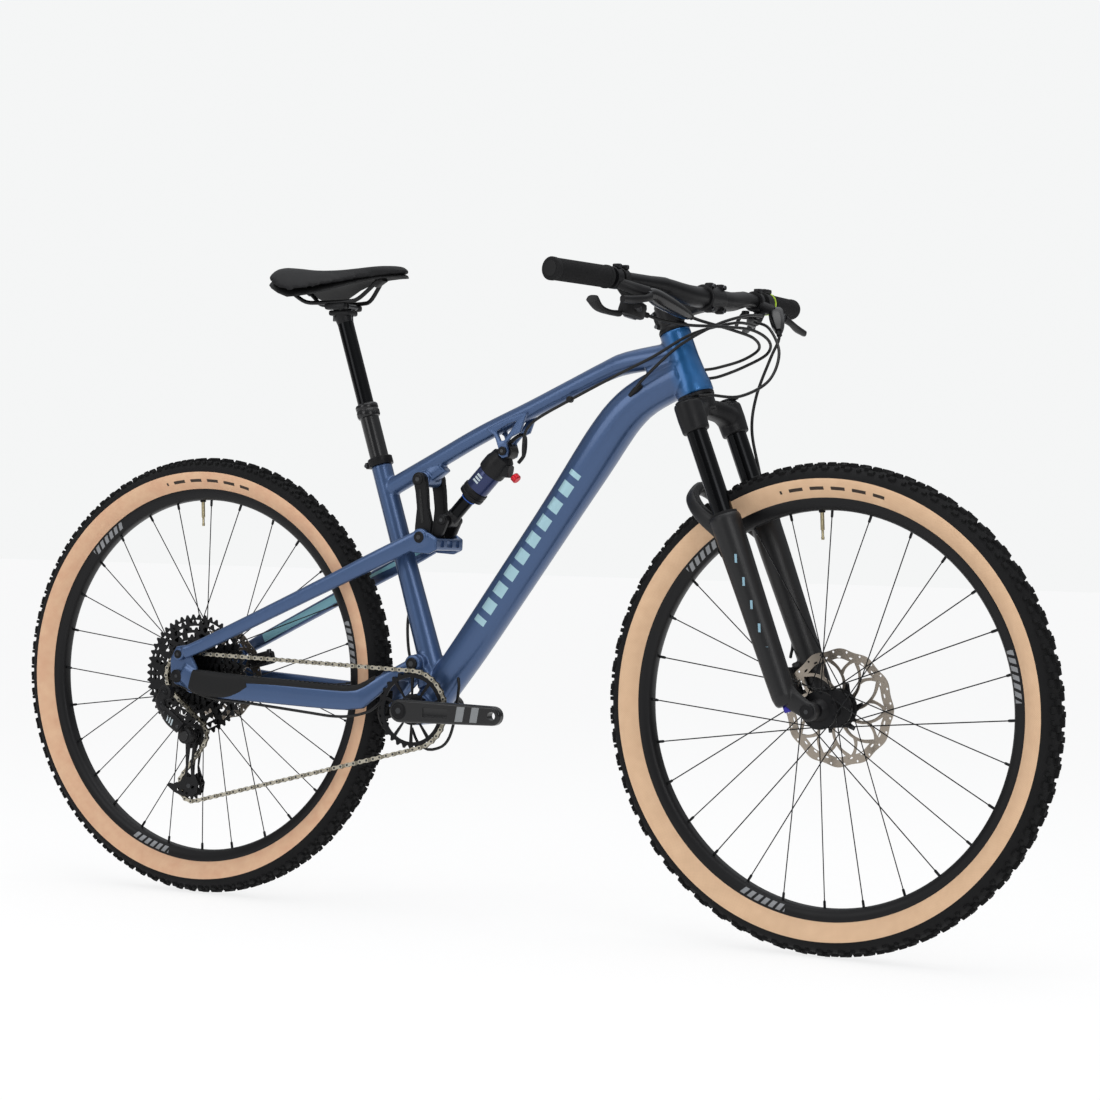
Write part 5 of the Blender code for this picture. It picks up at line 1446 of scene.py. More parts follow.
@dataclass
class RearSuspension:
    """Chainstay, seatstay, rocker and shock."""

    chainstay_route: Sequence[Point] = ((-0.562, -0.0795, 0.378), (-0.54, -0.078, 0.364), (-0.5,
        -0.076, 0.358), (-0.43, -0.07, 0.3545), (-0.25, -0.053, 0.3475), (-0.218, -0.0495, 0.356),
        (-0.183, -0.043, 0.38), (-0.145, -0.038, 0.403))
    chainstay_wide: Sequence[float] = (0.0055, 0.006, 0.0075, 0.009, 0.0095, 0.0085, 0.0065,
        0.0055)
    chainstay_high: Sequence[float] = (0.015, 0.019, 0.0205, 0.0205, 0.0195, 0.017, 0.012, 0.01)
    seatstay_route: Sequence[Point] = ((-0.556, -0.086, 0.41), (-0.52, -0.078, 0.4255), (-0.4,
        -0.066, 0.482), (-0.29, -0.056, 0.534), (-0.195, -0.048, 0.579), (-0.133, -0.0405, 0.609))
    seatstay_wide: Sequence[float] = (0.0045, 0.007, 0.0085, 0.0085, 0.008, 0.0055)
    seatstay_high: Sequence[float] = (0.01, 0.011, 0.0115, 0.0125, 0.014, 0.0135)

    def build(self) -> None:
        """Builds and mounts the rear end."""
        fit(self.chainstay(), "swingarm", ["chainstay"])
        fit(self.protector(), "swingarm", ())
        fit(self.seatstay(), "stays", ["seatstay"])
        fit(self.stay_caps(), "stays", ())
        fit(self.rocker(), "rocker_link", ["rocker"])
        fit(self.can(), "shock_body", ["shock_can"])
        fit(self.shaft(), "shock_rod", ["shock_shaft"])
        knob = turned("shock_dial", [(0.0062, 0), (0.0075, 0.0012), (0.0075, 0.0085), (0.0062,
            0.01)], (0.02048, 0, 0.71411), (0.73106, 0, -0.68232), 20)
        fit(paint(knob, RED), "shock_dial", ["shock_knob"])
        fit(self.axle(), "swingarm", ["rear_axle"])
        fit(self.caliper(), "swingarm", ["rear_caliper"])

    @staticmethod
    def other_side(points: Sequence[Point], side: int) -> list[tuple[float, float, float]]:
        """The right side's route for side -1, its mirror image for side 1."""
        return [(x, -side * y, z) for x, y, z in points]

    def chainstay(self) -> Piece:
        """Both chainstays, the yoke behind the pivot and the dropouts.

        Returns:
            The finished piece.
        """
        parts = [across("yoke", (-0.184, 0, 0.3855), -0.045, 0.045, 0.009, 0.001)]
        outline = [(-0.588, 0.398), (-0.576, 0.42), (-0.556, 0.423), (-0.543, 0.402), (-0.533,
            0.386), (-0.53, 0.346), (-0.546, 0.342), (-0.562, 0.352), (-0.578, 0.356), (-0.586,
            0.37)]
        for side in (-1, 1):
            parts.append(swept("stay", self.other_side(self.chainstay_route, side), [w * 0.98
                for w in self.chainstay_wide], self.chainstay_high, 20, square=3.2, step=0.02))
            parts.append(plate("dropout", outline, *span(side, 0.0742, 0.0812), 0.002))
            parts.append(across("ear", MAIN_PIVOT, *span(side, 0.0314, 0.043), 0.0143, 0.001))
            parts.append(swept("web", [(-0.178, side * 0.0395, 0.384), (-0.15, side * 0.0375,
                0.398), (-0.1345, side * 0.037, 0.4085)], [0.0052] * 3, [0.012, 0.011, 0.01], 14,
                square=3))
            parts.append(swept("cheek", [(-0.236, side * 0.048, 0.352), (-0.205, side * 0.0405,
                0.366), (-0.184, side * 0.03, 0.38)], [0.0045] * 3, [0.015, 0.0125, 0.009], 14,
                square=3))
        frame = paint(welded("chainstays", parts, 0.0015, 4), FRAME_PAINT)
        caps = [paint(across("cap", STAY_AXLE, *reach, 0.0085, 0.001, 24), BLACK_ANODISED) for _,
            reach in both((0.0735, 0.085))]
        return joined("chainstays", [frame] + caps)

    def protector(self) -> Piece:
        """The rubber guard on the right chainstay, deep at the back, thin along the top edge.

        Returns:
            The finished piece.
        """
        deep = swept("deep", [(-0.542, -0.0795, 0.366), (-0.52, -0.0782, 0.361), (-0.485, -0.0752,
            0.3585), (-0.456, -0.0722, 0.36), (-0.434, -0.0703, 0.3655)], [0.0072, 0.0088, 0.0094,
            0.0098, 0.0096], [0.017, 0.0215, 0.0212, 0.0185, 0.011], 20, square=4, step=0.008)
        edge = swept("edge", [(-0.445, -0.0712, 0.369), (-0.38, -0.0652, 0.368), (-0.3, -0.0577,
            0.3646), (-0.245, -0.0525, 0.3632), (-0.222, -0.05, 0.369), (-0.2, -0.0455, 0.383)],
            [0.01, 0.0104, 0.0104, 0.01, 0.0088, 0.007], [0.0072, 0.0062, 0.0056, 0.0054, 0.0052,
            0.004], 20, square=3, step=0.01)
        rib = brick("rib", (0, 0, 0), (0.0024, 0.013, 0.0012), None, 0.0004)
        spots = []
        for k in range(24):
            x = -0.44 + k * 0.0088
            share = (x + 0.445) / 0.2
            spots.append(Matrix.Translation((x, -0.0712 + 0.0187 * share,
                0.3756 - 0.0066 * share)))
        return paint(joined("chainstay_guard", [deep, edge, *copied(rib, spots)]), BLACK_PLASTIC)

    def seatstay(self) -> Piece:
        """Both seatstays and the forged bridge with its dark pockets.

        Returns:
            The finished piece.
        """
        parts = []
        for side in (-1, 1):
            parts.append(swept("stay", self.other_side(self.seatstay_route, side),
                self.seatstay_wide, self.seatstay_high, 20, square=3.0, step=0.02))
            parts.append(across("ear", STAY_PIVOT, *span(side, 0.035, 0.0458), 0.0144, 0.0015, 36))
            parts.append(plate("cheek", [(-0.144, 0.588), (-0.11, 0.586), (-0.095, 0.593),
                (-0.0945, 0.611), (-0.108, 0.619), (-0.12, 0.623)], *span(side, 0.035, 0.043),
                0.002))
            parts.append(across("eye", STAY_AXLE, *span(side, 0.0822, 0.0892), 0.0103, 0.001))
        parts.append(brick("bridge", (-0.101, 0, 0.602), (0.0125, 0.082, 0.02), None, 0.004))
        pockets = []
        for y, width in ((-0.024, 0.011), (0.0, 0.017), (0.024, 0.011)):
            pockets.append(brick("pocket", (-0.0935, y, 0.6025), (0.009, width, 0.011), None,
                0.002))
        frame = paint(welded("seatstays", parts, 0.0015, 3, cuts=[joined("pockets", pockets)]),
            FRAME_PAINT)
        flash = []
        for a, b in ((-0.3, -0.175), (-0.5, -0.315)):
            route = [(x, 0.0488 + (-0.195 - x) * 0.0815, 0.579 + (x + 0.195) * 0.475) for x in (a,
                (a + b) / 2, b)]
            flash.append(paint(swept("flash", [(x, y - 0.0078, z) for x, y, z in route],
                [0.0012] * 3, [0.007] * 3, 10, square=4), TEAL_PAINT))
        return joined("seatstays", [frame, *flash])

    def stay_caps(self) -> Piece:
        """Black pivot bolts at both ends of the seatstays.

        Returns:
            The finished piece.
        """
        parts = []
        for side, reach in both((0.044, 0.0472)):
            parts.append(paint(across("cap", STAY_PIVOT, *reach, 0.0092, 0.001, 28),
                BLACK_ANODISED))
            parts.append(key_recess(STAY_PIVOT, side, 0.047, 0.0476, 0.0042))
            parts.append(paint(across("cap", STAY_AXLE, *span(side, 0.088, 0.0908), 0.0072, 0.0008,
                24), BLACK_ANODISED))
            parts.append(key_recess(STAY_AXLE, side, 0.0904, 0.091, 0.0032))
        return joined("stay_pivots", parts)

    def rocker(self) -> Piece:
        """Two forged side arms, the barrel between them and the horns that hold the shock.

        Returns:
            The finished piece.
        """
        arm = [(-0.148, 0.704), (-0.144, 0.714), (-0.134, 0.7165), (-0.125, 0.711), (-0.1215,
            0.69), (-0.119, 0.66), (-0.112, 0.635), (-0.116, 0.605), (-0.136, 0.606), (-0.143,
            0.625), (-0.14, 0.66), (-0.1435, 0.686)]
        horn = [(-0.133, 0.605), (-0.115, 0.6015), (-0.096, 0.618), (-0.086, 0.64), (-0.089,
            0.649), (-0.099, 0.6505), (-0.106, 0.644), (-0.118, 0.633)]
        parts = [across("barrel", STAY_PIVOT, -0.03, 0.03, 0.0112, 0.001)]
        for side in (-1, 1):
            parts.append(plate("arm", arm, *span(side, 0.0222, 0.033), 0.0022, 3))
            parts.append(plate("horn", horn, *span(side, 0.0155, 0.0255), 0.002, 3))
            parts.append(across("boss", ROCKER_AXLE, *span(side, 0.0221, 0.0348), 0.0118, 0.001))
        body = paint(welded("rocker_arms", parts, 0.0011, 2), BLACK_ANODISED)
        groove = []
        for side in (-1, 1):
            groove.append(paint(swept("groove", [(-0.1335, side * 0.0328, 0.69), (-0.13,
                side * 0.0328, 0.66), (-0.127, side * 0.0328, 0.636)], [0.001] * 3, [0.0022,
                0.0036, 0.003], 10), BLACK_GLOSS))
            groove.append(paint(across("cap", ROCKER_AXLE, *span(side, 0.0345, 0.0368), 0.0084,
                # Builds each run; those that cross a joint are baked in place over it, not
                # blended.
                0.001), BLACK_GLOSS))
            groove.append(key_recess(ROCKER_AXLE, side, 0.0366, 0.0371, 0.004))
            groove.append(paint(across("bolt", SHOCK_LOWER, *span(side, 0.025, 0.0288), 0.0072,
                0.001), BLACK_ANODISED))
            groove.append(key_recess(SHOCK_LOWER, side, 0.0286, 0.0291, 0.0034))
        return joined("rocker_arms", [body, *groove])

    def can(self) -> Piece:
        """The shock's air can, eye, valve block, lever loop and printed sleeve.

        Returns:
            The finished piece.
        """
        axis = (SHOCK_LOWER - SHOCK_UPPER).normalized()
        body = paint(turned("body", [(0.01, 0.004), (0.0195, 0.012), (0.0205, 0.02), (0.0222,
            0.025), (0.0226, 0.028), (0.0226, 0.042), (0.0218, 0.0455), (0.0196, 0.047)],
            SHOCK_UPPER, axis, 48), BLACK_CAST)
        sleeve = paint(turned("sleeve", [(0.0194, 0.046), (0.0197, 0.047), (0.0197, 0.081),
            (0.0194, 0.082)], SHOCK_UPPER, axis, 48), SHOCK_NAVY)
        mouth = paint(turned("mouth", [(0.0198, 0.0812), (0.0214, 0.0828), (0.0216, 0.0885),
            (0.0204, 0.0895), (0.0204, 0.0915), (0.0216, 0.0925), (0.0212, 0.0982), (0.016, 0.1),
            (0.0122, 0.1002)], SHOCK_UPPER, axis, 48), BLACK_ANODISED)
        eye = paint(across("eye", SHOCK_UPPER, -0.0122, 0.0122, 0.0125, 0.001), BLACK_CAST)
        ahead = Vector((0.73106, 0, -0.68232))
        block = paint(swept("block", [SHOCK_UPPER + axis * 0.03,
            SHOCK_UPPER + axis * 0.026 + ahead * 0.016, SHOCK_UPPER + axis * 0.02 + ahead * 0.026],
            [0.013, 0.012, 0.009], [0.015, 0.0125, 0.01], 20, square=3.2), BLACK_CAST)
        rings = []
        for k in range(3):
            rings.append(paint(turned("ring", [(0.0128, -0.0008), (0.0134, 0.0), (0.0128, 0.0008)],
                SHOCK_UPPER + axis * 0.022 + ahead * (0.006 + 0.005 * k), ahead, 24),
                BLACK_ANODISED))
        loop = paint(swept("loop", [SHOCK_UPPER + Vector(p) for p in ((0.019, 0, -0.018), (0.0285,
            0, -0.006), (0.031, 0, 0.012), (0.029, 0, 0.025), (0.02, 0, 0.026), (0.006, 0, 0.017),
            (-0.004, 0, 0.006))], [0.003, 0.0034, 0.0032, 0.0032, 0.003, 0.0034, 0.004],
            [0.003] * 7, 12, step=0.004), BLACK_CAST)
        side = Vector((0, -1, 0))
        up = axis.cross(side)
        marks = []
        for k in range(3):
            lean = side * math.cos(0.1) + up * math.sin(0.1)
            centre = SHOCK_UPPER + axis * (0.057 + 0.0055 * k) + lean * 0.0193
            turn = Matrix((axis, up, side)).transposed().to_4x4()
            marks.append(paint(brick("mark", centre, (0.0034, 0.011, 0.0012), turn, 0.0003),
                PALE_MARK))
        valve = paint(pin("valve", SHOCK_UPPER + axis * 0.036 + Vector((0, 0.02, 0)),
            SHOCK_UPPER + axis * 0.036 + Vector((0, 0.0265, 0)), 0.0042, 0.0006, 16),
            BLACK_ANODISED)
        return joined("shock_body", [body, sleeve, mouth, eye, block, loop, valve, *rings, *marks])

    def shaft(self) -> Piece:
        """The shock's shaft with its lower eye and travel ring.

        Returns:
            The finished piece.
        """
        axis = (SHOCK_UPPER - SHOCK_LOWER).normalized()
        rod = paint(turned("rod", [(0.0105, 0.004), (0.0115, 0.008), (0.0115, 0.082)], SHOCK_LOWER,
            axis, 36), STANCHION)
        eye = paint(across("eye", SHOCK_LOWER, -0.0122, 0.0122, 0.0112, 0.001), BLACK_CAST)
        base = paint(turned("base", [(0.011, 0.0), (0.0122, 0.006), (0.0122, 0.014), (0.0116,
            0.0155)], SHOCK_LOWER, axis, 28), BLACK_CAST)
        ring = paint(turned("ring", [(0.0116, 0.0475), (0.0126, 0.048), (0.0126, 0.0492), (0.0116,
            0.0497)], SHOCK_LOWER, axis, 28), BLUE_RING)
        return joined("shock_shaft_rod", [rod, eye, base, ring])

    def axle(self) -> Piece:
        """The rear thru-axle's head and tip, with the hanger's washer.

        Returns:
            The finished piece.
        """
        head = turned("head", [(0.0098, 0.0), (0.011, 0.0008), (0.011, 0.003), (0.01, 0.0034)],
            (REAR_AXLE.x, -0.0816, REAR_AXLE.z), (0, -1, 0), 28)
        rod = across("rod", REAR_AXLE, -0.082, 0.0858, 0.0074, 0.001)
        socket = paint(across("hex", REAR_AXLE, -0.0851, -0.0846, 0.0032, 0, 6), BOLT_STEEL)
        return joined("rear_thru_axle", [paint(head, BLACK_ANODISED), paint(rod, BLACK_ANODISED),
            socket])

    def caliper(self) -> Piece:
        """The two-piece rear caliper with its bolts, piston covers and hose banjo."""
        return brake_caliper("rear_brake_caliper", REAR_AXLE + Vector((0.076, 0.0545, 0.028)),
            Matrix.Rotation(math.radians(-15), 4, "Y"), (0.044, 0.025, 0.022))


def brake_caliper(name: str, centre: Vector, turn: Matrix, size: Point) -> Piece:
    """A caliper: two rounded halves with a gap for the rotor, bolts, covers and banjo.

    Args:
        name: the piece's name.
        centre: its middle.
        turn: its turn about the middle.
        size: length, width and height.

    Returns:
        The finished piece.
    """
    length, width, height = size
    base = Matrix.Translation(centre) @ turn
    parts = []
    for side in (-1, 1):
        half = brick("half", (0, side * (width * 0.26), 0), (length, width * 0.46, height), None,
            0.004)
        cover = pin("cover", (0, side * width * 0.4, 0), (0, side * width * 0.5, 0), height * 0.36,
            0.0008, 24)
        parts += [paint(half, BLACK_CAST), paint(cover, BLACK_GLOSS)]
        for x in (-0.4, 0.4):
            parts.append(paint(pin("bolt", (x * length, side * width * 0.4, -height * 0.3),
                (x * length, side * width * 0.52, -height * 0.3), 0.003, 0.0004, 12), BOLT_STEEL))
    parts.append(paint(brick("bridge", (0, 0, height * 0.36), (length * 0.62, width * 0.9,
        height * 0.24), None, 0.002), BLACK_CAST))
    parts.append(paint(pin("banjo", (length * 0.42, 0, height * 0.3), (length * 0.42, 0,
        height * 0.62), 0.0042, 0.0006, 14), BOLT_STEEL))
    for part in parts:
        moved(part, base)
    return joined(name, parts)


@dataclass
class Drivetrain:
    """Crankset, chainring, chain, cassette and derailleur."""

    pitch: float = 0.0127
    ring_y: float = -0.05
    cog_y: float = -0.0575
    cog_radius: float = 0.0392
    teeth: Sequence[int] = (51, 45, 39, 33, 28, 24, 21, 18, 16, 14, 12, 11)

    def build(self) -> None:
        """Builds and mounts the drivetrain."""
        fit(self.cranks(), "cranks", ["crankset"])
        fit(self.ring(), "cranks", ["chainring"])
        bend(self.chain(), ("swingarm", "frame"), (-0.43, 0, 0.345), (-0.205, 0, 0.345), "chain",
            "chain_steel")
        fit(self.cassette(), "freehub", ["cassette"])
        fit(self.mount(), "swingarm", ["derailleur_body"])
        fit(self.parallelogram(), "derailleur_arm", ["derailleur_link"])
        fit(self.cage(), "cage", ["derailleur_cage"])
        for name, body, centre, teeth in (("jockey_upper", "upper_jockey", UPPER_JOCKEY, 12),
                ("jockey_lower", "lower_jockey", LOWER_JOCKEY, 14)):
            fit(self.jockey(name + "_wheel", centre, teeth), body, [name])

    @staticmethod
    def toothed(count: int, root: float, tip: float, centre: Vector) -> list[tuple[float, float]]:
        """A sprocket's outline in the side view.

        Args:
            count: number of teeth.
            root: radius between them.
            tip: radius at their tips.
            centre: the axle.

        Returns:
            (x, z) corners.
        """
        outline = []
        for k in range(count):
            for share, r in ((0.12, root), (0.4, tip), (0.6, tip), (0.88, root)):
                angle = TAU * (k + share) / count
                outline.append((centre.x + r * math.cos(angle), centre.z + r * math.sin(angle)))
        return outline

    @staticmethod
    def windows(centre: Vector, count: int, inner: float, outer: float, share: float,
            start: float = 0.0) -> Piece:
        """Cutters for a ring of openings between two radii.

        Args:
            centre: the axle.
            count: how many there are.
            inner: inner radius.
            outer: outer radius.
            share: part of each spacing that is open.
            start: turn of the first, in radians.

        Returns:
            The cutters as one piece.
        """
        points = []
        for r, way in ((inner, 1), (outer, -1)):
            for k in range(6):
                at = -share / 2 + share * k / 5
                angle = TAU * (start + way * at) / count
                points.append((centre.x + r * math.cos(angle), centre.z + r * math.sin(angle)))
        cutter = plate("window", points, -0.2, 0.1, 0.0)
        return joined("windows", copied(cutter, [about(centre, TAU * k / count)
            for k in range(count)]))

    def cranks(self) -> Piece:
        """The spindle and both arms, with pedal holes, caps and plain printed bands.

        Returns:
            The finished piece.
        """
        parts = []
        for way, sides in ((1, (-0.09, -0.074)), (-1, (0.0725, 0.088))):
            outline = []
            for end, radius, first in ((0.0, 0.0187, 0.5), (0.17, 0.0152, -0.5)):
                for k in range(13):
                    angle = math.pi * (first + k / 12)
                    outline.append((BOTTOM_BRACKET.x + way * (end + radius * math.cos(angle)),
                        BOTTOM_BRACKET.z + radius * math.sin(angle)))
            arm = plate("arm", outline, *sides, edge=0.0036, segments=3)
            hole = across("hole", (BOTTOM_BRACKET.x + way * 0.17, 0, BOTTOM_BRACKET.z), -0.2, 0.2,
                0.007, 0, 28)
            cut(arm, hole)
            face = sides[0] if way > 0 else sides[1]
            out = -1 if way > 0 else 1
            scoop = swept("scoop", [(BOTTOM_BRACKET.x + way * 0.045, face, BOTTOM_BRACKET.z),
                (BOTTOM_BRACKET.x + way * 0.09, face, BOTTOM_BRACKET.z)], [0.001] * 2,
                [0.0075] * 2, 12, square=4)
            cut(arm, scoop)
            parts.append(paint(smooth(arm), BLACK_GLOSS))
            for low, high in ((0.106, 0.12), (0.133, 0.146)):
                slab = [(BOTTOM_BRACKET.x + way * (x + lean), BOTTOM_BRACKET.z + z) for x, lean,
                    z in ((low, -0.002, -0.0118), (high, -0.002, -0.0118), (high, 0.002, 0.0118),
                    (low, 0.002, 0.0118))]
                parts.append(paint(plate("band", slab, *sorted((face, face + out * 0.00025)), 0.0),
                    GREY_BAND))
        parts.append(paint(across("spindle", BOTTOM_BRACKET, -0.0905, 0.0885, 0.0146, 0.001),
            BLACK_ANODISED))
        parts.append(paint(across("boss", BOTTOM_BRACKET, -0.076, -0.055, 0.0188, 0.001, 36),
            BLACK_ANODISED))
        for low, high in ((-0.0918, -0.0895), (0.0875, 0.0898)):
            cap = across("cap", BOTTOM_BRACKET, low, high, 0.0108, 0.0008, 32)
            socket = across("socket", BOTTOM_BRACKET, low - 0.0002, high + 0.0002, 0.0052, 0, 6)
            parts += [paint(cap, BLACK_ANODISED), paint(socket, BOLT_STEEL)]
        return joined("crank_arms", parts)

    def ring(self) -> Piece:
        """A narrow-wide ring with ten slender arms.

        Returns:
            The finished piece.
        """
        low, high = self.ring_y - 0.0016, self.ring_y + 0.0016
        ring = plate("ring", self.toothed(30, 0.0578, 0.063, BOTTOM_BRACKET), low, high, 0.0)
        cut(ring, self.windows(BOTTOM_BRACKET, 10, 0.0245, 0.052, 0.84))
        chamfer(ring, 0.0004, 1, 60)
        return paint(smooth(ring), BLACK_ANODISED)

    def chain_line(self) -> list[Vector]:
        """The chain's pins, at its pitch round the ring, both jockey wheels and a cog.

        Returns:
            The points, in order.
        """
        wheels = [(BOTTOM_BRACKET, 0.0627, 1, self.ring_y), (LOWER_JOCKEY, 0.0265, 1, self.cog_y),
            (UPPER_JOCKEY, 0.0265, -1, self.cog_y), (REAR_AXLE, self.cog_radius, 1, self.cog_y)]
        headings = []
        for (c0, r0, way0, _), (c1, r1, way1, _) in zip(wheels, wheels[1:] + wheels[:1]):
            apart = math.hypot(c1.x - c0.x, c1.z - c0.z)
            lean = math.asin((way0 * r0 - way1 * r1) / apart)
            headings.append(math.atan2(c1.z - c0.z, c1.x - c0.x) - lean)
        points = []
        for i, (c, r, way, y) in enumerate(wheels):
            sweep = way * ((way * (headings[i - 1] - headings[i])) % (TAU))
            steps = max(3, round(abs(sweep) / math.radians(4)))
            for k in range(steps + 1):
                normal = headings[i - 1] - sweep * k / steps + math.pi / 2
                points.append(Vector((c.x + way * r * math.cos(normal), y,
                    c.z + way * r * math.sin(normal))))
        points.append(points[0])
        lengths = [(b - a).length for a, b in zip(points, points[1:])]
        count = 2 * round(sum(lengths) / self.pitch / 2)
        gap = sum(lengths) / count
        pins, due, passed = [], 0.0, 0.0
        for a, b, length in zip(points, points[1:], lengths):
            while due < passed + length and len(pins) < count:
                pins.append(a.lerp(b, (due - passed) / length))
                due += gap
            passed += length
        return pins

    def link(self, half_gap: float, thick: float, high: float) -> Piece:
        """One link's pair of waisted plates, with its middle at the origin.

        Args:
            half_gap: inner face to the middle.
            thick: a plate's thickness.
            high: a plate's height.

        Returns:
            The finished piece.
        """
        outline = []
        for end in (1, -1):
            for k in range(5):
                angle = math.pi * (-0.4 + 0.2 * k)
                outline.append((end * (self.pitch / 2 + high * math.cos(angle)),
                    end * high * math.sin(angle)))
            outline.append((0.0, end * high * 0.66))
        pair = [plate("side", outline, *sorted((side * half_gap, side * (half_gap + thick))), 0.0)
            for side in (-1, 1)]
        return joined("link", pair)

    def chain(self) -> Piece:
        """Outer and inner links in turn, with a roller at every pin.

        Returns:
            The finished piece.
        """
        pins = self.chain_line()
        places: tuple[list[Matrix], list[Matrix]] = ([], [])
        rollers = []
        for i, (a, b) in enumerate(zip(pins, pins[1:] + pins[:1])):
            ahead = (b - a).normalized()
            across_way = (Vector((0, 1, 0)) - ahead * ahead.y).normalized()
            side = ahead.cross(across_way)
            turn = Matrix((ahead, across_way, side)).transposed().to_4x4()
            places[i % 2].append(Matrix.Translation((a + b) / 2) @ turn)
            rollers.append(Matrix.Translation(a))
        made = [(piece, CHAIN_STEEL) for piece in copied(self.link(0.0021, 0.0008, 0.0038),
            places[0])]
        made += [(piece, CHAIN_DARK) for piece in copied(self.link(0.0012, 0.0008, 0.004),
            places[1])]
        rivet = pin("rivet", (0, -0.0034, 0), (0, 0.0034, 0), 0.0019, 0, 8)
        bush = pin("bush", (0, -0.0012, 0), (0, 0.0012, 0), 0.0037, 0, 8)
        made += [(piece, BOLT_STEEL) for piece in copied(rivet, rollers) + copied(bush, rollers)]
        return joined("drive_chain", [paint(piece, finish) for piece, finish in made])

    def cassette(self) -> Piece:
        """Twelve sprockets, the larger ones open, on their lock ring.

        Returns:
            The finished piece.
        """
        parts = []
        for i, teeth in enumerate(self.teeth):
            pitch_radius = self.pitch / (2 * math.sin(math.pi / teeth))
            tip = min(0.103, pitch_radius + 0.0024)
            root = tip - 0.006
            y = -0.0275 - 0.00365 * i
            cog = plate("cog", self.toothed(teeth, root, tip, REAR_AXLE), y - 0.0009, y + 0.0009,
                0.0)
            if teeth >= 28:
                rows = [(16 if teeth > 35 else 12, root - 0.0105, root - 0.0035, 0.62)]
                if teeth > 30:
                    rows.append((8, max(0.034, root - 0.036), root - 0.0135, 0.74))
                for k, (count, inner, outer, share) in enumerate(rows):
                    tool = self.windows(REAR_AXLE, count, inner, outer, share, 0.3 * k + 0.13 * i)
                    cut(cog, tool)
            parts.append(paint(smooth(cog), BLACK_STEEL))
        parts.append(paint(across("core", REAR_AXLE, -0.0682, -0.0268, 0.0182, 0.001),
            BLACK_ANODISED))
        parts.append(paint(turned("lock", [(0.0175, 0.0), (0.017, 0.0012), (0.015, 0.0016)],
            (REAR_AXLE.x, -0.068, REAR_AXLE.z), (0, -1, 0), 28), BOLT_STEEL))
        return joined("cassette_cogs", parts)

    def mount(self) -> Piece:
        """The derailleur's upper knuckle, its bolt, adjuster and screws.

        Returns:
            The finished piece.
        """
        pivot = Vector((-0.586, 0, 0.342))
        parts = [paint(across("knuckle", pivot, -0.0975, -0.0822, 0.0125, 0.002, 32), BLACK_CAST),
            paint(across("bolt", pivot, -0.0992, -0.097, 0.007, 0.0008, 24), BLACK_ANODISED),
            paint(across("hex", pivot, -0.0996, -0.099, 0.0034, 0, 6), BOLT_STEEL),
            paint(swept("arm", [(-0.586, -0.0925, 0.342), (-0.5945, -0.093, 0.33), (-0.5925,
            -0.093, 0.317), (-0.583, -0.093, 0.312)], [0.0085, 0.0088, 0.008, 0.0072], [0.01,
            0.0095, 0.0085, 0.008], 18, step=0.004), BLACK_CAST), paint(pin("adjuster", (-0.5965,
            -0.093, 0.33), (-0.6012, -0.093, 0.3345), 0.0036, 0.0005, 14), BLACK_ANODISED)]
        for z in (0.3255, 0.319):
            parts.append(paint(pin("screw", (-0.59, -0.099, z), (-0.59, -0.1004, z), 0.0018,
                0.0003, 10), BOLT_STEEL))
        return joined("derailleur_knuckle", parts)

    def parallelogram(self) -> Piece:
        """The outer and inner links, the lower knuckle and plain pale bars on the link.

        Returns:
            The finished piece.
        """
        parts = [paint(swept("outer", [(-0.584, -0.0975, 0.3105), (-0.57, -0.099, 0.299), (-0.553,
            -0.094, 0.284)], [0.0042, 0.0046, 0.0042], [0.0095, 0.0122, 0.0112], 18, square=2.6,
            step=0.004), BLACK_CAST), paint(swept("inner", [(-0.58, -0.085, 0.308), (-0.568,
            -0.082, 0.296), (-0.556, -0.077, 0.286)], [0.003] * 3, [0.007, 0.0085, 0.008], 14,
            square=2.6, step=0.004), BLACK_ANODISED), paint(across("knuckle", UPPER_JOCKEY,
            -0.0862, -0.0695, 0.0134, 0.0022, 36), BLACK_CAST), paint(across("cap", UPPER_JOCKEY,
            -0.088, -0.086, 0.0088, 0.0008, 28), BLACK_GLOSS)]
        along = (Vector((-0.553, 0, 0.284)) - Vector((-0.584, 0, 0.3105))).normalized()
        for k in range(3):
            centre = Vector((-0.57, -0.103, 0.2985)) + along * (0.0055 * (k - 0.6))
            turn = Matrix.Rotation(0.35, 4, "Y")
            parts.append(paint(brick("bar", centre, (0.0024, 0.0016, 0.011), turn, 0.0004),
                PALE_MARK))
        for place in ((-0.5815, -0.1005, 0.309), (-0.556, -0.0985, 0.2868)):
            parts.append(paint(pin("pivot", place, (place[0], place[1] - 0.0018, place[2]), 0.003,
                0.0004, 14), BOLT_STEEL))
        return joined("derailleur_links", parts)

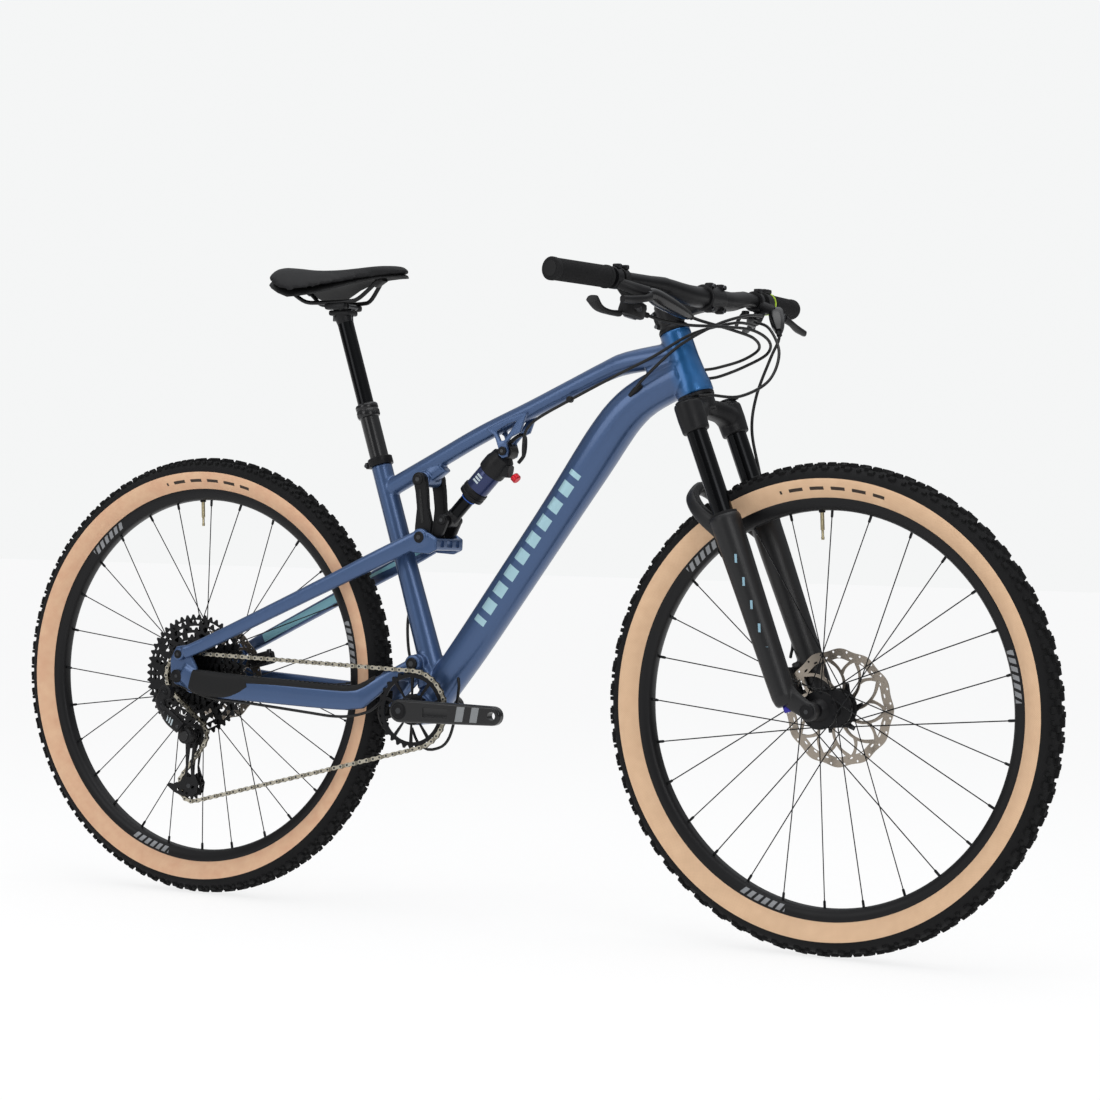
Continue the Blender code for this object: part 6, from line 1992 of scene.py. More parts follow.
    def cage(self) -> Piece:
        """Two windowed plates with a fin at the back of the lower jockey, and their bolts.

        Returns:
            The finished piece.
        """
        top, low = UPPER_JOCKEY, LOWER_JOCKEY
        outline = [(top.x - 0.0105, top.z + 0.006), (top.x - 0.004, top.z + 0.01), (top.x + 0.006,
            top.z + 0.01), (top.x + 0.012, top.z + 0.003), (top.x + 0.012, top.z - 0.008),
            (low.x + 0.006, low.z + 0.033), (low.x + 0.011, low.z + 0.02), (low.x + 0.0185,
            low.z + 0.006), (low.x + 0.016, low.z - 0.011), (low.x + 0.004, low.z - 0.0175),
            (low.x - 0.012, low.z - 0.018), (low.x - 0.03, low.z - 0.012), (low.x - 0.046,
            low.z - 0.001), (low.x - 0.04, low.z + 0.003), (low.x - 0.028, low.z + 0.001),
            (low.x - 0.016, low.z + 0.008), (low.x - 0.008, low.z + 0.02), (low.x - 0.007,
            low.z + 0.033)]
        slot = [(top.x + 0.0006, top.z - 0.014), (top.x + 0.005, top.z - 0.014), (low.x + 0.003,
            low.z + 0.031), (low.x + 0.0044, low.z + 0.015), (low.x - 0.0034, low.z + 0.015),
            (low.x - 0.003, low.z + 0.031)]
        parts = []
        for low_y, high_y in ((-0.0682, -0.0655), (-0.049, -0.0465)):
            side = plate("side", outline, low_y, high_y, 0.0)
            cutters = [plate("slot", slot, -0.1, 0.0, 0.0)]
            for x, z, r in ((-0.012, -0.009, 0.003), (-0.022, -0.007, 0.0026), (0.0085, -0.002,
                    0.0034), (-0.0035, -0.0125, 0.0024)):
                cutters.append(across("hole", (low.x + x, 0, low.z + z), -0.1, 0.0, r, 0, 12))
            tool = joined("cutters", cutters)
            cut(side, tool)
            chamfer(side, 0.0005, 1, 40)
            parts.append(paint(smooth(side), BLACK_CAST))
        for centre in (top, low):
            parts.append(paint(across("bolt", centre, -0.0692, -0.047, 0.004, 0.0005, 16),
                BOLT_STEEL))
        return joined("derailleur_cage_plates", parts)

    def jockey(self, name: str, centre: Vector, teeth: int) -> Piece:
        """A moulded jockey wheel with its teeth, windows and steel bush.

        Args:
            name: the piece's name.
            centre: its axle.
            teeth: number of teeth.

        Returns:
            The finished piece.
        """
        wheel = plate("wheel", self.toothed(teeth, 0.019, 0.0233, centre), self.cog_y - 0.0012,
            self.cog_y + 0.0012, 0.0)
        tool = self.windows(centre, 7, 0.0095, 0.015, 0.62)
        cut(wheel, tool)
        bush = across("bush", centre, self.cog_y - 0.0022, self.cog_y + 0.0022, 0.0062, 0.0004, 20)
        return joined(name, [paint(smooth(wheel), BLACK_PLASTIC), paint(bush, BOLT_STEEL)])


@dataclass(frozen=True)
class ForkPaint(Finish):
    """Satin black with short plain pale bars down the outside of each leg."""

    bar: str = "#8fb3c4"

    def base_colour(self, tree: Tree, here: Socket, uv: Socket) -> Socket:
        """Adds the bars, in line with the leg and on its outer face only.

        Args:
            tree: the material's nodes.
            here: object coordinates.
            uv: the piece's UV, in metres.

        Returns:
            The colour.
        """
        parts = add_node(tree, "ShaderNodeSeparateXYZ", None, {0: here}).outputs
        phase = maths(tree, "FRACT", maths(tree, "DIVIDE", parts[2], 0.034))
        lean = maths(tree, "ADD", parts[0], maths(tree, "MULTIPLY", parts[2], 0.3939))
        skew = maths(tree, "SUBTRACT", lean, maths(tree, "MULTIPLY", phase, 0.01))
        mask = maths(tree, "MULTIPLY", inside(tree, phase, 0.22, 0.6), maths(tree, "MULTIPLY",
            inside(tree, parts[2], 0.462, 0.606), inside(tree, skew, 0.6805, 0.684)))
        outer = add_node(tree, "ShaderNodeMath", {"operation": "GREATER_THAN"}, {0: maths(tree,
            "ABSOLUTE", parts[1]), 1: 0.072})
        return blend_colour(tree, maths(tree, "MULTIPLY", mask, outer.outputs[0]), self.colour,
            self.bar)


FORK_PAINT = ForkPaint("satin_black_fork_paint", "#121214", 0.42, 0.0, Pattern.CAST, 1.2, 0.02,
    specular=0.4)


@dataclass
class Fork:
    """Crown, stanchions and lowers with arch, dropouts, caliper and rebound knob."""

    leg_profile: Sequence[tuple[float, float]] = ((0.0135, -0.5035), (0.0165, -0.5), (0.0188,
        -0.49), (0.0196, -0.46), (0.0204, -0.4), (0.0216, -0.33), (0.023, -0.262), (0.0234, -0.22),
        (0.0239, -0.215), (0.0239, -0.208), (0.0228, -0.205), (0.0205, -0.2022))

    def build(self) -> None:
        """Builds and mounts the fork."""
        Steering.fit(self.uppers(), "steering", ["fork_upper"], "black_paint")
        Steering.fit(self.lowers(), "lowers", ["fork_lowers"], "black_paint")
        Steering.fit(self.axle(), "lowers", ["front_axle"], "black_anodised")
        turn = aim(HEAD_SLOPE) @ Matrix.Rotation(-math.pi / 2, 4, "Y")
        caliper = brake_caliper("front_brake_caliper", Steering.at(-0.462, -0.02, 0.0428), turn,
            (0.046, 0.025, 0.024))
        Steering.fit(caliper, "lowers", ["front_caliper"], "black_anodised")
        foot = Steering.at(-0.5034, LEG_AHEAD, -LEG_Y)
        knob = turned("rebound_dial", [(0.0062, 0), (0.007, 0.0012), (0.007, 0.0088), (0.0058,
            0.0104)], foot, -HEAD_SLOPE, 20)
        Steering.fit(paint(knob, VIOLET), "rebound_dial", ["rebound_knob"], "violet_anodised")

    def leg(self, side: int, distance: float, ahead: float = LEG_AHEAD) -> Vector:
        """A point on a leg's centre line."""
        return Steering.at(distance, ahead, side * LEG_Y)

    def uppers(self) -> Piece:
        """The forged crown, both stanchions, the steerer and the leg caps.

        Returns:
            The finished piece.
        """
        parts = [turned("race", [(0.024, -0.03), (0.0262, -0.026), (0.0265, -0.012), (0.025,
            -0.0066)], HEAD_FOOT, HEAD_SLOPE, 36)]
        route = [self.leg(-1, -0.047), Steering.at(-0.033, 0.0125, -0.044), Steering.at(-0.024,
            0.004, -0.02), Steering.at(-0.022, 0.0, 0.0), Steering.at(-0.024, 0.004, 0.02),
            Steering.at(-0.033, 0.0125, 0.044), self.leg(1, -0.047)]
        parts.append(swept("bridge", route, [0.02, 0.0195, 0.0205, 0.0215, 0.0205, 0.0195, 0.02],
            [0.019, 0.0165, 0.015, 0.0145, 0.015, 0.0165, 0.019], 20, square=2.6, step=0.008))
        extras = []
        for side in (-1, 1):
            foot = self.leg(side, 0.0)
            parts.append(turned("socket", [(0.02, -0.068), (0.0212, -0.066), (0.0222, -0.045),
                (0.0218, -0.024), (0.0205, -0.0205)], foot, HEAD_SLOPE, 36))
            extras.append(paint(turned("stanchion", [(0.0159, -0.352), (0.016, -0.06)], foot,
                HEAD_SLOPE, 40), STANCHION))
            extras.append(paint(turned("cap", [(0.018, -0.021), (0.018, -0.018), (0.016, -0.0165),
                (0.012, -0.016), (0.0118, -0.012), (0.01, -0.0108)], foot, HEAD_SLOPE, 32),
                BLACK_ANODISED))
            extras.append(paint(brick("lever", foot + HEAD_SLOPE * -0.0145 + Vector((0.01, 0,
                0.004)), (0.022, 0.011, 0.0045), aim(HEAD_SLOPE), 0.0015), BLACK_ANODISED))
        crown = paint(welded("crown", parts, 0.0016, 4), BLACK_CAST)
        steerer = paint(turned("steerer", [(0.0143, -0.01), (0.0143, 0.15)], HEAD_FOOT, HEAD_SLOPE,
            32), BLACK_ANODISED)
        return joined("fork_crown", [crown, steerer, *extras])

    def lowers(self) -> Piece:
        """Both legs, the arch behind them and the dropouts in one casting, with its seals.

        Returns:
            The finished piece.
        """
        parts, extras = [], []
        for side in (-1, 1):
            foot = self.leg(side, 0.0)
            parts.append(turned("leg", self.leg_profile, foot, HEAD_SLOPE, 36))
            parts.append(swept("web", [self.leg(side, -0.462, 0.01), self.leg(side, -0.492, 0.021),
                self.leg(side, -0.5105, 0.034), self.leg(side, -AXLE_DROP, FORK_OFFSET)], [0.0105,
                0.0095, 0.0085, 0.008], [0.0165, 0.0155, 0.014, 0.0125], 18, square=2.8,
                step=0.006))
            axle = Steering.at(-AXLE_DROP, FORK_OFFSET)
            parts.append(across("boss", axle, *span(side, 0.0553, 0.0718), 0.0143, 0.0015, 32))
            extras.append(paint(turned("seal", [(0.0178, -0.204), (0.0212, -0.2034), (0.0208,
                -0.1996), (0.0168, -0.1984)], foot, HEAD_SLOPE, 36), GRIP_RUBBER))
        for distance in (-0.44, -0.484):
            parts.append(swept("tab", [self.leg(1, distance, 0.006), Steering.at(distance, -0.012,
                0.05)], [0.008, 0.006], [0.008, 0.0065], 14))
        half = [(-0.225, 0.003, 0.067), (-0.186, -0.024, 0.06), (-0.156, -0.038, 0.044), (-0.141,
            -0.041, 0.018)]
        route = [Steering.at(d, a, -y) for d, a, y in half]
        route += [Steering.at(-0.1375, -0.0415, 0.0)]
        route += [Steering.at(d, a, y) for d, a, y in reversed(half)]
        parts.append(swept("arch", route, [0.0085] * 9, [0.015, 0.0125, 0.0115, 0.011, 0.011,
            0.011, 0.0115, 0.0125, 0.015], 18, square=2.8, step=0.008))
        casting = paint(welded("lowers", parts, 0.0016, 5), FORK_PAINT)
        return joined("fork_casting", [casting, *extras])

    def axle(self) -> Piece:
        """The front thru-axle with its lever head.

        Returns:
            The finished piece.
        """
        centre = Steering.at(-AXLE_DROP, FORK_OFFSET)
        rod = across("rod", centre, -0.075, 0.0735, 0.0088, 0.001)
        head = across("head", centre, -0.0755, -0.0722, 0.0112, 0.001, 28)
        socket = paint(across("hex", centre, -0.0758, -0.075, 0.0036, 0, 6), BOLT_STEEL)
        return joined("front_thru_axle", [paint(rod, BLACK_ANODISED), paint(head, BLACK_ANODISED),
            socket])


@dataclass
class Cockpit:
    """Stem, handlebar, grips, brakes, shifter and the two remotes, modelled straight ahead."""

    half_path: Sequence[Point] = ((0.0, 0.3588, 0.989), (0.055, 0.3588, 0.989), (0.085, 0.3565,
        0.9915), (0.12, 0.3515, 0.9965), (0.16, 0.345, 0.9995), (0.388, 0.308, 1.003))
    bar_radii: Sequence[tuple[float, float]] = ((0.052, 0.0159), (0.12, 0.0132), (0.165, 0.0111))

    def build(self) -> None:
        """Builds and mounts everything at the handlebar."""
        Steering.fit(self.stem(), "steering", ["stem"], "black_anodised")
        Steering.fit(self.bar(), "steering", ["handlebar"], "black_anodised")
        for side, name in ((-1, "right"), (1, "left")):
            Steering.fit(self.grip(side, name), "steering", [f"grip_{name}"], "grip_rubber")
        Steering.fit(self.master_right(), "steering", ["brake_master_right"], "black_plastic")
        Steering.fit(self.master_left(), "steering", ["brake_master_left"], "black_plastic")
        for name, body, route in (("right", "brake_lever_r", ((0.376, -0.217, 0.974), (0.3765,
                -0.235, 0.97), (0.37, -0.26, 0.967), (0.369, -0.2865, 0.966))), ("left",
                "brake_lever_l", ((0.378, 0.222, 0.974), (0.3805, 0.24, 0.968), (0.379, 0.265,
                0.961), (0.38, 0.292, 0.955)))):
            blade = swept(f"brake_blade_{name}", route, [0.0048, 0.004, 0.0046, 0.0044], [0.0062,
                0.0052, 0.0058, 0.005], 16, square=2.8, step=0.004)
            Steering.fit(paint(blade, BLACK_CAST), body, [f"brake_lever_{name}"], "black_anodised")
        Steering.fit(self.shifter(), "steering", ["shifter_body"], "black_plastic")
        Steering.fit(self.paddle("shift_paddle_blade", ((0.325, -0.219, 0.951), (0.319, -0.24,
            0.952), (0.314, -0.26, 0.957), (0.313, -0.277, 0.969)), (0.007, 0.006, 0.0082, 0.01),
            (0.0048, 0.004, 0.0052, 0.0066)), "shift_paddle", ["shift_lever"], "black_plastic")
        Steering.fit(self.remotes(), "steering", ["remote_body"], "black_plastic")
        Steering.fit(self.paddle("dropper_blade", ((0.339, 0.176, 0.958), (0.329, 0.19, 0.955),
            (0.316, 0.208, 0.954), (0.3085, 0.224, 0.957)), (0.004, 0.0042, 0.0058, 0.0052),
            (0.003, 0.0028, 0.003, 0.003)), "dropper_paddle", ["dropper_lever"], "black_plastic")
        Steering.fit(self.paddle("lockout_blade", ((0.349, 0.134, 0.976), (0.343, 0.13, 0.967),
            (0.342, 0.125, 0.957)), (0.0052, 0.0056, 0.0046), (0.0034, 0.003, 0.0028)),
            "lockout_paddle", ["lockout_lever"], "black_plastic")

    def at(self, y: float) -> Vector:
        """The bar's centre at a distance across.

        Args:
            y: distance across.

        Returns:
            The point.
        """
        side, reach = math.copysign(1, y), abs(y)
        for (y0, x0, z0), (y1, x1, z1) in zip(self.half_path, self.half_path[1:]):
            if reach <= y1:
                share = (reach - y0) / (y1 - y0)
                return Vector((x0 + (x1 - x0) * share, side * reach, z0 + (z1 - z0) * share))
        raise ValueError(f"y = {y} is past the bar's end")

    def radius(self, y: float) -> float:
        """The bar's radius at a distance across.

        Args:
            y: distance across.

        Returns:
            Metres.
        """
        reach = abs(y)
        for (y0, r0), (y1, r1) in zip(self.bar_radii, self.bar_radii[1:]):
            if y0 <= reach <= y1:
                return r0 + (r1 - r0) * (reach - y0) / (y1 - y0)
        return self.bar_radii[0][1] if reach < self.bar_radii[0][0] else self.bar_radii[-1][1]

    @staticmethod
    def paddle(name: str, route: Sequence[Point], widths: Sequence[float],
            heights: Sequence[float]) -> Piece:
        """A thumb paddle along a short route."""
        return paint(swept(name, route, widths, heights, 16, square=2.8, step=0.004),
            BLACK_PLASTIC)

    def bar(self) -> Piece:
        """The riser bar, tapered from the clamp to the grips.

        Returns:
            The finished piece.
        """
        points = [Vector((x, -y, z)) for y, x, z in reversed(self.half_path)]
        points += [Vector((x, y, z)) for y, x, z in self.half_path[1:]]
        route = smooth_route(points, 0.008)
        return paint(swept("riser_bar", route, [self.radius(p.y) for p in route], sides=28),
            BLACK_ANODISED)

    def stem(self) -> Piece:
        """Steerer clamp, reach, bar clamp with its faceplate, spacers, top cap and bolts.

        Returns:
            The finished piece.
        """
        centre = self.at(0.0)
        parts = [turned("clamp", [(0.0185, 0.1136), (0.0195, 0.115), (0.0195, 0.1515), (0.0185,
            0.1529)], HEAD_FOOT, HEAD_SLOPE, 36), swept("reach", [Steering.at(0.1335, 0.004),
            Steering.at(0.1325, 0.036), centre - Vector((0.004, 0, 0.001))], [0.016, 0.015, 0.02],
            [0.0165, 0.0145, 0.018], 22, square=2.8, step=0.006), across("bar_clamp", centre,
            -0.0235, 0.0235, 0.0206, 0.0015, 40), brick("ear", Steering.at(0.133, -0.0205), (0.01,
            0.016, 0.03), aim(HEAD_SLOPE), 0.003)]
        body = paint(welded("stem_body", parts, 0.0012, 3), BLACK_CAST)
        extras = []
        foot = HEAD_FOOT + HEAD_SLOPE * 0.0001
        for low, high in ((0.1045, 0.1088), (0.1092, 0.1134)):
            extras.append(paint(turned("spacer", [(0.0166, low), (0.0172, low + 0.0006), (0.0172,
                high - 0.0006), (0.0166, high)], foot, HEAD_SLOPE, 36), BLACK_ANODISED))
        extras.append(paint(turned("top_cap", [(0.0178, 0.153), (0.0178, 0.155), (0.0165, 0.1562),
            (0.006, 0.1566)], foot, HEAD_SLOPE, 36), BLACK_ANODISED))
        extras.append(paint(turned("cap_bolt", [(0.0048, 0.156), (0.0048, 0.158), (0.004, 0.1586)],
            foot, HEAD_SLOPE, 20), BOLT_STEEL))
        for y in (-0.0175, 0.0175):
            for z in (-0.0175, 0.0175):
                place = centre + Vector((0.013, y, z))
                extras.append(paint(pin("faceplate_bolt", place, place + Vector((0.0062, 0, 0)),
                    0.0036, 0.0005, 14), BOLT_STEEL))
                extras.append(paint(brick("lug", centre + Vector((0.009, y, z * 1.02)), (0.013,
                    0.0105, 0.01), None, 0.0025), BLACK_CAST))
        for distance in (0.1235, 0.1425):
            low = Steering.at(distance, -0.0235, -0.01)
            extras.append(paint(pin("bolt", low, low + Vector((0, 0.02, 0)), 0.0031, 0.0005, 14),
                BOLT_STEEL))
        return joined("stem_clamp", [body, *extras])

    def grip(self, side: int, name: str) -> Piece:
        """A ribbed grip with its end plug and inner collar.

        Args:
            side: -1 right, 1 left.
            name: the piece's name.

        Returns:
            The finished piece.
        """
        start, end = self.at(side * 0.262), self.at(side * 0.3875)
        length = (end - start).length
        profile = [(0.014, 0.0), (0.0172, 0.0008), (0.0173, 0.0048), (0.016, 0.0056)]
        at = 0.0076
        while at < length - 0.012:
            profile += [(0.0157, at), (0.0163, at + 0.0006), (0.0163, at + 0.0016), (0.0157,
                at + 0.0022)]
            at += 0.0028
        profile += [(0.016, length - 0.009), (0.017, length - 0.007), (0.0171, length - 0.0012),
            (0.016, length), (0.012, length + 0.0006)]
        rubber = paint(turned("rubber", profile, start, end - start, 40), GRIP_RUBBER)
        plug = paint(turned("plug", [(0.0118, length), (0.0112, length + 0.0014), (0.005,
            length + 0.002)], start, end - start, 32), BLACK_PLASTIC)
        return joined(f"bar_grip_{name}", [rubber, plug])

    def band(self, y: float, width: float, outer: float, finish: Finish) -> list[Piece]:
        """A hinged clamp band round the bar, with its bolt.

        Args:
            y: distance across.
            width: along the bar.
            outer: outer radius.
            finish: its finish.

        Returns:
            The pieces.
        """
        middle = self.at(y)
        along = (self.at(y + 0.004) - self.at(y - 0.004)).normalized()
        start = middle - along * (width / 2)
        ring = turned("band", [(outer - 0.001, 0.0), (outer, 0.0008), (outer, width - 0.0008),
            (outer - 0.001, width)], start, along, 32)
        ear = brick("ear", middle + Vector((0.006, 0, outer + 0.0006)), (0.011, width * 0.9,
            0.0065), None, 0.0015)
        bolt = pin("bolt", middle + Vector((0.012, 0, outer + 0.0014)), middle + Vector((0.0005, 0,
            outer + 0.0014)), 0.0026, 0.0004, 12)
        return [paint(ring, finish), paint(ear, finish), paint(bolt, BOLT_STEEL)]

    def master_right(self) -> Piece:
        """The right brake's clamp, long reservoir, lever hinge and hose nut.

        Returns:
            The finished piece.
        """
        parts = self.band(-0.247, 0.0125, 0.0164, BLACK_CAST)
        parts.append(paint(swept("body", [(0.3695, -0.214, 0.979), (0.369, -0.2, 0.979), (0.3692,
            -0.178, 0.974), (0.3715, -0.145, 0.9665), (0.374, -0.118, 0.96), (0.3752, -0.098,
            0.9558)], [0.008, 0.0105, 0.0128, 0.0122, 0.01, 0.007], [0.0075, 0.0098, 0.0116,
            0.0108, 0.009, 0.0066], 22, square=2.5, step=0.005), BLACK_GLOSS))
        parts.append(paint(swept("neck", [self.at(-0.247) + Vector((0.008, 0, -0.007)), (0.356,
            -0.232, 0.986), (0.369, -0.212, 0.981)], [0.0062, 0.0075, 0.0085], [0.008, 0.009,
            0.009], 14, step=0.006), BLACK_CAST))
        parts.append(paint(pin("hinge", (0.3755, -0.216, 0.968), (0.3755, -0.216, 0.982), 0.0042,
            0.0006, 16), BOLT_STEEL))
        parts.append(paint(pin("nut", (0.3752, -0.099, 0.956), (0.3762, -0.088, 0.9535), 0.0046,
            0.0005, 8), BLACK_ANODISED))
        parts.append(paint(brick("lid", (0.37, -0.165, 0.9815), (0.013, 0.046, 0.003),
            Matrix.Rotation(math.radians(-12), 4, "X"), 0.0012), BLACK_CAST))
        return joined("brake_reservoir_right", parts)

    def master_left(self) -> Piece:
        """The left brake's clamp, reservoir, lever hinge and hose nut.

        Returns:
            The finished piece.
        """
        parts = self.band(0.19, 0.0125, 0.0164, BLACK_CAST)
        parts.append(paint(swept("body", [(0.369, 0.216, 0.985), (0.3715, 0.208, 0.982), (0.375,
            0.198, 0.977), (0.3835, 0.186, 0.966), (0.389, 0.178, 0.958), (0.394, 0.171, 0.95)],
            [0.008, 0.0108, 0.0118, 0.0112, 0.0098, 0.0064], [0.008, 0.0104, 0.0112, 0.0106,
            0.0092, 0.0062], 22, square=2.5, step=0.004), BLACK_GLOSS))
        parts.append(paint(swept("neck", [self.at(0.19) + Vector((0.01, 0, -0.006)), (0.369, 0.199,
            0.985)], [0.0062, 0.0075], [0.008, 0.0085], 14), BLACK_CAST))
        parts.append(paint(pin("hinge", (0.3775, 0.22, 0.968), (0.3775, 0.22, 0.9815), 0.0042,
            0.0006, 16), BOLT_STEEL))
        parts.append(paint(pin("nut", (0.3925, 0.173, 0.952), (0.396, 0.169, 0.9425), 0.0046,
            0.0005, 8), BLACK_ANODISED))
        return joined("brake_reservoir_left", parts)

    def shifter(self) -> Piece:
        """The shifter's band, its round case, second lever and cable adjuster.

        Returns:
            The finished piece.
        """
        parts = self.band(-0.23, 0.011, 0.016, BLACK_PLASTIC)
        axis = Vector((0.25, 0.15, 1.0)).normalized()
        foot = Vector((0.335, -0.196, 0.96)) - axis * 0.013
        parts.append(paint(turned("case", [(0.016, 0.0), (0.02, 0.0022), (0.0206, 0.007), (0.0204,
            0.018), (0.0185, 0.023), (0.013, 0.025)], foot, axis, 36), BLACK_PLASTIC))
        parts.append(paint(turned("dial", [(0.0095, -0.0022), (0.0105, -0.001), (0.0105, 0.001)],
            foot, axis, 28), BOLT_STEEL))
        parts.append(paint(swept("hanger", [self.at(-0.23) + Vector((-0.002, 0, -0.01)), (0.337,
            -0.217, 0.98), (0.339, -0.202, 0.972)], [0.007, 0.009, 0.01], [0.006, 0.0085, 0.008],
            14, step=0.006), BLACK_PLASTIC))
        parts.append(paint(swept("release", [(0.348, -0.203, 0.956), (0.356, -0.214, 0.956), (0.36,
            -0.226, 0.96)], [0.0045, 0.0042, 0.0056], [0.003] * 3, 14, step=0.004), BLACK_PLASTIC))
        parts.append(paint(pin("adjuster", (0.344, -0.184, 0.953), (0.3492, -0.1738, 0.9505),
            0.0042, 0.0006, 14), BLACK_ANODISED))
        return joined("shifter_case", parts)

    def remotes(self) -> Piece:
        """The left band with its lime ring, and the arm that carries both thumb remotes.

        Returns:
            The finished piece.
        """
        parts = self.band(0.229, 0.028, 0.0182, BLACK_PLASTIC)
        middle = self.at(0.248)
        along = (self.at(0.252) - self.at(0.246)).normalized()
        parts.append(paint(turned("ring", [(0.018, 0.0), (0.0187, 0.0006), (0.0187, 0.0026),
            (0.018, 0.0032)], middle - along * 0.0016, along, 36), LIME))
        parts.append(paint(turned("collar", [(0.015, 0.0), (0.0166, 0.0008), (0.0166, 0.007),
            (0.015, 0.008)], self.at(0.2515), along, 36), BLACK_PLASTIC))
        parts.append(paint(swept("arm", [self.at(0.22) + Vector((0.002, -0.002, -0.016)), (0.34,
            0.195, 0.97), (0.346, 0.17, 0.966), (0.356, 0.15, 0.969), (0.369, 0.14, 0.9715)],
            [0.008, 0.0095, 0.008, 0.007, 0.0058], [0.007, 0.008, 0.0072, 0.0066, 0.0056], 18,
            square=2.5, step=0.005), BLACK_PLASTIC))
        for place in ((0.344, 0.174, 0.96), (0.352, 0.136, 0.974)):
            low = Vector(place) - Vector((0.0, 0.0, 0.006))
            parts.append(paint(pin("pivot", low, low + Vector((0, 0, 0.013)), 0.0062, 0.001, 20),
                BLACK_ANODISED))
        parts.append(paint(pin("adjuster", (0.369, 0.14, 0.9715), (0.378, 0.1352, 0.972), 0.004,
            0.0006, 14), BLACK_ANODISED))
        return joined("thumb_remotes", parts)


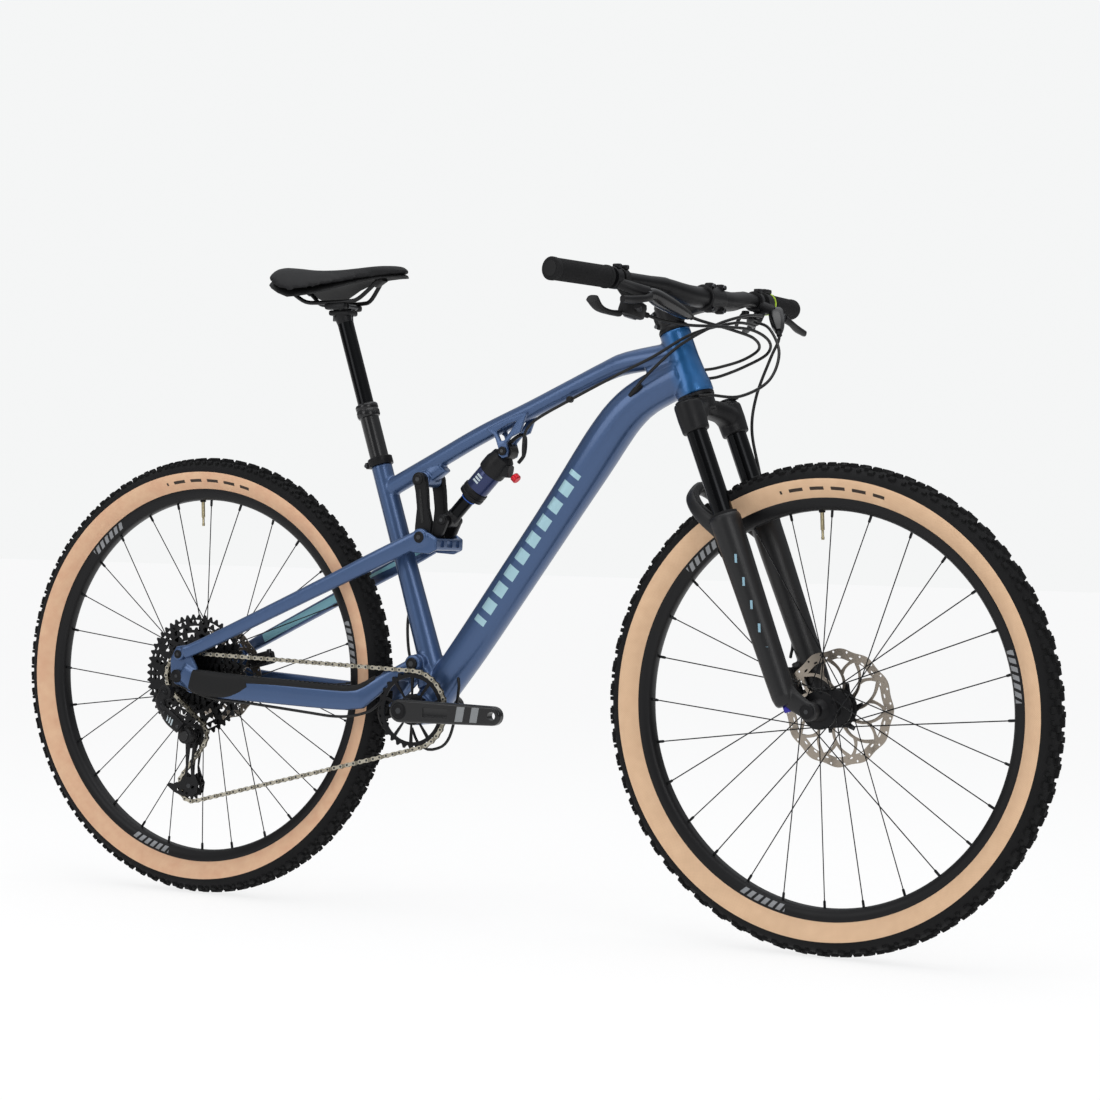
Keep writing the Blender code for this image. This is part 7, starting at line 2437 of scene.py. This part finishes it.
@dataclass
class Saddle:
    """The padded cover, its shell, the rails, the clamp and the dropper's slider."""

    stations: Sequence[tuple[float, float, float]] = ((-0.437, 0.026, 1.0436), (-0.434, 0.042,
        1.045), (-0.427, 0.056, 1.046), (-0.415, 0.066, 1.046), (-0.399, 0.0712, 1.044), (-0.38,
        0.072, 1.0412), (-0.36, 0.067, 1.039), (-0.34, 0.059, 1.038), (-0.32, 0.048, 1.0382),
        (-0.3, 0.038, 1.0392), (-0.275, 0.029, 1.0408), (-0.25, 0.0238, 1.0422), (-0.23, 0.0216,
        1.043), (-0.21, 0.0198, 1.043), (-0.197, 0.0165, 1.042), (-0.189, 0.01, 1.0405))
    droops: Sequence[tuple[float, float]] = ((-0.437, 0.014), (-0.415, 0.026), (-0.385, 0.037),
        (-0.345, 0.029), (-0.3, 0.016), (-0.26, 0.008), (-0.18, 0.003))
    rail: Sequence[Point] = ((-0.404, 0.034, 1.022), (-0.39, 0.03, 1.011), (-0.372, 0.023, 0.999),
        (-0.345, 0.022, 0.997), (-0.29, 0.022, 0.998), (-0.272, 0.019, 1.002), (-0.254, 0.012,
        1.019), (-0.242, 0.007, 1.033))

    def build(self) -> None:
        """Builds and mounts the saddle."""
        cover = self.cover()
        fit(cover, "saddle", ["saddle_cover"])
        shell = paint(self.body("saddle_base", 1.02, 0.0008, 0.0045, 0.005), BLACK_PLASTIC)
        fit(shell, "saddle", ["saddle_shell"])
        fit(self.rails(), "saddle", ["saddle_rails"])
        fit(self.slider(), "saddle", ["seatpost_slider"])

    def body(self, name: str, droop: float, drop: float, thickness: float, shrink: float) -> Piece:
        """A closed saddle-shaped skin, extruded from the tail to the nose.

        Args:
            name: the piece's name.
            droop: how deep the wings hang, against the cover's.
            drop: height of its top above the stations.
            thickness: from its top to its underside.
            shrink: how much narrower it is than the stations.

        Returns:
            The finished piece.
        """
        rings = []
        for x, full, z in self.stations:
            half = full - shrink
            wing = droop * self.hang(x)
            ends = min(x - self.stations[0][0], self.stations[-1][0] - x)
            bulk = thickness / 2 * min(1.0, 0.45 + ends / 0.016)
            hollow = 0.0022 * math.exp(-(((x + 0.335) / 0.055) ** 2))
            ring = []
            for k in range(36):
                angle = TAU * k / 36
                t, level = math.cos(angle), math.sin(angle)
                t = math.copysign(abs(t) ** 0.8, t)
                level = math.copysign(abs(level) ** 0.62, level)
                sag = wing * abs(t) ** 2.2
                groove = hollow * math.exp(-((t * half / 0.01) ** 2)) if level > 0 else 0.0
                ring.append(Vector((x, half * t,
                    z + drop - thickness / 2 - sag + level * bulk - groove)))
            rings.append(ring)
        piece = outline_ring(rings[0])
        piece.name = name
        bpy.ops.object.mode_set(mode="EDIT")
        bpy.ops.mesh.select_all(action="SELECT")
        bpy.ops.mesh.edge_face_add()
        for ring in rings[1:]:
            bpy.ops.mesh.extrude_region_move()
            mesh = bmesh.from_edit_mesh(piece.data)
            fresh = [v for v in mesh.verts if v.select]
            previous = rings[rings.index(ring) - 1]
            for vertex in fresh:
                k = min(range(36), key=lambda n: (previous[n] - vertex.co).length_squared)
                vertex.co = ring[k]
            bmesh.update_edit_mesh(piece.data)
        bpy.ops.object.mode_set(mode="OBJECT")
        return smooth(piece, 50)

    def hang(self, x: float) -> float:
        """How far the wings hang below the middle at a distance along the saddle.

        Args:
            x: distance along the saddle.

        Returns:
            Metres.
        """
        for (x0, d0), (x1, d1) in zip(self.droops, self.droops[1:]):
            if x <= x1:
                return d0 + (d1 - d0) * max(0.0, x - x0) / (x1 - x0)
        return self.droops[-1][1]

    def cover(self) -> Piece:
        """The stuffed cover: inflated a little under a capped move, then smoothed.

        Returns:
            The finished piece.
        """
        piece = self.body("saddle_padding", 1.0, 0.0128, 0.013, 0.0012)
        use_modifier(piece, "REMESH", mode="VOXEL", voxel_size=0.0045, adaptivity=0.0)
        before = [v.co.copy() for v in piece.data.vertices]
        cloth = piece.modifiers.new("stuffing", "CLOTH")
        cloth.settings.use_pressure = True
        cloth.settings.uniform_pressure_force = 3.0
        cloth.settings.effector_weights.gravity = 0.0
        for frame in range(1, 16):
            bpy.context.scene.frame_set(frame)
        pick(piece)
        bpy.ops.object.modifier_apply(modifier=cloth.name)
        bpy.context.scene.frame_set(1)
        cap = 0.0022
        for vertex, start in zip(piece.data.vertices, before):
            move = vertex.co - start
            if move.length > cap:
                vertex.co = start + move.normalized() * cap
        use_modifier(piece, "SMOOTH", factor=0.5, iterations=3)
        use_modifier(piece, "SUBSURF", levels=1, render_levels=1)
        return paint(smooth(piece, 60), SADDLE_SKIN)

    def rails(self) -> Piece:
        """Both rails with their sockets under the shell.

        Returns:
            The finished piece.
        """
        parts = []
        for side in (-1, 1):
            route = [(x, side * y, z) for x, y, z in self.rail]
            parts.append(paint(swept("rail", route, 0.0035, sides=14, step=0.006), BLACK_STEEL))
            parts.append(paint(swept("socket", [(-0.411, side * 0.0345, 1.028), (-0.399,
                side * 0.0325, 1.018)], [0.008, 0.0055], [0.006, 0.005], 14, square=3),
                BLACK_PLASTIC))
        parts.append(paint(swept("socket", [(-0.25, 0, 1.026), (-0.233, 0, 1.035)], [0.011, 0.009],
            [0.005, 0.0045], 14, square=3), BLACK_PLASTIC))
        return joined("seat_rails", parts)

    def slider(self) -> Piece:
        """The polished post and the clamp that holds the rails.

        Returns:
            The finished piece.
        """
        head = SEAT_TOP + SEAT_SLOPE * 0.264
        rod = paint(turned("rod", [(0.0133, -0.11), (0.0133, 0.256), (0.0128, 0.26)], SEAT_TOP,
            SEAT_SLOPE, 40), STANCHION)
        neck = paint(swept("neck", [SEAT_TOP + SEAT_SLOPE * 0.247, SEAT_TOP + SEAT_SLOPE * 0.256,
            head - Vector((0, 0, 0.003))], [0.0134, 0.015, 0.0165], [0.0134, 0.015, 0.0175], 24),
            BLACK_CAST)
        cradle = paint(brick("cradle", head + Vector((0, 0, 0.001)), (0.04, 0.03, 0.009), None,
            0.003), BLACK_CAST)
        parts = [rod, neck, cradle]
        for side in (-1, 1):
            parts.append(paint(brick("clamp", head + Vector((0, side * 0.022, 0.0105)), (0.04,
                0.013, 0.0105), None, 0.0035), BLACK_CAST))
        for x in (-0.0165, 0.0165):
            parts.append(paint(pin("bolt", head + Vector((x, 0, -0.012)), head + Vector((x, 0,
                0.012)), 0.003, 0.0005, 14), BOLT_STEEL))
            parts.append(paint(pin("barrel", head + Vector((x, -0.014, 0.011)), head + Vector((x,
                0.014, 0.011)), 0.0044, 0.0006, 16), BOLT_STEEL))
        return joined("dropper_slider", parts)


@dataclass
class Cables:
    """The hoses from the handlebar and the short runs along the frame."""

    radius: float = 0.0024

    def build(self) -> None:
        """Builds each run, blended over the joint that it crosses."""
        for name, node, other, route in (("front_hose", "front_brake_hose", "lowers", ((0.3955,
                0.169, 0.943), (0.396, 0.165, 0.933), (0.39, 0.15, 0.905), (0.383, 0.118, 0.845),
                (0.388, 0.095, 0.79), (0.405, 0.09, 0.725), (0.423, 0.086, 0.66), (0.434, 0.083,
                0.61), (0.456, 0.08, 0.54), (0.478, 0.068, 0.47), (0.485, 0.048, 0.442))),
                ("rear_hose", "rear_brake_hose", "frame", ((0.3775, -0.087, 0.953), (0.383, -0.07,
                0.949), (0.405, -0.01, 0.939), (0.418, 0.035, 0.93), (0.413, 0.065, 0.916), (0.385,
                0.068, 0.9), (0.356, 0.048, 0.888), (0.344, 0.029, 0.883), (0.328, 0.013, 0.881))),
                ("gear_cable", "shift_cable", "frame", ((0.348, -0.176, 0.951), (0.36, -0.145,
                0.944), (0.375, -0.095, 0.941), (0.396, -0.05, 0.942), (0.42, 0.02, 0.942), (0.43,
                0.065, 0.928), (0.418, 0.085, 0.91), (0.385, 0.074, 0.89), (0.356, 0.05, 0.874),
                (0.344, 0.03, 0.869), (0.331, 0.013, 0.866))), ("post_cable", "dropper_cable",
                "frame", ((0.378, 0.135, 0.972), (0.395, 0.105, 0.97), (0.4, 0.04, 0.965), (0.38,
                -0.02, 0.947), (0.335, -0.045, 0.917), (0.295, -0.044, 0.887), (0.262, -0.038,
                0.86), (0.249, -0.031, 0.848))), ("damper_cable", "shock_cable", "frame", ((0.37,
                0.127, 0.954), (0.385, 0.1, 0.954), (0.385, 0.035, 0.954), (0.345, -0.03, 0.933),
                (0.28, -0.033, 0.899), (0.21, -0.026, 0.87), (0.13, -0.02, 0.834), (0.07, -0.018,
                0.804), (0.047, -0.012, 0.785), (0.04, -0.006, 0.762), (0.037, 0.0, 0.744)))):
            points = self.steered(route, other == "lowers")
            hose = swept(name, smooth_route(points, 0.006), self.radius, sides=10)
            ends = (points[3], points[8]) if other == "lowers" else (points[1], points[-2])
            bend(paint(hose, HOSE), ("steering", other), *ends, node, "hose")
        lockout = swept("fork_cable", smooth_route(self.steered(((0.376, 0.12, 0.962), (0.405,
            0.115, 0.95), (0.435, 0.09, 0.91), (0.438, 0.05, 0.865), (0.415, 0.0, 0.839), (0.387,
            -0.04, 0.839), (0.373, -0.056, 0.838)), True), 0.006), self.radius, sides=10)
        fit(paint(lockout, HOSE), "steering", ["fork_lockout_cable"])
        for name, body, route in (("under_loop", "frame", ((-0.064, -0.018, 0.392), (-0.0575,
                -0.022, 0.3757), (-0.0679, -0.02, 0.3109), (-0.0831, -0.018, 0.281), (-0.1108,
                -0.012, 0.27), (-0.1297, -0.006, 0.2716), (-0.147, 0.0, 0.2812), (-0.1597, 0.004,
                0.3015))), ("pivot_loop", "swingarm", ((-0.1798, -0.038, 0.3736), (-0.1922, -0.044,
                0.3424), (-0.1914, -0.044, 0.3165), (-0.1799, -0.04, 0.2975), (-0.1687, -0.03,
                0.2864))), ("stay_run", "swingarm", ((-0.5758, -0.078, 0.3577), (-0.5357, -0.08,
                0.3445), (-0.4964, -0.076, 0.335), (-0.4489, -0.069, 0.332), (-0.3872, -0.064,
                0.3268), (-0.3199, -0.06, 0.3209), (-0.2735, -0.057, 0.3172), (-0.2373, -0.054,
                0.3198), (-0.2069, -0.048, 0.33), (-0.19, -0.04, 0.348))), ("seat_run", "frame",
                ((-0.1637, -0.003, 0.5102), (-0.1683, -0.004, 0.4709), (-0.165, -0.004, 0.4286),
                (-0.1565, -0.003, 0.3996)))):
            run = paint(swept(name, smooth_route(route, 0.008), self.radius, sides=10), HOSE)
            run.name = f"cable_{name}"
            fit(run, body, ())
        clip = paint(across("clip", (0.13, 0, 0.8345), -0.025, -0.016, 0.0052, 0.001, 14),
            BLACK_PLASTIC)
        clip.name = "cable_clip"
        fit(clip, "frame", ())

    @staticmethod
    def steered(route: Sequence[Point], whole: bool) -> list[Vector]:
        """Turns a straight-ahead route with the bars; a frame-ended one less and less.

        Args:
            route: points with the wheel straight.
            whole: whether every point turns.

        Returns:
            The points, in order.
        """
        points = []
        for i, place in enumerate(route):
            share = 1.0 if whole else 1.0 - min(1.0, i / (0.6 * len(route)))
            points.append(about(HEAD_FOOT, STEER_ANGLE * share, HEAD_SLOPE) @ Vector(place))
        return points


def main() -> None:
    """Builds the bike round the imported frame."""
    logging.basicConfig(level=logging.INFO, format="%(name)s: %(message)s")
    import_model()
    Studio().build()
    MainFrame().build()
    RearSuspension().build()
    Drivetrain().build()
    Fork().build()
    Cockpit().build()
    Saddle().build()
    Cables().build()
    FRONT_WHEEL.centre = Steering.at(-AXLE_DROP, FORK_OFFSET)
    for wheel in (FRONT_WHEEL, REAR_WHEEL):
        wheel.build()


if __name__ == "__main__":
    main()
